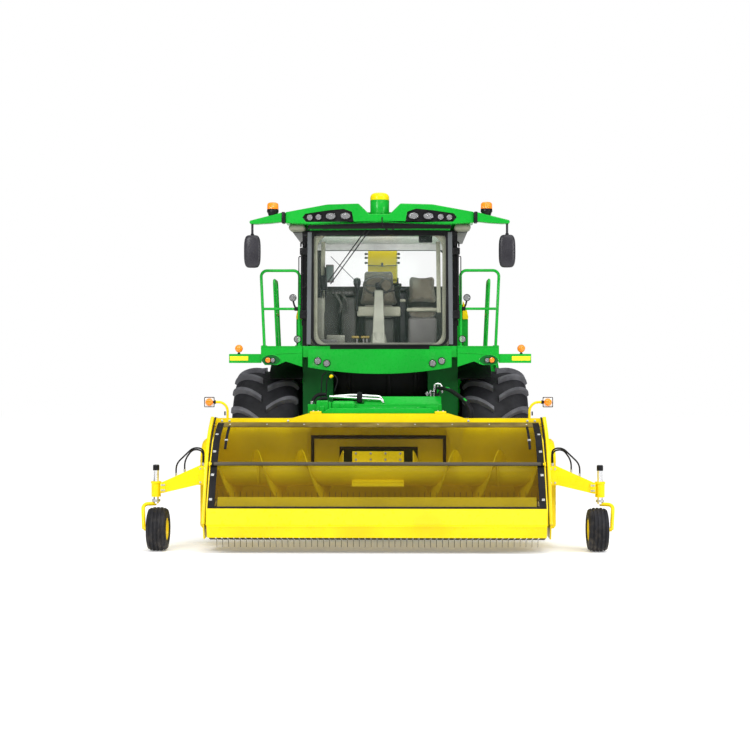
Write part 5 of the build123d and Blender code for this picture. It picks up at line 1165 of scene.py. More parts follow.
@dataclass
class Header:
    """The pickup's frame: side walls, covers, beam, lamp stalks and rear wall."""

    wall_x: float = 1.793
    wall_out: float = 1.800
    cover_out: float = 1.894
    edge: tuple = ((-2.180, 1.380), (-2.560, 1.130), (-2.790, 0.745), (-2.960, 0.300))
    lamp: tuple = (1.844, -2.054, 1.546)
    lens_r: float = 0.041

    def edge_path(self, x: float, forward: float = 0.0, count: int = 48) -> Array:
        """Gives a side wall's front edge at a place across the machine, moved forward by a distance."""
        line = smooth_path(self.edge, count)
        return np.stack([np.full(count, x), behind(line[:, 0] - forward), line[:, 1]], -1)

    def bands(self) -> tuple[Surface, Surface]:
        """Carries flat sections down the wall's front edge: the folded edge and the rubber inside it."""
        band = strip(self.edge_path(self.wall_x, 0.004), X_WAY, 0.036, 0.024)
        rubber = strip(self.edge_path(1.760, 0.006), X_WAY, 0.018, 0.012)
        return both_sides(band), both_sides(rubber)

    def covers(self) -> tuple[Surface, Surface]:
        """Sets a raised field, bolts and latches on the outer face of each side cover."""
        middle, half, spring, low, crown = behind(-2.120), 0.245, 0.930, 0.270, 1.085
        turn = np.linspace(0, math.pi, 17)
        arch = np.stack([middle + half * np.cos(turn), spring + (crown - spring) * np.sin(turn)], -1)
        outline = np.concatenate([arch, [(middle - half, low), (middle + half, low)]])
        field = prism(outline, self.cover_out - 0.004, self.cover_out + 0.007)
        places = [(self.cover_out, y, z) for y in (-2.385, -1.855) for z in (0.26, 0.48, 0.70, 0.92)]
        heads = bolts(spots(*places), X_WAY, 0.009, 0.007)
        hub = spot(self.wall_out, -2.770, 0.330)
        flange = lathe(
            [
                (0, 0.078), (0.008, 0.078), (0.011, 0.070), (0.011, 0.05), (0.024, 0.046), (0.026, 0.03),
                (0.026, 0),
            ],
            hub, X_WAY, 36,
        )
        studs = bolts(hub + bolt_circle(4, 0.009, 0.062, math.pi / 4), X_WAY, 0.008, 0.009)
        return both_sides(join(field, flange)), both_sides(join(heads, studs))

    def marker_lens(self) -> Surface:
        """Turns the ribbed dome of a marker lamp."""
        profile = [(0, self.lens_r), (0.010, self.lens_r)]
        turn = np.linspace(0, math.pi / 2, 9)
        profile += [(0.012 + 0.027 * math.sin(a), self.lens_r * math.cos(a) ** 0.6) for a in turn]
        profile[-1] = (profile[-1][0], 0.0)
        return lathe(profile, spot(*self.lamp), -Y_WAY, 40)

    def build(self) -> None:
        """Makes the header's frame."""
        x, y, z = self.lamp
        shop.softened(
            "header_frame", Finish.YELLOW, 0.0035,
            (
                (None, (1.795, y - 0.042, z - 0.05), (1.89, y - 0.0006, z + 0.05)),
                (Finish.WHITE, (1.785, y - 0.0006, z - 0.06), (1.905, y + 0.0145, z + 0.06)),
            ),
        )
        band, rubber = self.bands()
        field, heads = self.covers()
        outer = rounded_rectangle((x, z), (0.112, 0.112), 0.010, 4)
        inner = rounded_rectangle((x, z), (0.098, 0.098), 0.008, 4)
        rim = plate_ring(outer, inner, behind(y - 0.004), behind(y + 0.002))
        collar = lathe([(-0.01, 0.020), (0.02, 0.020), (0.022, 0.016)], spot(1.785, -2.040, z), X_WAY, 20)
        lamp_clip = block((1.668, -2.052, 1.40), (1.682, -2.030, 1.445), 0.003)
        wall_y = -1.770
        ribs = [
            strip(spots((at, wall_y, 0.47), (at, wall_y, 1.26)), X_WAY, 0.07, 0.018)
            for at in (-1.55, -1.20, 1.20, 1.55)
        ]
        rails = [
            strip(spots((-1.74, wall_y, at), (1.74, wall_y, at)), Z_WAY, 0.05, 0.016)
            for at in (1.235, 0.52)
        ]
        opening = [
            block((-0.747, -1.8135, 1.137), (0.747, -1.807, 1.176), 0.003),
            both_sides(block((0.711, -1.8135, 0.690), (0.747, -1.807, 1.140), 0.003)),
            both_sides(block((0.418, -1.8115, 0.700), (0.432, -1.794, 1.040), 0.003)),
            block((-0.432, -1.8115, 1.026), (0.432, -1.794, 1.050), 0.003),
        ]
        step = prism(
            [(-0.62, 1.421), (0.65, 1.421), (0.58, 1.478), (-0.54, 1.478)], behind(-1.985), behind(-1.715),
            "y",
        )
        stands = [
            block((at, -2.082, 1.4205), (at + 0.125, -1.995, 1.446), 0.006)
            for at in (-0.745, 0.615)
        ]
        top_bolts = bolts(
            spots(*[(at, -2.04, 1.447) for at in (-0.71, -0.655, 0.65, 0.705)]), Z_WAY, 0.010, 0.010,
        )
        beam_bolts = bolts(
            spots(*[(at, -2.091, 1.343) for at in (-1.70, -1.62, -0.98, 0.98, 1.62, 1.70)]),
            -Y_WAY, 0.010, 0.008,
        )
        shop.pieces(
            "header",
            ("wall_edge_bands", band, Finish.YELLOW),
            ("wall_rubber_strips", rubber, Finish.SEAL),
            ("cover_fields", field, Finish.YELLOW, 0.002),
            ("cover_bolts", join(heads, top_bolts, beam_bolts), Finish.ZINC),
            ("marker_lenses", both_sides(self.marker_lens()), Finish.AMBER),
            ("marker_rims", both_sides(join(rim, collar, lamp_clip)), Finish.BLACK_PLASTIC),
            ("rear_wall_ribs", join(*ribs, *rails, *stands), Finish.YELLOW),
            ("opening_frame", join(*opening), Finish.BLACK),
            ("step_box", step, Finish.GREEN, 0.006),
        )
        log.info("header frame")


@dataclass
class CropGuard:
    """The bowed see-through shield, its edge strips, the bar across it and the folded press band."""

    front: tuple = ((-2.135, 1.325), (-2.560, 1.150), (-2.800, 0.900), (-3.080, 0.470))
    top: float = 1.325
    foot: float = 0.470
    half: float = 1.736
    bar_end: tuple = (1.700, -2.826, 0.914)
    clip_heights: tuple = (1.205, 1.036, 0.803, 0.560)

    def curved(
        self, high: float, low: float, depth: float, outward: float = 0.0, half: float = 0.0,
    ) -> Surface:
        """Makes a bowed sheet between two heights: the shield's curve, thickened along its normal.

        Args:
            high: top of the sheet.
            low: its bottom.
            depth: its thickness.
            outward: how far its middle stands ahead of the shield's.
            half: half its width, 0 for the whole shield.

        Returns:
            The closed sheet.
        """
        line = smooth_path(self.front, 120)
        tangent = np.gradient(line, axis=0)
        tangent /= np.linalg.norm(tangent, axis=1, keepdims=True)
        normal = np.stack([tangent[:, 1], -tangent[:, 0]], -1)
        keep = (line[:, 1] <= high) & (line[:, 1] >= low)
        line, normal = line[keep] + [AXLE_Y, 0], normal[keep]
        middle = line + normal * (outward - 0.004)
        outline = np.concatenate([middle + normal * depth / 2, (middle - normal * depth / 2)[::-1]])
        half = half or self.half
        return prism(outline, -half, half)

    def build(self) -> None:
        """Makes the guard."""
        bar_x, bar_y, bar_z = self.bar_end
        upper = self.curved(self.top, bar_z, 0.006)
        shop.pieces(
            "crop_guard",
            # darker and lighter copies of one screen: painted shade and painted light
            ("shield_upper", upper, Finish.SCREEN_DARK, 0.0, ("crop_shield",)),
            ("shield_lower", self.curved(bar_z, self.foot, 0.006), Finish.SCREEN_LIGHT),
            ("shield_top_strip", self.curved(self.top, 1.282, 0.009, 0.003), Finish.FLAP),
            ("shield_backing", self.curved(0.600, 0.474, 0.006, -0.020, 1.640), Finish.YELLOW),
            ("shield_foot_strip", self.curved(0.496, self.foot, 0.011, 0.002), Finish.SEAL),
            (
                "shield_edge_seals",
                both_sides(self.curved(1.318, 0.478, 0.012, 0.004, 0.034).moved(1.700)), Finish.SEAL,
            ),
        )
        line = smooth_path(self.front, 60)
        rivet_z = 1.305
        y = np.interp(-rivet_z, -line[:, 1], line[:, 0])
        rows = [(x, y - 0.006, rivet_z) for x in np.linspace(-1.60, 1.60, 9)]
        flaps = [self.curved(1.285, 1.060, 0.010, 0.006, 0.013).moved(x) for x in (-1.60, 1.60)]
        clips = []
        for x, height in [(1.60, 1.15)] + [(1.708, z) for z in self.clip_heights]:
            y = np.interp(-height, -line[:, 1], line[:, 0])
            clips.append(
                block((x - 0.017, y - 0.016, height - 0.012), (x + 0.017, y + 0.002, height + 0.012), 0.003)
            )
        shop.softened("press_band", Finish.YELLOW, 0.003)
        caps = lathe(
            [(0, 0.018), (0.004, 0.021), (0.018, 0.021), (0.022, 0.018)], spot(*self.bar_end), X_WAY, 24,
        )
        bar = stem((-bar_x, bar_y, bar_z), self.bar_end, 0.0195, 28)
        fold = strip(spots((-self.half, -3.139, 0.300), (self.half, -3.139, 0.300)), Z_WAY, 0.026, 0.010)
        shop.pieces(
            "crop_guard",
            (
                "shield_rivets",
                join(bolts(spots(*rows), np.array([0, -1.0, 0.3]), 0.006, 0.004), both_sides(join(*clips))),
                Finish.ZINC,
            ),
            ("shield_side_flaps", join(*flaps), Finish.SEAL),
            ("bar_collars", both_sides(caps), Finish.BLACK_PLASTIC),
            ("shield_bar", bar, Finish.BAR),
            ("press_band_fold", fold, Finish.YELLOW),
        )
        log.info("crop guard")


@dataclass
class Auger:
    """The cross auger: a tube, two spiral flights of opposite hand and bolted paddles."""

    flight_r: float = 0.264
    tube_r: float = 0.130
    half: float = 1.749
    shaft_r: float = 0.045
    shaft_half: float = 1.785
    pitch: float = 0.480
    inner_x: float = 0.380
    outer_x: float = 1.708
    start: float = 20.0

    def spiral(self, low: float, high: float, depth: float) -> Surface:
        """Carries a flat section along the spiral: angle = start + 360 (x - inner) / pitch.

        Args:
            low: inner radius of the section.
            high: outer radius.
            depth: its thickness along the axle.

        Returns:
            The left flight about the X axis at the origin.
        """
        x = np.linspace(self.inner_x, self.outer_x, 150)[:, None]
        angle = np.radians(self.start) + 2 * math.pi * (x - self.inner_x) / self.pitch
        r = np.array([low, high, high, low])
        shift = np.array([-1, -1, 1, 1]) * depth / 2
        grid = np.stack([x + shift, r * np.sin(angle), r * np.cos(angle)], -1)
        return grid_surface(grid, wrap_v=True, caps=True)

    def build(self) -> None:
        """Makes the auger."""
        centre = joint_point("auger_spin")
        rise = [(self.half, self.shaft_r), (self.half, 0.12), (self.half - 0.005, self.tube_r)]
        drum = lathe([(-x, r) for x, r in rise] + rise[::-1], ORIGIN, X_WAY, 64)
        shaft = rod((-self.shaft_half, 0, 0), (self.shaft_half, 0, 0), self.shaft_r, 32)
        weld = lathe(
            [(-0.30, 0.131), (-0.292, 0.139), (-0.276, 0.139), (-0.268, 0.131)], ORIGIN, X_WAY, 64,
        )
        paddles, heads = [], []
        for degrees in (0, 120, 240):
            plate = rounded_box((-0.28, -0.006, 0.120), (0.28, 0.006, 0.245), 0.004)
            bracket = rounded_box((-0.27, 0.004, 0.124), (0.27, 0.012, 0.185), 0.003)
            places = [(x, -0.006, z) for x in (-0.24, -0.08, 0.08, 0.24) for z in (0.155, 0.222)]
            nuts = bolts(np.array(places), -Y_WAY, 0.010, 0.008)
            paddles += [part.turned(X_WAY, degrees, ORIGIN) for part in (plate, bracket)]
            heads.append(nuts.turned(X_WAY, degrees, ORIGIN))
        ends = join(weld.moved(-1.0), weld.moved(1.568))
        shop.pieces(
            "auger",
            ("auger_tube", join(drum, ends).moved(*centre), Finish.YELLOW, 0.0, ("auger",)),
            (
                "auger_flights",
                both_sides(self.spiral(self.tube_r - 0.004, self.flight_r, 0.008)).moved(*centre),
                Finish.YELLOW,
            ),
            ("auger_paddles", join(*paddles).moved(*centre), Finish.YELLOW),
            ("auger_nuts", join(shaft, *heads).moved(*centre), Finish.STEEL),
        )
        log.info("auger")


@dataclass
class PickupReel:
    """Tine bars on spiders round a tube, with sprung wire tines between the stripper bands."""

    bars: int = 4
    bar_r: float = 0.125
    tine_r: float = 0.288
    coil_r: float = 0.026
    pitch: float = 0.062
    half: float = 1.756
    shaft_half: float = 1.785

    def tine(self) -> Surface:
        """Bends a wire into one tine: a coil of two turns round the bar, then a straight leg out."""
        turn = np.linspace(-math.pi, 3 * math.pi, 25)
        y, z = self.coil_r * np.sin(turn), self.bar_r + self.coil_r * np.cos(turn)
        coil = np.stack([np.linspace(-0.012, 0.0, 25), y, z], -1)
        leg = [(0.0, self.coil_r, self.bar_r + 0.02), (0.0, 0.020, 0.20), (0.0, 0.0, self.tine_r)]
        return tube(np.concatenate([coil, leg]), 0.0030, 6)

    def build(self) -> None:
        """Makes the reel and the bands between its tines."""
        centre = joint_point("reel_spin")
        count = int(2 * (self.half - 0.030) / self.pitch)
        places = np.zeros((count, 3))
        places[:, 0] = (np.arange(count) - (count - 1) / 2) * self.pitch
        row = repeat(self.tine(), places)
        bar = rod((-self.half, 0, self.bar_r), (self.half, 0, self.bar_r), 0.021, 20)
        disc_turn = np.linspace(0, 2 * math.pi, 72, endpoint=False)
        lobe = 0.128 + 0.030 * np.cos(disc_turn * self.bars)
        outline = np.stack([lobe * np.sin(disc_turn), lobe * np.cos(disc_turn)], -1)
        discs = [
            prism(outline, x - 0.004, x + 0.004)
            for x in np.linspace(-self.half + 0.01, self.half - 0.01, 5)
        ]
        tines, tubes = (
            [part.turned(X_WAY, 360 / self.bars * k, ORIGIN) for k in range(self.bars)]
            for part in (row, bar)
        )
        shaft = rod((-self.shaft_half, 0, 0), (self.shaft_half, 0, 0), 0.045, 32)
        shop.pieces(
            "pickup_reel",
            # The tines take the dark roller grey: painted shade under the guard.
            ("reel_tines", join(*tines).moved(*centre), Finish.BAR, 0.0, ("pickup_reel",)),
            ("reel_bars", join(shaft, *tubes, *discs).moved(*centre), Finish.YELLOW),
        )
        # The bands take near black: painted shade under the header.
        shop.softened("stripper_bands", Finish.SHADED_BAND, 0.002)
        log.info("pickup reel: %d tines", count * self.bars)


@dataclass
class GaugeArms:
    """Arms, swivel posts and forks of the gauge wheels, and the hoses looped over the arms."""

    post_x: float = 2.345
    post_y: float = -2.560
    hose_r: float = 0.0085
    # Columns: distance behind the axle, X of the first end, crown, X and Z of the far end.
    hoses: tuple = ((-2.575, 1.838, 1.060, 2.131, 0.770), (-2.540, 1.850, 1.040, 2.045, 0.808))

    def build(self) -> None:
        """Makes both arms, casters and hoses."""
        shop.softened(
            "gauge_arms", Finish.YELLOW, 0.004,
            (
                (None, (1.82, -2.60, 0.885), (2.15, -2.51, 1.11)),
                (None, (2.03, -2.60, 0.818), (2.16, -2.51, 0.885)),
            ),
        )
        lines, ferrules = [], []
        for y, start_x, crown, end_x, end_z in self.hoses:
            route = spots(
                (start_x, y, 0.878), (start_x, y, crown), (start_x + 0.110, y, crown + 0.015),
                (end_x, y, end_z + 0.130), (end_x, y, end_z),
            )
            path = rounded_path(route, 0.072)
            lines.append(tube(path, self.hose_r, 10))
            ferrules += [
                rod(path[0], path[0] + [0, 0, 0.035], 0.012, 12),
                rod(path[-1], path[-1] + [0, 0, 0.035], 0.012, 12),
            ]
        plates, heads = [], []
        # Columns: X, Z, width, height of the plates bolted to an arm's front.
        for x, z, wide, high in ((1.845, 0.780, 0.080, 0.185), (2.262, 0.652, 0.060, 0.095)):
            plates.append(
                block((x - wide / 2, -2.628, z - high / 2), (x + wide / 2, -2.618, z + high / 2), 0.004)
            )
            places = [
                (x + sx * (wide / 2 - 0.018), -2.628, z + sz * (high / 2 - 0.02))
                for sx in (-1, 1) for sz in (-1, 1)
            ]
            heads.append(bolts(spots(*places), -Y_WAY, 0.009, 0.009))
        collar = lathe(
            [(0, 0.052), (0.004, 0.056), (0.022, 0.056), (0.026, 0.052), (0.026, 0.029), (0, 0.029)],
            spot(self.post_x, self.post_y, 0.690), Z_WAY, 32,
        )
        shop.pieces(
            "header",
            ("arm_hoses", both_sides(join(*lines)), Finish.SEAL),
            ("hose_ferrules", both_sides(join(*ferrules, *heads)), Finish.ZINC),
            ("arm_plates", both_sides(join(*plates, collar)), Finish.YELLOW),
        )
        for side in SIDES:
            word = SIDE_WORD[side]
            node = f"caster_{word}"
            shop.softened(
                node, Finish.YELLOW, 0.002,
                ((Finish.CHROME, (2.30, self.post_y - 0.03, 0.55), (2.39, self.post_y + 0.03, 0.895)),),
            )
            cap = lathe(
                [(0, 0.030), (0, 0.034), (0.052, 0.034), (0.060, 0.026), (0.062, 0)],
                spot(side * self.post_x, self.post_y, 0.831), Z_WAY, 28,
            )
            ring = lathe(
                [(0, 0.029), (0, 0.044), (0.024, 0.044), (0.024, 0.029)],
                spot(side * self.post_x, self.post_y, 0.500), Z_WAY, 28,
            )
            shop.pieces(
                node, (f"post_cap_{word}", cap, Finish.BLACK_PLASTIC),
                (f"post_ring_{word}", ring, Finish.ZINC),
            )
        log.info("gauge arms")


@dataclass
class FeedHousing:
    """The neck behind the header, its drive, pipes and hoses."""

    sleeve_r: float = 0.022
    bundle: tuple = (
        (0.650, -1.390, 1.605), (0.650, -1.390, 1.695), (0.770, -1.560, 1.690), (0.950, -1.900, 1.560),
        (1.010, -2.040, 1.450), (1.010, -2.040, 1.372),
    )
    # Columns: radius and points of the hoses on the drive's right end.
    end_hoses: tuple = (
        (
            0.0065,
            (
                (-0.60, -1.45, 1.56), (-0.59, -1.45, 1.80), (-0.53, -1.47, 1.865), (-0.46, -1.50, 1.80),
                (-0.50, -1.50, 1.66),
            ),
        ),
        (0.0065, ((-0.66, -1.44, 1.54), (-0.645, -1.44, 1.84), (-0.600, -1.44, 1.87))),
        (0.020, ((-0.745, -1.60, 1.36), (-0.745, -1.60, 1.56), (-0.690, -1.58, 1.625),
        (-0.600, -1.56, 1.625))),
        (0.018, ((-0.700, -1.64, 1.36), (-0.700, -1.64, 1.54), (-0.650, -1.62, 1.580),
        (-0.580, -1.60, 1.580))),
    )
    # Columns: lowest and highest corner and radius of the motor block's bodies, and steps of a round.
    motor_blocks: tuple = (
        ((-0.690, -1.800, 1.425), (-0.560, -1.660, 1.560), 0.014, 3),
        ((-0.560, -1.780, 1.440), (-0.525, -1.660, 1.545), 0.006, 3),
        ((-0.525, -1.790, 1.448), (-0.260, -1.680, 1.555), 0.036, 5),
        ((-0.655, -1.815, 1.424), (-0.600, -1.790, 1.500), 0.010, 3),
        ((-0.430, -1.800, 1.470), (-0.380, -1.780, 1.530), 0.010, 3),
    )
    # Columns: foot of each fitting and its length.
    fittings: tuple = (
        ((0.585, -1.36, 1.602), 0.07), ((0.625, -1.33, 1.602), 0.10), ((0.545, -1.33, 1.602), 0.05),
        ((0.665, -1.31, 1.602), 0.12),
    )

    def build(self) -> None:
        """Makes the neck and what is fitted to it."""
        # The neck takes the darker copy of the green: painted shade.
        shop.softened("feed_housing", Finish.SHADED_GREEN, 0.005)
        shop.softened("feed_drive", Finish.GREEN, 0.006)
        bundle = spots(*self.bundle)
        sleeve = tube(rounded_path(bundle, 0.10), self.sleeve_r, 14)
        hoses = [
            tube(rounded_path(bundle + [dx, dy, 0.004], 0.10), 0.009, 8)
            for dx, dy in ((0.024, -0.012), (-0.006, -0.026), (0.016, 0.020))
        ]
        hoses += [pipe(points, 0.08, radius) for radius, points in self.end_hoses]
        pipes = [
            pipe(
                [
                    (-0.56, -1.44 - d, 1.600), (-0.30, -1.44 - d, 1.618 - d), (0.02, -1.44 - d, 1.600 - d),
                    (0.05, -1.44 - d, 1.53),
                ],
                0.06, 0.015, 14,
            )
            for d in (0.0, 0.034)
        ]
        pipes.append(stem((-0.745, -1.60, 1.46), (-0.745, -1.60, 1.55), 0.0225, 20))
        motor_block = [block(*row) for row in self.motor_blocks]
        clamp = block((-0.25, -1.52, 1.535), (-0.19, -1.41, 1.650), 0.010)
        fittings = []
        for foot, reach in self.fittings:
            start = spot(*foot)
            fittings += [
                rod(start, start + [0, 0, reach], 0.013, 12),
                bolts(start + [0, 0, reach * 0.6], Z_WAY, 0.019, 0.018),
            ]
        elbow = pipe(
            [(0.625, -1.33, 1.69), (0.625, -1.33, 1.745), (0.70, -1.36, 1.745), (0.715, -1.36, 1.64)],
            0.03, 0.011, 10,
        )
        motor = lathe(
            [
                (0, 0.030), (0, 0.066), (0.02, 0.068), (0.09, 0.068), (0.095, 0.060), (0.15, 0.060),
                (0.155, 0.066), (0.30, 0.066), (0.31, 0.055), (0.34, 0.05), (0.34, 0),
            ],
            spot(-0.20, -1.370, 1.480), -X_WAY, 36,
        )
        lid = block((-0.56, -1.712, 1.345), (0.46, -1.70, 1.490), 0.010)
        plate = block((0.52, -1.712, 1.350), (0.66, -1.70, 1.500), 0.030)
        lid_bolts = bolts(
            spots(*[(x, -1.712, z) for x in (-0.53, -0.28, -0.05, 0.18, 0.43) for z in (1.365, 1.470)]),
            -Y_WAY, 0.009, 0.008,
        )
        tip = lathe(
            [(0, 0.014), (0.01, 0.019), (0.035, 0.019), (0.045, 0.010)], spot(-0.555, -1.46, 1.815),
            np.array([1.0, -0.2, 0.9]), 16,
        )
        shop.pieces(
            "header",
            ("hose_sleeve", join(sleeve, *hoses, clamp), Finish.SEAL),
            ("feed_pipes", join(*pipes, elbow, *fittings), Finish.CHROME),
            ("feed_motor", join(motor, *motor_block), Finish.GREEN),
            ("feed_lids", join(lid, plate), Finish.GREEN),
            ("feed_bolts", lid_bolts, Finish.ZINC),
            ("hose_tip", tip, Finish.YELLOW),
        )
        shop.softened("lift_barrels", Finish.GREY, 0.003)
        shop.softened("lift_rods", Finish.CHROME, 0.002)
        log.info("feed housing")


# Cab


def bow(x: Array) -> Array:
    """Gives how far behind the axle the bowed front lies: an arc of chord 1.8 m that rises 0.11 m."""
    half_chord, rise, corner = 0.900, 0.110, -0.950
    radius = (half_chord**2 + rise**2) / (2 * rise)
    return corner - rise + radius - np.sqrt(radius**2 - np.asarray(x) ** 2)


def bowed(surface: Surface) -> Surface:
    """Shifts each point of a flat front surface back by the bow at its X."""
    points = surface.points.copy()
    points[:, 1] += bow(points[:, 0]) + AXLE_Y
    return Surface(points, surface.corners, surface.sizes)


def evenly(outline: Array, count: int = 240) -> Array:
    """Spaces a closed outline's points evenly along it."""
    outline = np.concatenate([outline, outline[:1]])
    at = np.concatenate([[0], np.cumsum(np.linalg.norm(np.diff(outline, axis=0), axis=1))])
    s = np.linspace(0, at[-1], count, endpoint=False)
    return np.stack([np.interp(s, at, outline[:, k]) for k in range(outline.shape[1])], -1)


@dataclass
class CabShell:
    """Posts, panes, seals, doors, wiper, grab rails and liner of the cab."""

    middle_z: float = 2.856

    def surround(self) -> tuple[Surface, Surface]:
        """Bows the windscreen's black rim and the bright pillar strips beside it."""
        outer = evenly(rounded_rectangle((0, self.middle_z), (1.600, 1.348), 0.110, 10))
        inner = evenly(rounded_rectangle((0, self.middle_z - 0.004), (1.530, 1.312), 0.095, 10))
        rim = bowed(plate_ring(outer, inner, -0.012, 0.004))
        x = 0.812
        y = float(bow(x)) - 0.018
        pillar = strip(spots((x + 0.012, y, 2.200), (x, y, 3.500)), np.array([1.0, 0.15, 0]), 0.050, 0.016)
        return rim, both_sides(pillar)

    def wiper(self) -> Surface:
        """Makes the windscreen's double wiper arm and its blade."""
        parts = []
        for shift in (-0.016, 0.016):
            ends = [
                (x + shift, float(bow(x)) - 0.045, z - shift * 0.6)
                for x, z in ((-0.115, 3.545), (-0.585, 2.905))
            ]
            parts.append(stem(*ends, 0.0065, 10))
        ends = [(x, float(bow(x)) - 0.022, z) for x, z in ((-0.565, 3.215), (-0.295, 2.945))]
        parts.append(strip(spots(*ends), Y_WAY, 0.022, 0.007))
        foot = spot(-0.115, float(bow(0.115)) - 0.030, 3.555)
        parts.append(rounded_box(foot - [0.045, 0.02, 0.022], foot + [0.045, 0.05, 0.022], 0.01))
        return join(*parts)

    def grab_rails(self) -> Surface:
        """Makes the rails, their brackets, the hook and the strap outside both front pillars."""
        front = -0.995
        # Columns: corners, how far from a corner its bend begins, radius and sides.
        bars = (
            (
                [
                    (0.865, -0.955, 3.290), (0.905, front, 3.290), (0.905, front, 2.545),
                    (0.865, -0.955, 2.545),
                ],
                0.05, 0.011, 12,
            ),
            (
                [(0.895, front, 2.66), (0.938, front, 2.66), (0.938, front, 3.22), (0.895, front, 3.22)],
                0.04, 0.006, 8,
            ),
            (
                [
                    (0.870, -0.960, 3.330), (0.870, -0.985, 3.385), (0.915, -0.985, 3.385),
                    (0.915, -0.985, 3.330),
                ],
                0.02, 0.009, 10,
            ),
            ([(0.838, -0.968, 2.90), (0.875, -0.985, 2.86), (0.905, front, 2.86)], 0.02, 0.005, 8),
        )
        parts = [pipe(*row) for row in bars]
        for z, high in ((3.280, 0.085), (2.545, 0.100)):
            parts.append(block((0.840, -0.998, z - high / 2), (0.928, -0.945, z + high / 2), 0.012))
        return both_sides(join(*parts))

    def build(self) -> None:
        """Makes the cab's shell."""
        shop.softened(
            "cab_frame", Finish.BLACK, 0.006, ((Finish.BEIGE, (0.0, -0.951, 3.455), (0.83, -0.878, 3.519)),)
        )
        shop.softened(
            "cab_rear_wall", Finish.CONSOLE, 0.006,
            ((Finish.PALE_TRIM, (0.0, 0.6, 3.40), (0.85, 0.7, 3.55)),),
        )
        lining = block((-0.815, 0.612, 3.425), (0.815, 0.628, 3.515), 0.005)
        # Black sheets and posts across the gap under the cab: painted shade where the gap lies in shadow.
        cavity_shade = [block((-0.555, -0.300, 1.560), (0.555, -0.288, 2.045), 0.004)]
        cavity_shade += [
            block((x - 0.02, -0.330, 1.600), (x + 0.02, -0.300, 2.040), 0.006)
            for x in (-0.38, 0.10, 0.42)
        ]
        # A thin dark ring round the two fascia lamps: painted shade at the edge of their pocket.
        turn = np.linspace(0, 2 * math.pi, 72, endpoint=False)
        across, up = 0.122 * np.cos(turn), 0.051 * np.sin(turn)
        x = 0.662 + across
        outline = np.stack([x, behind(bow(x) - 0.004), 1.993 + up - 0.12 * across], -1)
        painted_shade = tube(outline, 0.0045, 8, closed=True)
        shop.softened(
            "cab_floor", Finish.CONSOLE, 0.004,
            (
                (Finish.GREEN, (0.60, -1.10, 2.04), (0.95, 0.75, 2.16)),
                (Finish.BLACK, (0.0, -1.07, 2.04), (0.60, -0.94, 2.19)),
            ),
        )
        # The cab supports take the darker copy of the green: painted shade.
        shop.softened("cab_supports", Finish.SHADED_GREEN, 0.006)
        shop.softened("cab_glass", Finish.GLASS, 0.0)
        rim, pillars = self.surround()
        shop.pieces(
            "machine",
            ("windscreen_rim", rim, Finish.SEAL),
            ("rear_lining", lining, Finish.WHITE),
            # painted shade in the gap under the cab
            ("cavity_apron", join(*cavity_shade), Finish.BLACK_PLASTIC),
            # painted shade ring round the fascia lamps
            ("lamp_outlines", both_sides(painted_shade), Finish.SHADED_GREEN),
            ("pillar_strips", pillars, Finish.ALLOY),
            ("wiper", self.wiper(), Finish.BLACK),
            ("grab_rails", self.grab_rails(), Finish.BLACK),
        )
        for side in SIDES:
            word = SIDE_WORD[side]
            body = f"cab_door_{word}"
            shop.softened(body, Finish.BLACK, 0.006)
            shop.softened(f"cab_door_pane_{word}", Finish.SIDE_GLASS, 0.0)
            grip = pipe(
                [(0.897, -0.79, 2.50), (0.930, -0.79, 2.53), (0.930, -0.79, 2.76), (0.897, -0.79, 2.79)],
                0.03, 0.010, 12,
            )
            lock = block((0.898, -0.83, 2.42), (0.918, -0.76, 2.49), 0.008)
            shop.piece(f"door_grip_{word}", handed(join(grip, lock), side), Finish.BLACK_PLASTIC, body)
        log.info("cab shell")


def signed_power(values: Array, exponent: float) -> Array:
    """Raises values to a power and keeps their signs, as a superellipsoid's cosines and sines need."""
    return np.sign(values) * np.abs(values) ** exponent


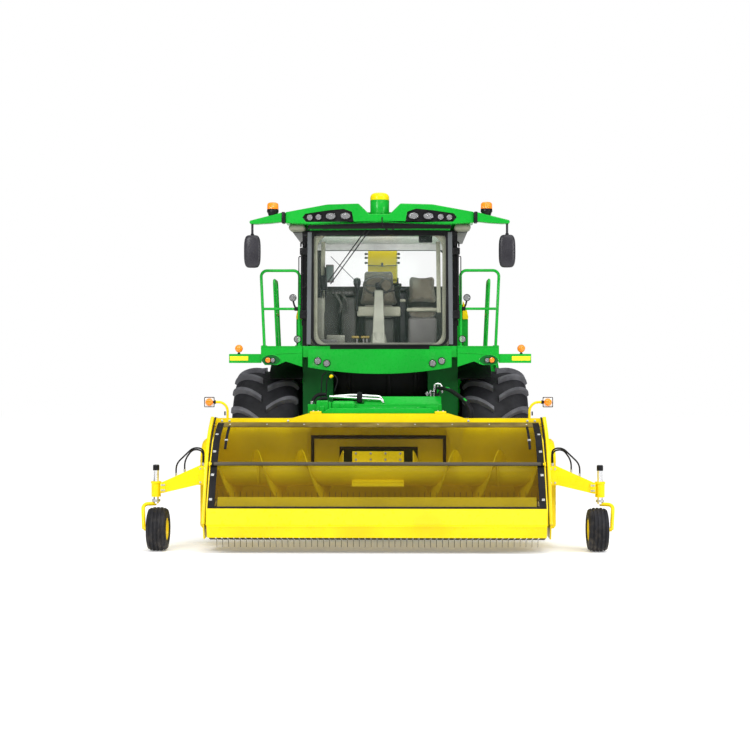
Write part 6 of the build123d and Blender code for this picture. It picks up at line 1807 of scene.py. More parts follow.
@dataclass
class Roof:
    """The roof with its lamp pockets, work lamps, beacons, receiver, mirror arms and mirrors."""

    front: float = -1.200
    seat: float = -1.178
    # Columns: X, Z, half width and half height of a roof lamp's glass.
    lamps: tuple = (
        (0.800, 3.650, 0.033, 0.033), (0.700, 3.655, 0.033, 0.033), (0.560, 3.665, 0.056, 0.036),
        (0.390, 3.668, 0.056, 0.036),
    )
    mirror: tuple = (1.460, -1.180, 3.262)
    beacon: tuple = (1.225, -1.175, 3.705)
    ball_foot: tuple = (1.640, -0.935, 2.090)
    receiver: tuple = (0.0, -1.030, 3.690)
    receiver_r: float = 0.1095

    def lamp(
        self, x: float, y: float, z: float, wide: float, high: float,
    ) -> tuple[Surface, Surface, Surface]:
        """Turns a lamp's bezel, bowl and glass round the Y axis and stretches them to an oval.

        Args:
            x: middle across the machine.
            y: distance of the glass behind the axle.
            z: height.
            wide: half width of the glass.
            high: half height of the glass.

        Returns:
            The bezel, the bright bowl and the glass.
        """
        axis, origin = -Y_WAY, ORIGIN
        bezel = lathe(
            [(-0.020, 0.90), (-0.020, 1.16), (0.002, 1.18), (0.006, 1.10), (0.003, 1.0), (-0.002, 0.98)],
            origin, axis, 36,
        )
        bowl = lathe(
            [
                (-0.019, 0.97), (-0.004, 0.97), (-0.006, 0.86), (-0.013, 0.5), (-0.015, 0.25),
                (-0.010, 0.2), (-0.010, 0),
            ],
            origin, axis, 36,
        )
        glass = lathe(
            [(-0.003, 0.985), (0.001, 0.985), (0.004, 0.7), (0.0055, 0.35), (0.006, 0)], origin, axis, 36,
        )
        scale = np.array([wide, 1.0, high])
        return tuple(
            Surface(part.points * scale + spot(x, y, z), part.corners, part.sizes)
            for part in (bezel, bowl, glass)
        )

    def work_lamps(self) -> None:
        """Makes all the round and oval lamps that face forward."""
        rows = [(x, self.seat - 0.018, z, wide, high) for x, z, wide, high in self.lamps]
        rows += [(x, float(bow(x)) - 0.072, z, 0.036, 0.036) for x, z in ((0.715, 2.007), (0.611, 1.980))]
        rows += [(0.958, -0.936, 2.262, 0.037, 0.037), (1.010, -0.958, 2.742, 0.036, 0.036)]
        made = [self.lamp(*row) for row in rows]
        stands = [
            lathe([(0, 0.028), (0.006, 0.041), (0.034, 0.041)], spot(0.958, -0.892, 2.262), -Y_WAY, 28),
            stem((0.962, -0.905, 2.182), (0.958, -0.905, 2.232), 0.010, 12),
            block((0.935, -0.925, 2.182), (0.985, -0.885, 2.192), 0.004),
            lathe([(0, 0.028), (0.006, 0.040), (0.036, 0.040)], spot(1.010, -0.912, 2.742), -Y_WAY, 28),
            pipe([(1.010, -0.925, 2.715), (0.998, -0.925, 2.66), (0.975, -0.920, 2.615)], 0.02, 0.011, 10),
            block((0.955, -0.945, 2.592), (0.995, -0.895, 2.638), 0.006),
        ]
        bezels, bowls, glasses = (both_sides(join(*parts)) for parts in zip(*made))
        tail = [block((0.80, 4.556, 1.70), (1.0, 4.592, 1.80), 0.012)]
        pods = [
            self.lamp(1.243, -0.984, 2.016, 0.026, 0.026),
            self.lamp(1.298, -0.984, 2.018, 0.030, 0.030),
        ]
        shop.pieces(
            "machine",
            (
                "lamp_bezels", join(bezels, both_sides(join(*stands, pods[0][0], pods[1][0]))),
                Finish.BLACK_PLASTIC, 0.0, ("lamps",),
            ),
            ("lamp_bowls", join(bowls, both_sides(join(pods[0][1], pods[1][1]))), Finish.CHROME),
            ("lamp_glasses", join(glasses, both_sides(pods[0][2])), Finish.LENS),
            ("turn_lamps", both_sides(pods[1][2]), Finish.AMBER),
            ("tail_lamps", both_sides(join(*tail)), Finish.RED),
        )

    def beacons(self) -> None:
        """Turns the rotating beacons, the ball markers on the bars and the position receiver."""
        up = Z_WAY
        base = lathe(
            [(-0.045, 0.030), (-0.030, 0.050), (0, 0.060), (0.010, 0.068), (0.038, 0.066), (0.042, 0.060)],
            spot(*self.beacon), up, 40,
        )
        turn = np.linspace(0, math.pi / 2, 8)
        dome = [(0.040, 0.060), (0.044, 0.0655), (0.095, 0.064)] + [
            (0.098 + 0.023 * math.sin(a), 0.062 * math.cos(a) ** 0.7) for a in turn
        ]
        dome[-1] = (dome[-1][0], 0.0)
        glass = lathe(dome, spot(*self.beacon), up, 40)
        foot = lathe(
            [(0, 0.018), (0.006, 0.018), (0.012, 0.010), (0.024, 0.014)], spot(*self.ball_foot), up, 24,
        )
        turn = np.linspace(-1.25, math.pi / 2, 14)
        ball = lathe(
            [(0.062 + 0.046 * math.sin(a), max(0.0, 0.046 * math.cos(a))) for a in turn],
            spot(*self.ball_foot), up, 32,
        )
        centre, r = spot(*self.receiver), self.receiver_r
        receiver = [
            (0, 0.088), (0.0, 0.104), (0.020, 0.109), (0.165, r), (0.172, 0.106),
        ]
        cap = [(0.172, 0.106), (0.175, r), (0.200, r)]
        turn = np.linspace(0, math.pi / 2, 9)
        cap += [(0.202 + 0.058 * math.sin(a), r * math.cos(a) ** 0.55) for a in turn]
        cap[-1] = (cap[-1][0], 0.0)
        ribs = [
            lathe([(z, r), (z + 0.002, 0.1105), (z + 0.010, 0.1105), (z + 0.012, r)], centre, up, 48)
            for z in (0.03, 0.15)
        ]
        mount = rounded_box(centre - [0.075, 0.075, 0.030], centre + [0.075, 0.075, 0.002], 0.012)
        cable = hose(
            [
                (0.02, -1.13, 3.70), (0.03, -1.19, 3.66), (0.035, -1.215, 3.57), (0.09, -1.21, 3.505),
                (0.16, -1.20, 3.515), (0.165, -1.18, 3.57),
            ],
            40, 0.0065, 8,
        )
        # The ball markers on the bars are part of the beacons' node.
        shop.pieces(
            "machine",
            ("beacon_bases", both_sides(join(base, foot)), Finish.BLACK_PLASTIC, 0.0, ("beacons",)),
            ("beacon_domes", both_sides(join(glass, ball)), Finish.AMBER),
            (
                "receiver_body", join(lathe(receiver, centre, up, 48), *ribs), Finish.GREEN, 0.0,
                ("position_receiver",),
            ),
            ("receiver_cap", lathe(cap, centre, up, 48), Finish.YELLOW),
            ("receiver_mount", join(mount, cable), Finish.BLACK_PLASTIC),
        )

    def mirrors(self) -> None:
        """Makes the mirror arms and the rounded heads that hang from them."""
        x, y, z = self.mirror
        turn = np.linspace(-0.5, 0.5, 7) * math.pi
        nose = np.stack([1.468 + 0.022 * np.cos(turn), 3.5955 + 0.022 * np.sin(turn)], -1)
        arm = prism(
            [*nose, (1.110, 3.708), (1.110, 3.598), (1.250, 3.582), (1.400, 3.573)], behind(-1.228),
            behind(-1.122), "y",
        )
        stalk = stem((x, y, 3.43), (x, y, 3.585), 0.0135, 20)
        rise = np.linspace(-math.pi / 2, math.pi / 2, 33)
        turn = np.linspace(0, 2 * math.pi, 48, endpoint=False)
        level = signed_power(np.cos(rise), 0.42)[:, None]
        shell = np.stack(
            np.broadcast_arrays(
                0.096 * level * signed_power(np.cos(turn), 0.75),
                0.045 * level * signed_power(np.sin(turn), 0.75),
                0.188 * signed_power(np.sin(rise), 0.62)[:, None],
            ),
            -1,
        )
        head = grid_surface(shell[1:-1], wrap_v=True, caps=True).moved(x, behind(y), z)
        face = block((x - 0.075, y + 0.036, z - 0.150), (x + 0.075, y + 0.047, z + 0.150), 0.02)
        collar = block((1.080, -1.236, 3.583), (1.122, -1.114, 3.712), 0.012)
        socket = lathe(
            [(0, 0.012), (0, 0.020), (0.018, 0.020), (0.022, 0.015)], spot(x, y, 3.445), Z_WAY, 20,
        )
        shop.pieces(
            "machine",
            ("mirror_arms", both_sides(arm), Finish.GREEN, 0.012, ("mirrors",)),
            ("mirror_shells", both_sides(join(head, stalk)), Finish.SATIN_BLACK),
            ("mirror_faces", both_sides(face), Finish.CHROME),
            ("mirror_collars", both_sides(join(collar, socket)), Finish.BLACK_PLASTIC),
        )

    def build(self) -> None:
        """Makes the roof and all that stands on it."""
        pocket_low, pocket_high = (0.290, self.front + 0.0004, 3.600), (0.885, self.seat + 0.001, 3.747)
        shop.softened(
            "cab_roof", Finish.GREEN, 0.012,
            (
                (Finish.BLACK_PLASTIC, pocket_low, pocket_high),
                (Finish.BLACK, (0.0, -1.141, 3.510), (0.821, -0.879, 3.6205)),
            ),
        )
        duct = block((0.86, -1.10, 3.512), (1.050, -0.86, 3.585), 0.036, 5)
        under = block((-1.02, -0.86, 3.508), (1.02, 0.70, 3.524), 0.006)
        shop.pieces(
            "machine", ("roof_ducts", both_sides(duct), Finish.BEIGE),
            ("roof_underside", under, Finish.BLACK_PLASTIC),
        )
        self.work_lamps()
        self.beacons()
        self.mirrors()
        log.info("roof")


@dataclass
class Platforms:
    """Decks, fascias with their lamp pods, marker bars, handrails and ladder."""

    pod: tuple = (1.262, 2.012)
    tread_pitch: float = 0.045
    tread_z: float = 2.1825
    steps: int = 5
    # X and Z of the step grips: at the ladder's foot and one step above its top.
    ladder_foot: tuple = (1.640, 0.515)
    ladder_head: tuple = (1.396, 2.237)

    def build(self) -> None:
        """Makes the platforms."""
        shop.softened("platforms", Finish.GREEN, 0.006)
        shop.softened("handrails", Finish.GREEN, 0.0)
        shop.softened("ladder", Finish.GREEN, 0.003)
        x, z = self.pod
        turn = np.linspace(math.radians(-8), math.radians(200), 30)
        arch = np.stack(
            [x + 0.115 * np.cos(turn), np.full(30, behind(-0.972)), z - 0.012 + 0.080 * np.sin(turn)], -1,
        )
        lip = tube(arch, 0.005, 8)
        # A thin dark plate just ahead of the fascia round each pod: painted shade of a recess.
        painted_shade_turn = np.linspace(0, 2 * math.pi, 48, endpoint=False)
        outline = np.stack(
            [x + 0.004 + 0.108 * np.cos(painted_shade_turn), z + 0.006 + 0.056 * np.sin(painted_shade_turn)], -1,
        )
        painted_shade = prism(outline, behind(-0.9725), behind(-0.968), "y")
        reflector = block((1.530, -0.9545, 2.012), (1.745, -0.9495, 2.064), 0.004)
        tread = []
        for low_x, high_x, low_y, high_y in ((0.92, 1.37, -0.88, 0.88), (1.12, 1.37, 0.92, 1.81)):
            columns = int((high_x - low_x) / self.tread_pitch)
            rows = int((high_y - low_y) / self.tread_pitch)
            grid = np.stack(np.indices((columns, rows, 1)), -1).reshape(-1, 3)
            places = spot(low_x + 0.02, low_y + 0.02, self.tread_z) + self.tread_pitch * grid
            for parity, way in ((0, 45), (1, -45)):
                bar = rounded_box((-0.016, -0.004, -0.001), (0.016, 0.004, 0.002), 0.002, 1)
                bar = bar.turned(Z_WAY, way, ORIGIN)
                tread.append(repeat(bar, places[(grid.sum(1) % 2) == parity]))
        edge = strip(spots((1.378, -0.90, 2.1795), (1.378, 1.82, 2.1795)), X_WAY, 0.014, 0.014)
        grip_rows = []
        foot, head = np.array(self.ladder_foot), np.array(self.ladder_head)
        for step in range(self.steps):
            step_x, step_z = foot + (step + 0.12) / self.steps * (head - foot)
            grip_rows += [
                strip(spots((at, 1.215, step_z), (at, 1.705, step_z)), X_WAY, 0.016, 0.005)
                for at in step_x + np.array([0.030, 0.070, 0.110])
            ]
        rail = pipe(
            [(1.55, 1.165, 1.05), (1.60, 1.165, 1.10), (1.46, 1.165, 2.05), (1.42, 1.165, 2.10)],
            0.05, 0.014, 14,
        )
        turn = np.radians(np.linspace(52, 128, 25))
        arch_r = 1.055
        arch_path = np.stack(
            [np.full(25, 1.115), behind(-arch_r * np.cos(turn)), 0.972 + arch_r * np.sin(turn)], -1,
        )
        liner = strip(arch_path, X_WAY, 0.40, 0.008)
        seam = strip(spots((0.905, -0.9725, 2.176), (1.378, -0.9725, 2.176)), Z_WAY, 0.010, 0.004)
        crease = strip(
            spots((0.905, -0.9722, 2.105), (1.10, -0.9722, 2.098), (1.20, -0.9722, 2.088)),
            Z_WAY, 0.010, 0.006,
        )
        shop.pieces(
            "machine",
            ("pod_lips", both_sides(lip), Finish.GREEN),
            # painted shade round the lamp pods
            ("pod_recesses", both_sides(painted_shade), Finish.SHADED_GREEN),
            ("bar_reflectors", both_sides(reflector), Finish.REFLECTOR),
            ("deck_tread", both_sides(join(*tread)), Finish.STEEL),
            ("deck_edges", both_sides(join(edge, seam, crease)), Finish.GREEN),
            ("step_grips", join(*grip_rows), Finish.ZINC),
            ("ladder_rail", rail, Finish.GREEN),
            ("arch_liners", both_sides(liner), Finish.BLACK_PLASTIC),
        )
        log.info("platforms")


@dataclass
class Interior:
    """Seats, steering column, consoles, screens, pedals, liner and mirror inside the cab."""

    wheel: tuple = (-0.030, -0.330, 2.925)
    # The pads as cloth: size of their faces and pressure inside.
    weave: float = 0.0085
    pressure: float = 4.0
    # Columns: name, lowest and highest corner (X, distance behind the axle, Z), radius, finish.
    blocks: tuple = (
        ("driver_base", (-0.20, -0.06, 2.182), (0.16, 0.34, 2.54), 0.03, "CONSOLE"),
        ("driver_front_pad", (-0.288, -0.196, 2.556), (0.240, -0.120, 2.676), 0.022, "BEIGE"),
        ("passenger_box", (0.330, -0.080, 2.190), (0.684, 0.300, 2.552), 0.045, "MID_GREY"),
        # A pale strip along the passenger cushion's front edge: painted highlight.
        ("passenger_rim", (0.312, -0.160, 2.618), (0.700, -0.085, 2.662), 0.018, "BEIGE"),
        ("middle_console", (0.212, 0.020, 2.182), (0.318, 0.520, 2.870), 0.030, "BLACK_PLASTIC"),
        ("middle_lid", (0.225, 0.010, 2.872), (0.318, 0.300, 2.930), 0.022, "BLACK_PLASTIC"),
        ("cup_holder", (0.232, -0.010, 2.740), (0.300, 0.040, 2.776), 0.012, "BEIGE"),
        ("arm_console", (-0.480, -0.180, 2.182), (-0.300, 0.520, 2.790), 0.035, "CONSOLE"),
        ("arm_rest", (-0.610, -0.150, 2.812), (-0.330, 0.420, 2.872), 0.028, "CONSOLE"),
        ("side_console", (-0.790, 0.060, 2.182), (-0.500, 0.560, 2.875), 0.040, "CONSOLE"),
        ("monitor_case", (-0.655, -0.400, 2.955), (-0.560, -0.360, 3.170), 0.012, "MID_GREY"),
        ("monitor_post", (-0.672, -0.385, 2.780), (-0.645, -0.355, 3.140), 0.008, "BLACK_PLASTIC"),
        ("switch_box", (-0.720, -0.420, 2.860), (-0.640, -0.330, 3.040), 0.016, "BLACK_PLASTIC"),
        ("switch_row", (-0.735, -0.400, 2.600), (-0.700, -0.330, 2.860), 0.012, "BLACK_PLASTIC"),
        ("left_step", (-0.640, -0.600, 2.210), (-0.420, -0.520, 2.320), 0.020, "PALE_TRIM"),
        ("left_sill", (-0.780, -0.840, 2.186), (-0.500, -0.760, 2.262), 0.020, "MID_GREY"),
        ("left_panel", (-0.800, -0.700, 2.250), (-0.660, -0.640, 2.760), 0.030, "PALE_TRIM"),
        ("right_panel", (0.745, -0.600, 2.250), (0.800, -0.560, 2.700), 0.025, "PALE_TRIM"),
        ("rear_shelf", (-0.820, 0.560, 2.182), (0.820, 0.628, 2.965), 0.015, "CONSOLE"),
        ("window_mirror", (0.452, -0.835, 3.392), (0.612, -0.805, 3.480), 0.014, "BLACK_PLASTIC"),
        ("mirror_stem", (0.525, -0.830, 3.475), (0.545, -0.812, 3.520), 0.006, "BLACK_PLASTIC"),
        ("front_sill", (-0.780, -0.900, 2.183), (0.780, -0.862, 2.222), 0.014, "PALE_TRIM"),
    )
    # Columns: name, middle, size, width left at the top as a share, lean to the rear.
    pads: tuple = (
        ("driver_back", (-0.034, 0.245, 2.925), (0.475, 0.100, 0.450), 0.76, 0.060),
        ("driver_cushion", (-0.030, 0.030, 2.625), (0.430, 0.420, 0.100), 1.0, 0.0),
        ("passenger_back", (0.502, 0.265, 2.905), (0.370, 0.090, 0.335), 0.86, 0.045),
        ("passenger_cushion", (0.506, 0.060, 2.612), (0.345, 0.360, 0.085), 1.0, 0.0),
    )

    def pad(self, middle: tuple, size: tuple, taper: float, lean: float) -> Surface:
        """Rounds a block, narrows it towards its top and leans it back.

        Args:
            middle: its middle (X, distance behind the axle, Z).
            size: its width, depth and height.
            taper: share of the width left at the top.
            lean: how far its top stands behind its foot.

        Returns:
            The block.
        """
        half = np.array(size) / 2
        padding = rounded_box(-half, half, 0.042, 5)
        share = (padding.points[:, 2] / half[2] + 1) / 2
        padding.points[:, 0] *= 1 + (taper - 1) * share**1.5
        padding.points[:, 1] += lean * (share - 0.5)
        return padding.moved(*spot(*middle))

    def inflate(self, obj: Object, frames: int = 20, reach: float = 0.022) -> None:
        """Blows a pad up as cloth: even faces, pressure from inside, and no point moves past a reach.

        Args:
            obj: the pad.
            frames: frames of the simulation.
            reach: the farthest that a point may move.
        """
        scene = bpy.context.scene
        even = obj.modifiers.new("even", "REMESH")
        even.mode, even.voxel_size = "VOXEL", self.weave
        graph = bpy.context.evaluated_depsgraph_get()
        fine = bpy.data.meshes.new_from_object(obj.evaluated_get(graph))
        obj.modifiers.remove(even)
        old, obj.data = obj.data, fine
        bpy.data.meshes.remove(old)
        start = np.empty(len(fine.vertices) * 3, np.float32)
        fine.vertices.foreach_get("co", start)
        cloth = obj.modifiers.new("cloth", "CLOTH")
        cloth.settings.use_pressure, cloth.settings.uniform_pressure_force = True, self.pressure
        cloth.settings.effector_weights.gravity = 0.0
        for frame_number in range(1, frames + 1):
            scene.frame_set(frame_number)
        graph = bpy.context.evaluated_depsgraph_get()
        puffed = bpy.data.meshes.new_from_object(obj.evaluated_get(graph))
        end = np.empty(len(puffed.vertices) * 3, np.float32)
        puffed.vertices.foreach_get("co", end)
        bpy.data.meshes.remove(puffed)
        obj.modifiers.remove(cloth)
        step = (end - start).reshape(-1, 3)
        length = np.linalg.norm(step, axis=1, keepdims=True) + 1e-9
        step *= np.minimum(1.0, reach / length)
        fine.vertices.foreach_set("co", (start.reshape(-1, 3) + step).ravel())
        fine.shade_smooth()
        fine.update()
        scene.frame_set(1)

    def seats(self) -> None:
        """Makes the padded seats."""
        for name, middle, size, taper, lean in self.pads:
            obj = shop.piece(name, self.pad(middle, size, taper, lean), Finish.CLOTH, "machine")
            self.inflate(obj)
            fine = obj.modifiers.new("fine", "SUBSURF")
            fine.levels = fine.render_levels = 1

    def steering(self) -> None:
        """Makes the column, the steering wheel and what is on them."""
        column = prism(
            [
                (-0.730, 2.184), (-0.470, 2.184), (-0.450, 2.30), (-0.345, 2.760), (-0.350, 2.850),
                (-0.415, 2.862), (-0.445, 2.78), (-0.560, 2.42),
            ],
            -0.060, 0.060,
        )
        spread = 1.30 - 0.42 * np.clip((column.points[:, 2] - 2.184) / 0.62, 0, 1)
        column.points[:, 0] *= spread
        column = column.moved(self.wheel[0] + 0.010, AXLE_Y)
        boot = lathe(
            [(0, 0.098), (0.02, 0.102), (0.10, 0.090), (0.13, 0.084), (0.15, 0.080)],
            spot(-0.020, -0.600, 2.184), np.array([0, 0.28, 1.0]), 40,
        )
        centre, axis = spot(*self.wheel), np.array([0, 0.55, 0.83])
        turn = np.linspace(0, 2 * math.pi, 64, endpoint=False)
        k, s, t = axis_frame(axis)
        ring = centre + 0.170 * (np.cos(turn)[:, None] * s + np.sin(turn)[:, None] * t)
        rim = tube(ring, 0.0145, 14, closed=True)
        hub = lathe(
            [(-0.05, 0.03), (-0.02, 0.040), (0.010, 0.042), (0.020, 0.034), (0.022, 0)], centre, axis, 32,
        )
        spokes = []
        for angle in np.radians([90, 210, 330]):
            way = math.cos(angle) * s + math.sin(angle) * t
            spokes.append(strip(np.array([centre - k * 0.01, centre + way * 0.168]), k, 0.010, 0.036))
        horn = rounded_box(centre + [-0.065, -0.05, -0.145], centre + [0.075, 0.02, -0.075], 0.02)
        stalk = tube(
            np.array(
                [centre + [0.06, 0, -0.09], centre + [0.16, 0.02, -0.07], centre + [0.205, 0.02, -0.06]]
            ),
            0.008, 10,
        )
        shop.pieces(
            "machine",
            ("steering_column", column, Finish.PALE_TRIM, 0.012, ("cab_controls",)),
            ("column_boot", boot, Finish.PALE_TRIM),
            ("steering_wheel", join(rim, *spokes), Finish.CONSOLE),
            ("steering_hub", join(hub, horn, stalk), Finish.BLACK_PLASTIC),
        )

    def controls(self) -> None:
        """Makes the joystick, pedals, levers and screens."""
        grip = lathe(
            [
                (0, 0.012), (0.01, 0.020), (0.05, 0.030), (0.085, 0.044), (0.120, 0.046), (0.150, 0.036),
                (0.165, 0),
            ],
            spot(-0.285, -0.240, 2.860), np.array([0, -0.1, 1.0]), 28,
        )
        shaft = stem((-0.285, -0.230, 2.62), (-0.285, -0.240, 2.875), 0.013, 14)
        levers = [
            hose(
                [
                    (x, -0.20, 2.60), (x + 0.02, -0.24, 2.70), (x - 0.03, -0.25, 2.80),
                    (x - 0.055, -0.25, 2.84),
                ],
                14, 0.016, 10,
            )
            for x in (-0.50, -0.42)
        ]
        pedals = [
            block((x, -0.745, 2.275), (x + wide, -0.715, 2.305), 0.010)
            for x, wide in ((-0.335, 0.090), (-0.225, 0.100))
        ]
        stems = [
            block((x, -0.735, 2.186), (x + 0.018, -0.720, 2.280), 0.006)
            for x in (-0.28, -0.205, -0.165)
        ]
        screen = block((-0.647, -0.4035, 2.975), (-0.568, -0.399, 3.150), 0.002)
        knob_places = spots(*[(x, -0.152, 2.845) for x in (-0.58, -0.54, -0.50, -0.46, -0.42, -0.38)])
        knobs = bolts(knob_places, -Y_WAY, 0.011, 0.012)
        cables = [
            hose(
                [
                    (-0.715, -0.38, 3.05 + d), (-0.735, -0.40, 2.95), (-0.74 + d, -0.39, 2.80),
                    (-0.72, -0.36, 2.62 + d),
                ],
                24, 0.006, 8,
            )
            for d in (0.0, 0.03, 0.06)
        ]
        shop.pieces(
            "machine",
            ("joystick", join(grip, shaft, *cables), Finish.BLACK_PLASTIC),
            ("levers", join(*levers), Finish.CONSOLE),
            ("pedals", join(*pedals), Finish.FLAP),
            ("pedal_stems", join(*stems, knobs), Finish.MID_GREY),
            ("screen_face", screen, Finish.SCREEN_FACE),
        )

    def liner(self) -> None:
        """Frames the windscreen from inside with the pale liner and lines the posts and roof."""
        outer = evenly(rounded_rectangle((0, 2.852), (1.600, 1.310), 0.110, 10))
        inner = evenly(rounded_rectangle((0, 2.832), (1.452, 1.270), 0.150, 12))
        ring = bowed(plate_ring(outer, inner, 0.030, 0.075))
        ceiling = block((-0.80, -0.87, 3.500), (0.80, 0.625, 3.516), 0.006)
        post = strip(spots((0.700, -0.30, 2.60), (0.690, -0.30, 3.45)), X_WAY, 0.05, 0.03)
        door_trim = block((0.800, -0.82, 2.20), (0.848, 0.24, 2.40), 0.014)
        shop.pieces(
            "machine",
            ("windscreen_liner", ring, Finish.BEIGE),
            ("ceiling", ceiling, Finish.WHITE),
            ("liner_posts", both_sides(join(post, door_trim)), Finish.BEIGE),
        )

    def build(self) -> None:
        """Makes the cab's inside."""
        for name, low, high, radius, finish in self.blocks:
            nodes = ("seats",) if name == "driver_base" else ()
            shop.piece(name, block(low, high, radius, 4), Finish[finish], "machine", nodes)
        self.seats()
        self.steering()
        self.controls()
        self.liner()
        log.info("cab interior")


# Rear body


@dataclass
class RearBody:
    """Hood, side panels, engine doors, grille, tanks and chassis."""

    def build(self) -> None:
        """Makes the rear body."""
        shop.softened("hood", Finish.GREEN, 0.008)
        shop.softened(
            "body_panels", Finish.GREEN, 0.006,
            ((Finish.BLACK, (0.0, 4.519, 1.80), (0.6505, 4.5495, 2.435)),),
        )
        stripe_outline = [
            (1.1025, 2.575), (1.1025, 2.600), (1.0775, 2.712), (1.045, 2.738), (1.030, 2.738),
            (1.068, 2.700), (1.094, 2.600), (1.094, 2.575),
        ]
        stripe = prism(stripe_outline, behind(0.896), behind(4.44), "y")
        face = prism(
            [
                (1.030, 2.565), (1.098, 2.565), (1.098, 2.600), (1.072, 2.712), (1.040, 2.790),
                (1.030, 2.790),
            ],
            behind(0.884), behind(0.899), "y",
        )
        for side in SIDES:
            word = SIDE_WORD[side]
            body = f"engine_door_{word}"
            shop.softened(body, Finish.GREEN, 0.004)
            fins = [
                strip(spots((1.092, 2.005, z), (1.092, 3.925, z)), np.array([0.6, 0, -0.8]), 0.042, 0.004)
                for z in 1.8225 + 0.090 * np.arange(7)
            ]
            latch = [block((1.099, y, 1.640), (1.113, y + 0.11, 1.680), 0.006) for y in (2.30, 3.55)]
            for name, parts, finish in (
                ("louvres", fins, Finish.BLACK), ("latches", latch, Finish.BLACK_PLASTIC),
            ):
                shop.piece(f"{name}_{word}", handed(join(*parts), side), finish, body)
        wires = [
            strip(spots((-0.645, 4.5325, z), (0.645, 4.5325, z)), Z_WAY, 0.004, 0.003)
            for z in np.linspace(1.83, 2.41, 30)
        ]
        posts = [
            block((x - 0.012, 4.522, 1.812), (x + 0.012, 4.549, 2.428), 0.004)
            for x in (-0.325, 0.0, 0.325)
        ]
        seams = [
            strip(spots((1.1015, y, 1.60), (1.1015, y, 2.55)), Y_WAY, 0.012, 0.004) for y in (1.20, 1.52)
        ]
        cap = lathe(
            [(0, 0.062), (0.012, 0.066), (0.030, 0.066), (0.036, 0.058), (0.040, 0.0)],
            spot(1.060, 1.300, 1.300), X_WAY, 32,
        )
        tank = (0.750, 1.150)
        outer = rounded_rectangle(tank, (0.632, 0.672), 0.09, 6)
        inner = rounded_rectangle(tank, (0.618, 0.658), 0.085, 6)
        straps = [plate_ring(outer, inner, behind(y), behind(y + 0.05)) for y in (1.30, 1.90)]
        shop.pieces(
            "machine",
            ("hood_stripes", both_sides(join(stripe, face)), Finish.YELLOW, 0.002),
            ("grille_wires", join(*wires, *posts), Finish.BLACK),
            ("panel_seams", both_sides(join(*seams)), Finish.GREEN),
            ("tank_caps", both_sides(cap), Finish.BLACK_PLASTIC),
            ("tank_straps", both_sides(join(*straps)), Finish.ZINC),
        )
        for node, finish, bevel in (
            ("engine_block", Finish.GREY, 0.01),
            ("fuel_tanks", Finish.BLACK_PLASTIC, 0.01),
            ("chassis_rails", Finish.GREY, 0.004),
            ("chassis_frame", Finish.GREY, 0.004),
            # The cutterhead housing takes black: painted shade in the gap under the cab.
            ("cutterhead_housing", Finish.BLACK, 0.006),
            ("front_axle", Finish.GREY, 0.006),
            ("rear_axle_beam", Finish.GREY, 0.006),
            ("steering_rod", Finish.CHROME, 0.003),
            ("knuckle_left", Finish.GREY, 0.004),
            ("knuckle_right", Finish.GREY, 0.004),
        ):
            shop.softened(node, finish, bevel)
        log.info("rear body")


@dataclass
class Spout:
    """Turret, elbow, trough and tilting cap of the discharge spout."""

    def build(self) -> None:
        """Makes the spout."""
        shop.softened("spout_turret", Finish.BLACK, 0.004)
        shop.softened("spout_elbow", Finish.YELLOW, 0.004)
        shop.softened("spout", Finish.YELLOW, 0.004)
        shop.softened("spout_cap", Finish.YELLOW, 0.004)
        x, reach = 0.186, 0.035
        hooks = [
            pipe(
                [(x, 1.12, z), (x + reach, 1.10, z + 0.012), (x + reach, 1.06, z - 0.012), (x, 1.05, z)],
                0.015, 0.008, 8,
            )
            for z in (3.415, 3.365, 3.300)
        ]
        joint = strip(
            spots(
                (-0.188, 1.052, 3.265), (-0.06, 1.052, 3.262), (0.0, 1.052, 3.256), (0.188, 1.052, 3.266),
            ),
            Z_WAY, 0.010, 0.008,
        )
        pad = block((-0.014, 1.046, 3.262), (0.012, 1.058, 3.300), 0.003)
        ring = lathe(
            [(0, 0.185), (0, 0.262), (0.010, 0.268), (0.030, 0.268), (0.036, 0.258), (0.036, 0.185)],
            spot(0, 1.260, 2.953), Z_WAY, 64,
        )
        turns = np.arange(12) * math.pi / 6
        ring_of_bolts = np.stack([np.cos(turns), np.sin(turns), np.zeros(12)], -1)
        places = spot(0, 1.260, 2.989) + 0.235 * ring_of_bolts
        shop.pieces("spout", ("spout_hooks", join(both_sides(join(*hooks)), joint, pad), Finish.BLACK))
        shop.pieces(
            "turret", ("turret_ring", ring, Finish.STEEL),
            ("turret_bolts", bolts(places, Z_WAY, 0.010, 0.010), Finish.ZINC),
        )
        log.info("spout")


# Studio


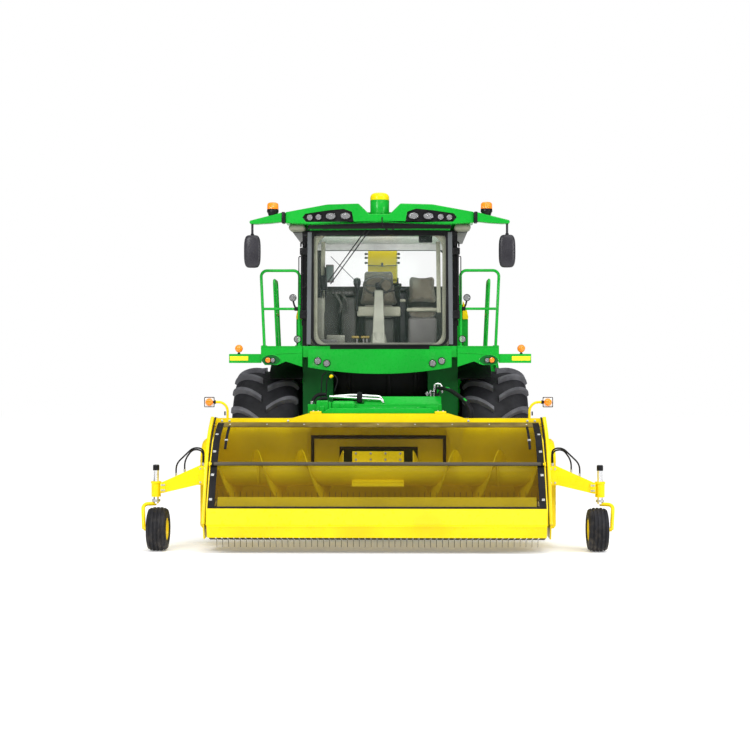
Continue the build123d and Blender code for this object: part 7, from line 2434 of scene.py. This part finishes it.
@dataclass
class Studio:
    """Camera, pale floor and soft lights."""

    camera_at: tuple = (0.28, -19.83, 1.787)
    yaw: float = 1.07
    pitch: float = 0.185
    lens: float = 74.4
    ambient: float = 0.38
    gloss: float = 0.16
    # The sun: direction, strength and angle.
    daylight: tuple = ((0.35, -0.75, 1.0), 2.05, 55)
    # Columns: name, place, point aimed at, size, power.
    boxes: tuple = (
        ("key", (-5.0, -10.0, 6.5), (0, -2, 1.5), 3.5, 440),
        ("side", (7.0, -7.0, 4.0), (0, -2, 1.5), 2.5, 160),
        ("top", (0.0, 0.0, 10.0), (0, 0, 1), 7.0, 300),
        ("cab_fill", (0.0, -1.9, 2.75), (0, -0.2, 3.1), 0.9, 9),
    )

    def camera(self) -> None:
        """Stands the camera where the photograph was taken from."""
        data = bpy.data.cameras.new("camera")
        data.lens, data.sensor_width = self.lens, 36.0
        data.clip_start, data.clip_end = 0.1, 300.0
        obj = bpy.data.objects.new("camera", data)
        obj.location = self.camera_at
        obj.rotation_euler = (math.radians(90 + self.pitch), 0.0, math.radians(self.yaw))
        bpy.context.scene.collection.objects.link(obj)
        bpy.context.scene.camera = obj

    def light(self, name: str, place: tuple, aim: tuple, size: float, power: float) -> None:
        """Hangs one square soft box at a place, aimed at a point and unseen by the camera."""
        data = bpy.data.lights.new(name, "AREA")
        data.shape, data.size, data.energy = "SQUARE", size, power
        obj = bpy.data.objects.new(name, data)
        obj.location = place
        way = obj.location - type(obj.location)(aim)
        obj.rotation_euler = way.to_track_quat("Z", "Y").to_euler()
        obj.visible_camera = False
        bpy.context.scene.collection.objects.link(obj)

    def floor(self) -> None:
        """Lays the pale floor."""
        grid = np.stack(np.meshgrid(np.linspace(-60, 60, 5), np.linspace(-60, 60, 5), indexing="ij"), -1)
        points = np.concatenate([grid, np.zeros((5, 5, 1))], -1)
        surface = grid_surface(points)
        mesh = bpy.data.meshes.new("floor")
        mesh.from_pydata(surface.points.tolist(), [], surface.corners.reshape(-1, 4).tolist())
        obj = bpy.data.objects.new("floor", mesh)
        bpy.context.scene.collection.objects.link(obj)
        w = Wiring("studio_floor")
        w.constant(Roughness=0.9, Specular_IOR_Level=0.1)
        w.use("Base Color", w.mix(w.noise(2.0, 2.0), (0.93, 0.93, 0.93), (0.95, 0.95, 0.95)))
        w.constant(Emission_Color=(1.0, 1.0, 1.0, 1.0), Emission_Strength=0.20)
        mesh.materials.append(w.material)

    def sun(self) -> None:
        """Hangs the wide soft sun."""
        way, power, angle = self.daylight
        data = bpy.data.lights.new("daylight", "SUN")
        data.energy, data.angle = power, math.radians(angle)
        obj = bpy.data.objects.new("daylight", data)
        obj.rotation_euler = type(obj.location)(way).to_track_quat("Z", "Y").to_euler()
        bpy.context.scene.collection.objects.link(obj)

    def sky(self) -> None:
        """Surrounds the machine with white that lights it less than it shows behind it."""
        world = bpy.data.worlds.new("studio")
        world.use_nodes = True
        nodes, links = world.node_tree.nodes, world.node_tree.links
        background = nodes["Background"]
        background.inputs["Color"].default_value = (1.0, 1.0, 1.0, 1.0)
        path = nodes.new("ShaderNodeLightPath")
        strength = nodes.new("ShaderNodeMath")
        strength.operation = "SUBTRACT"
        # The ray that it is for, strength for other rays and for it: the second is taken from the first.
        rows = (("Is Camera Ray", self.ambient, 1.0), ("Is Glossy Ray", 0.0, self.ambient - self.gloss))
        for socket, (ray, low, high) in zip(strength.inputs, rows):
            level = nodes.new("ShaderNodeMapRange")
            level.inputs["To Min"].default_value, level.inputs["To Max"].default_value = low, high
            links.new(path.outputs[ray], level.inputs["Value"])
            links.new(level.outputs["Result"], socket)
        links.new(strength.outputs[0], background.inputs["Strength"])
        bpy.context.scene.world = world

    def build(self) -> None:
        """Sets up the whole studio."""
        self.camera()
        self.floor()
        self.sky()
        bpy.context.scene.view_settings.view_transform = "Standard"
        self.sun()
        for name, place, aim, size, power in self.boxes:
            self.light(name, place, aim, size, power)
        log.info("studio")


def main() -> None:
    """Builds the studio and every sub-assembly in order."""
    logging.basicConfig(level=logging.INFO, format="%(name)s: %(message)s")
    Studio().build()
    front = LuggedTyre(
        "front", radius=0.975, width=0.790, bore=0.425, lugs=19, lug_height=0.055, disc_out=0.060, studs=10,
    )
    rear = LuggedTyre(
        "rear", radius=0.725, width=0.540, bore=0.395, lugs=17, lug_height=0.042, disc_out=0.020, studs=8,
    )
    for part in (
        front, rear, GaugeWheels(), Header(), CropGuard(), Auger(), PickupReel(), GaugeArms(),
        FeedHousing(), CabShell(), Roof(), Platforms(), Interior(), RearBody(), Spout(),
    ):
        part.build()
    log.info("%d pieces", shop.count)


if __name__ == "__main__":
    main()
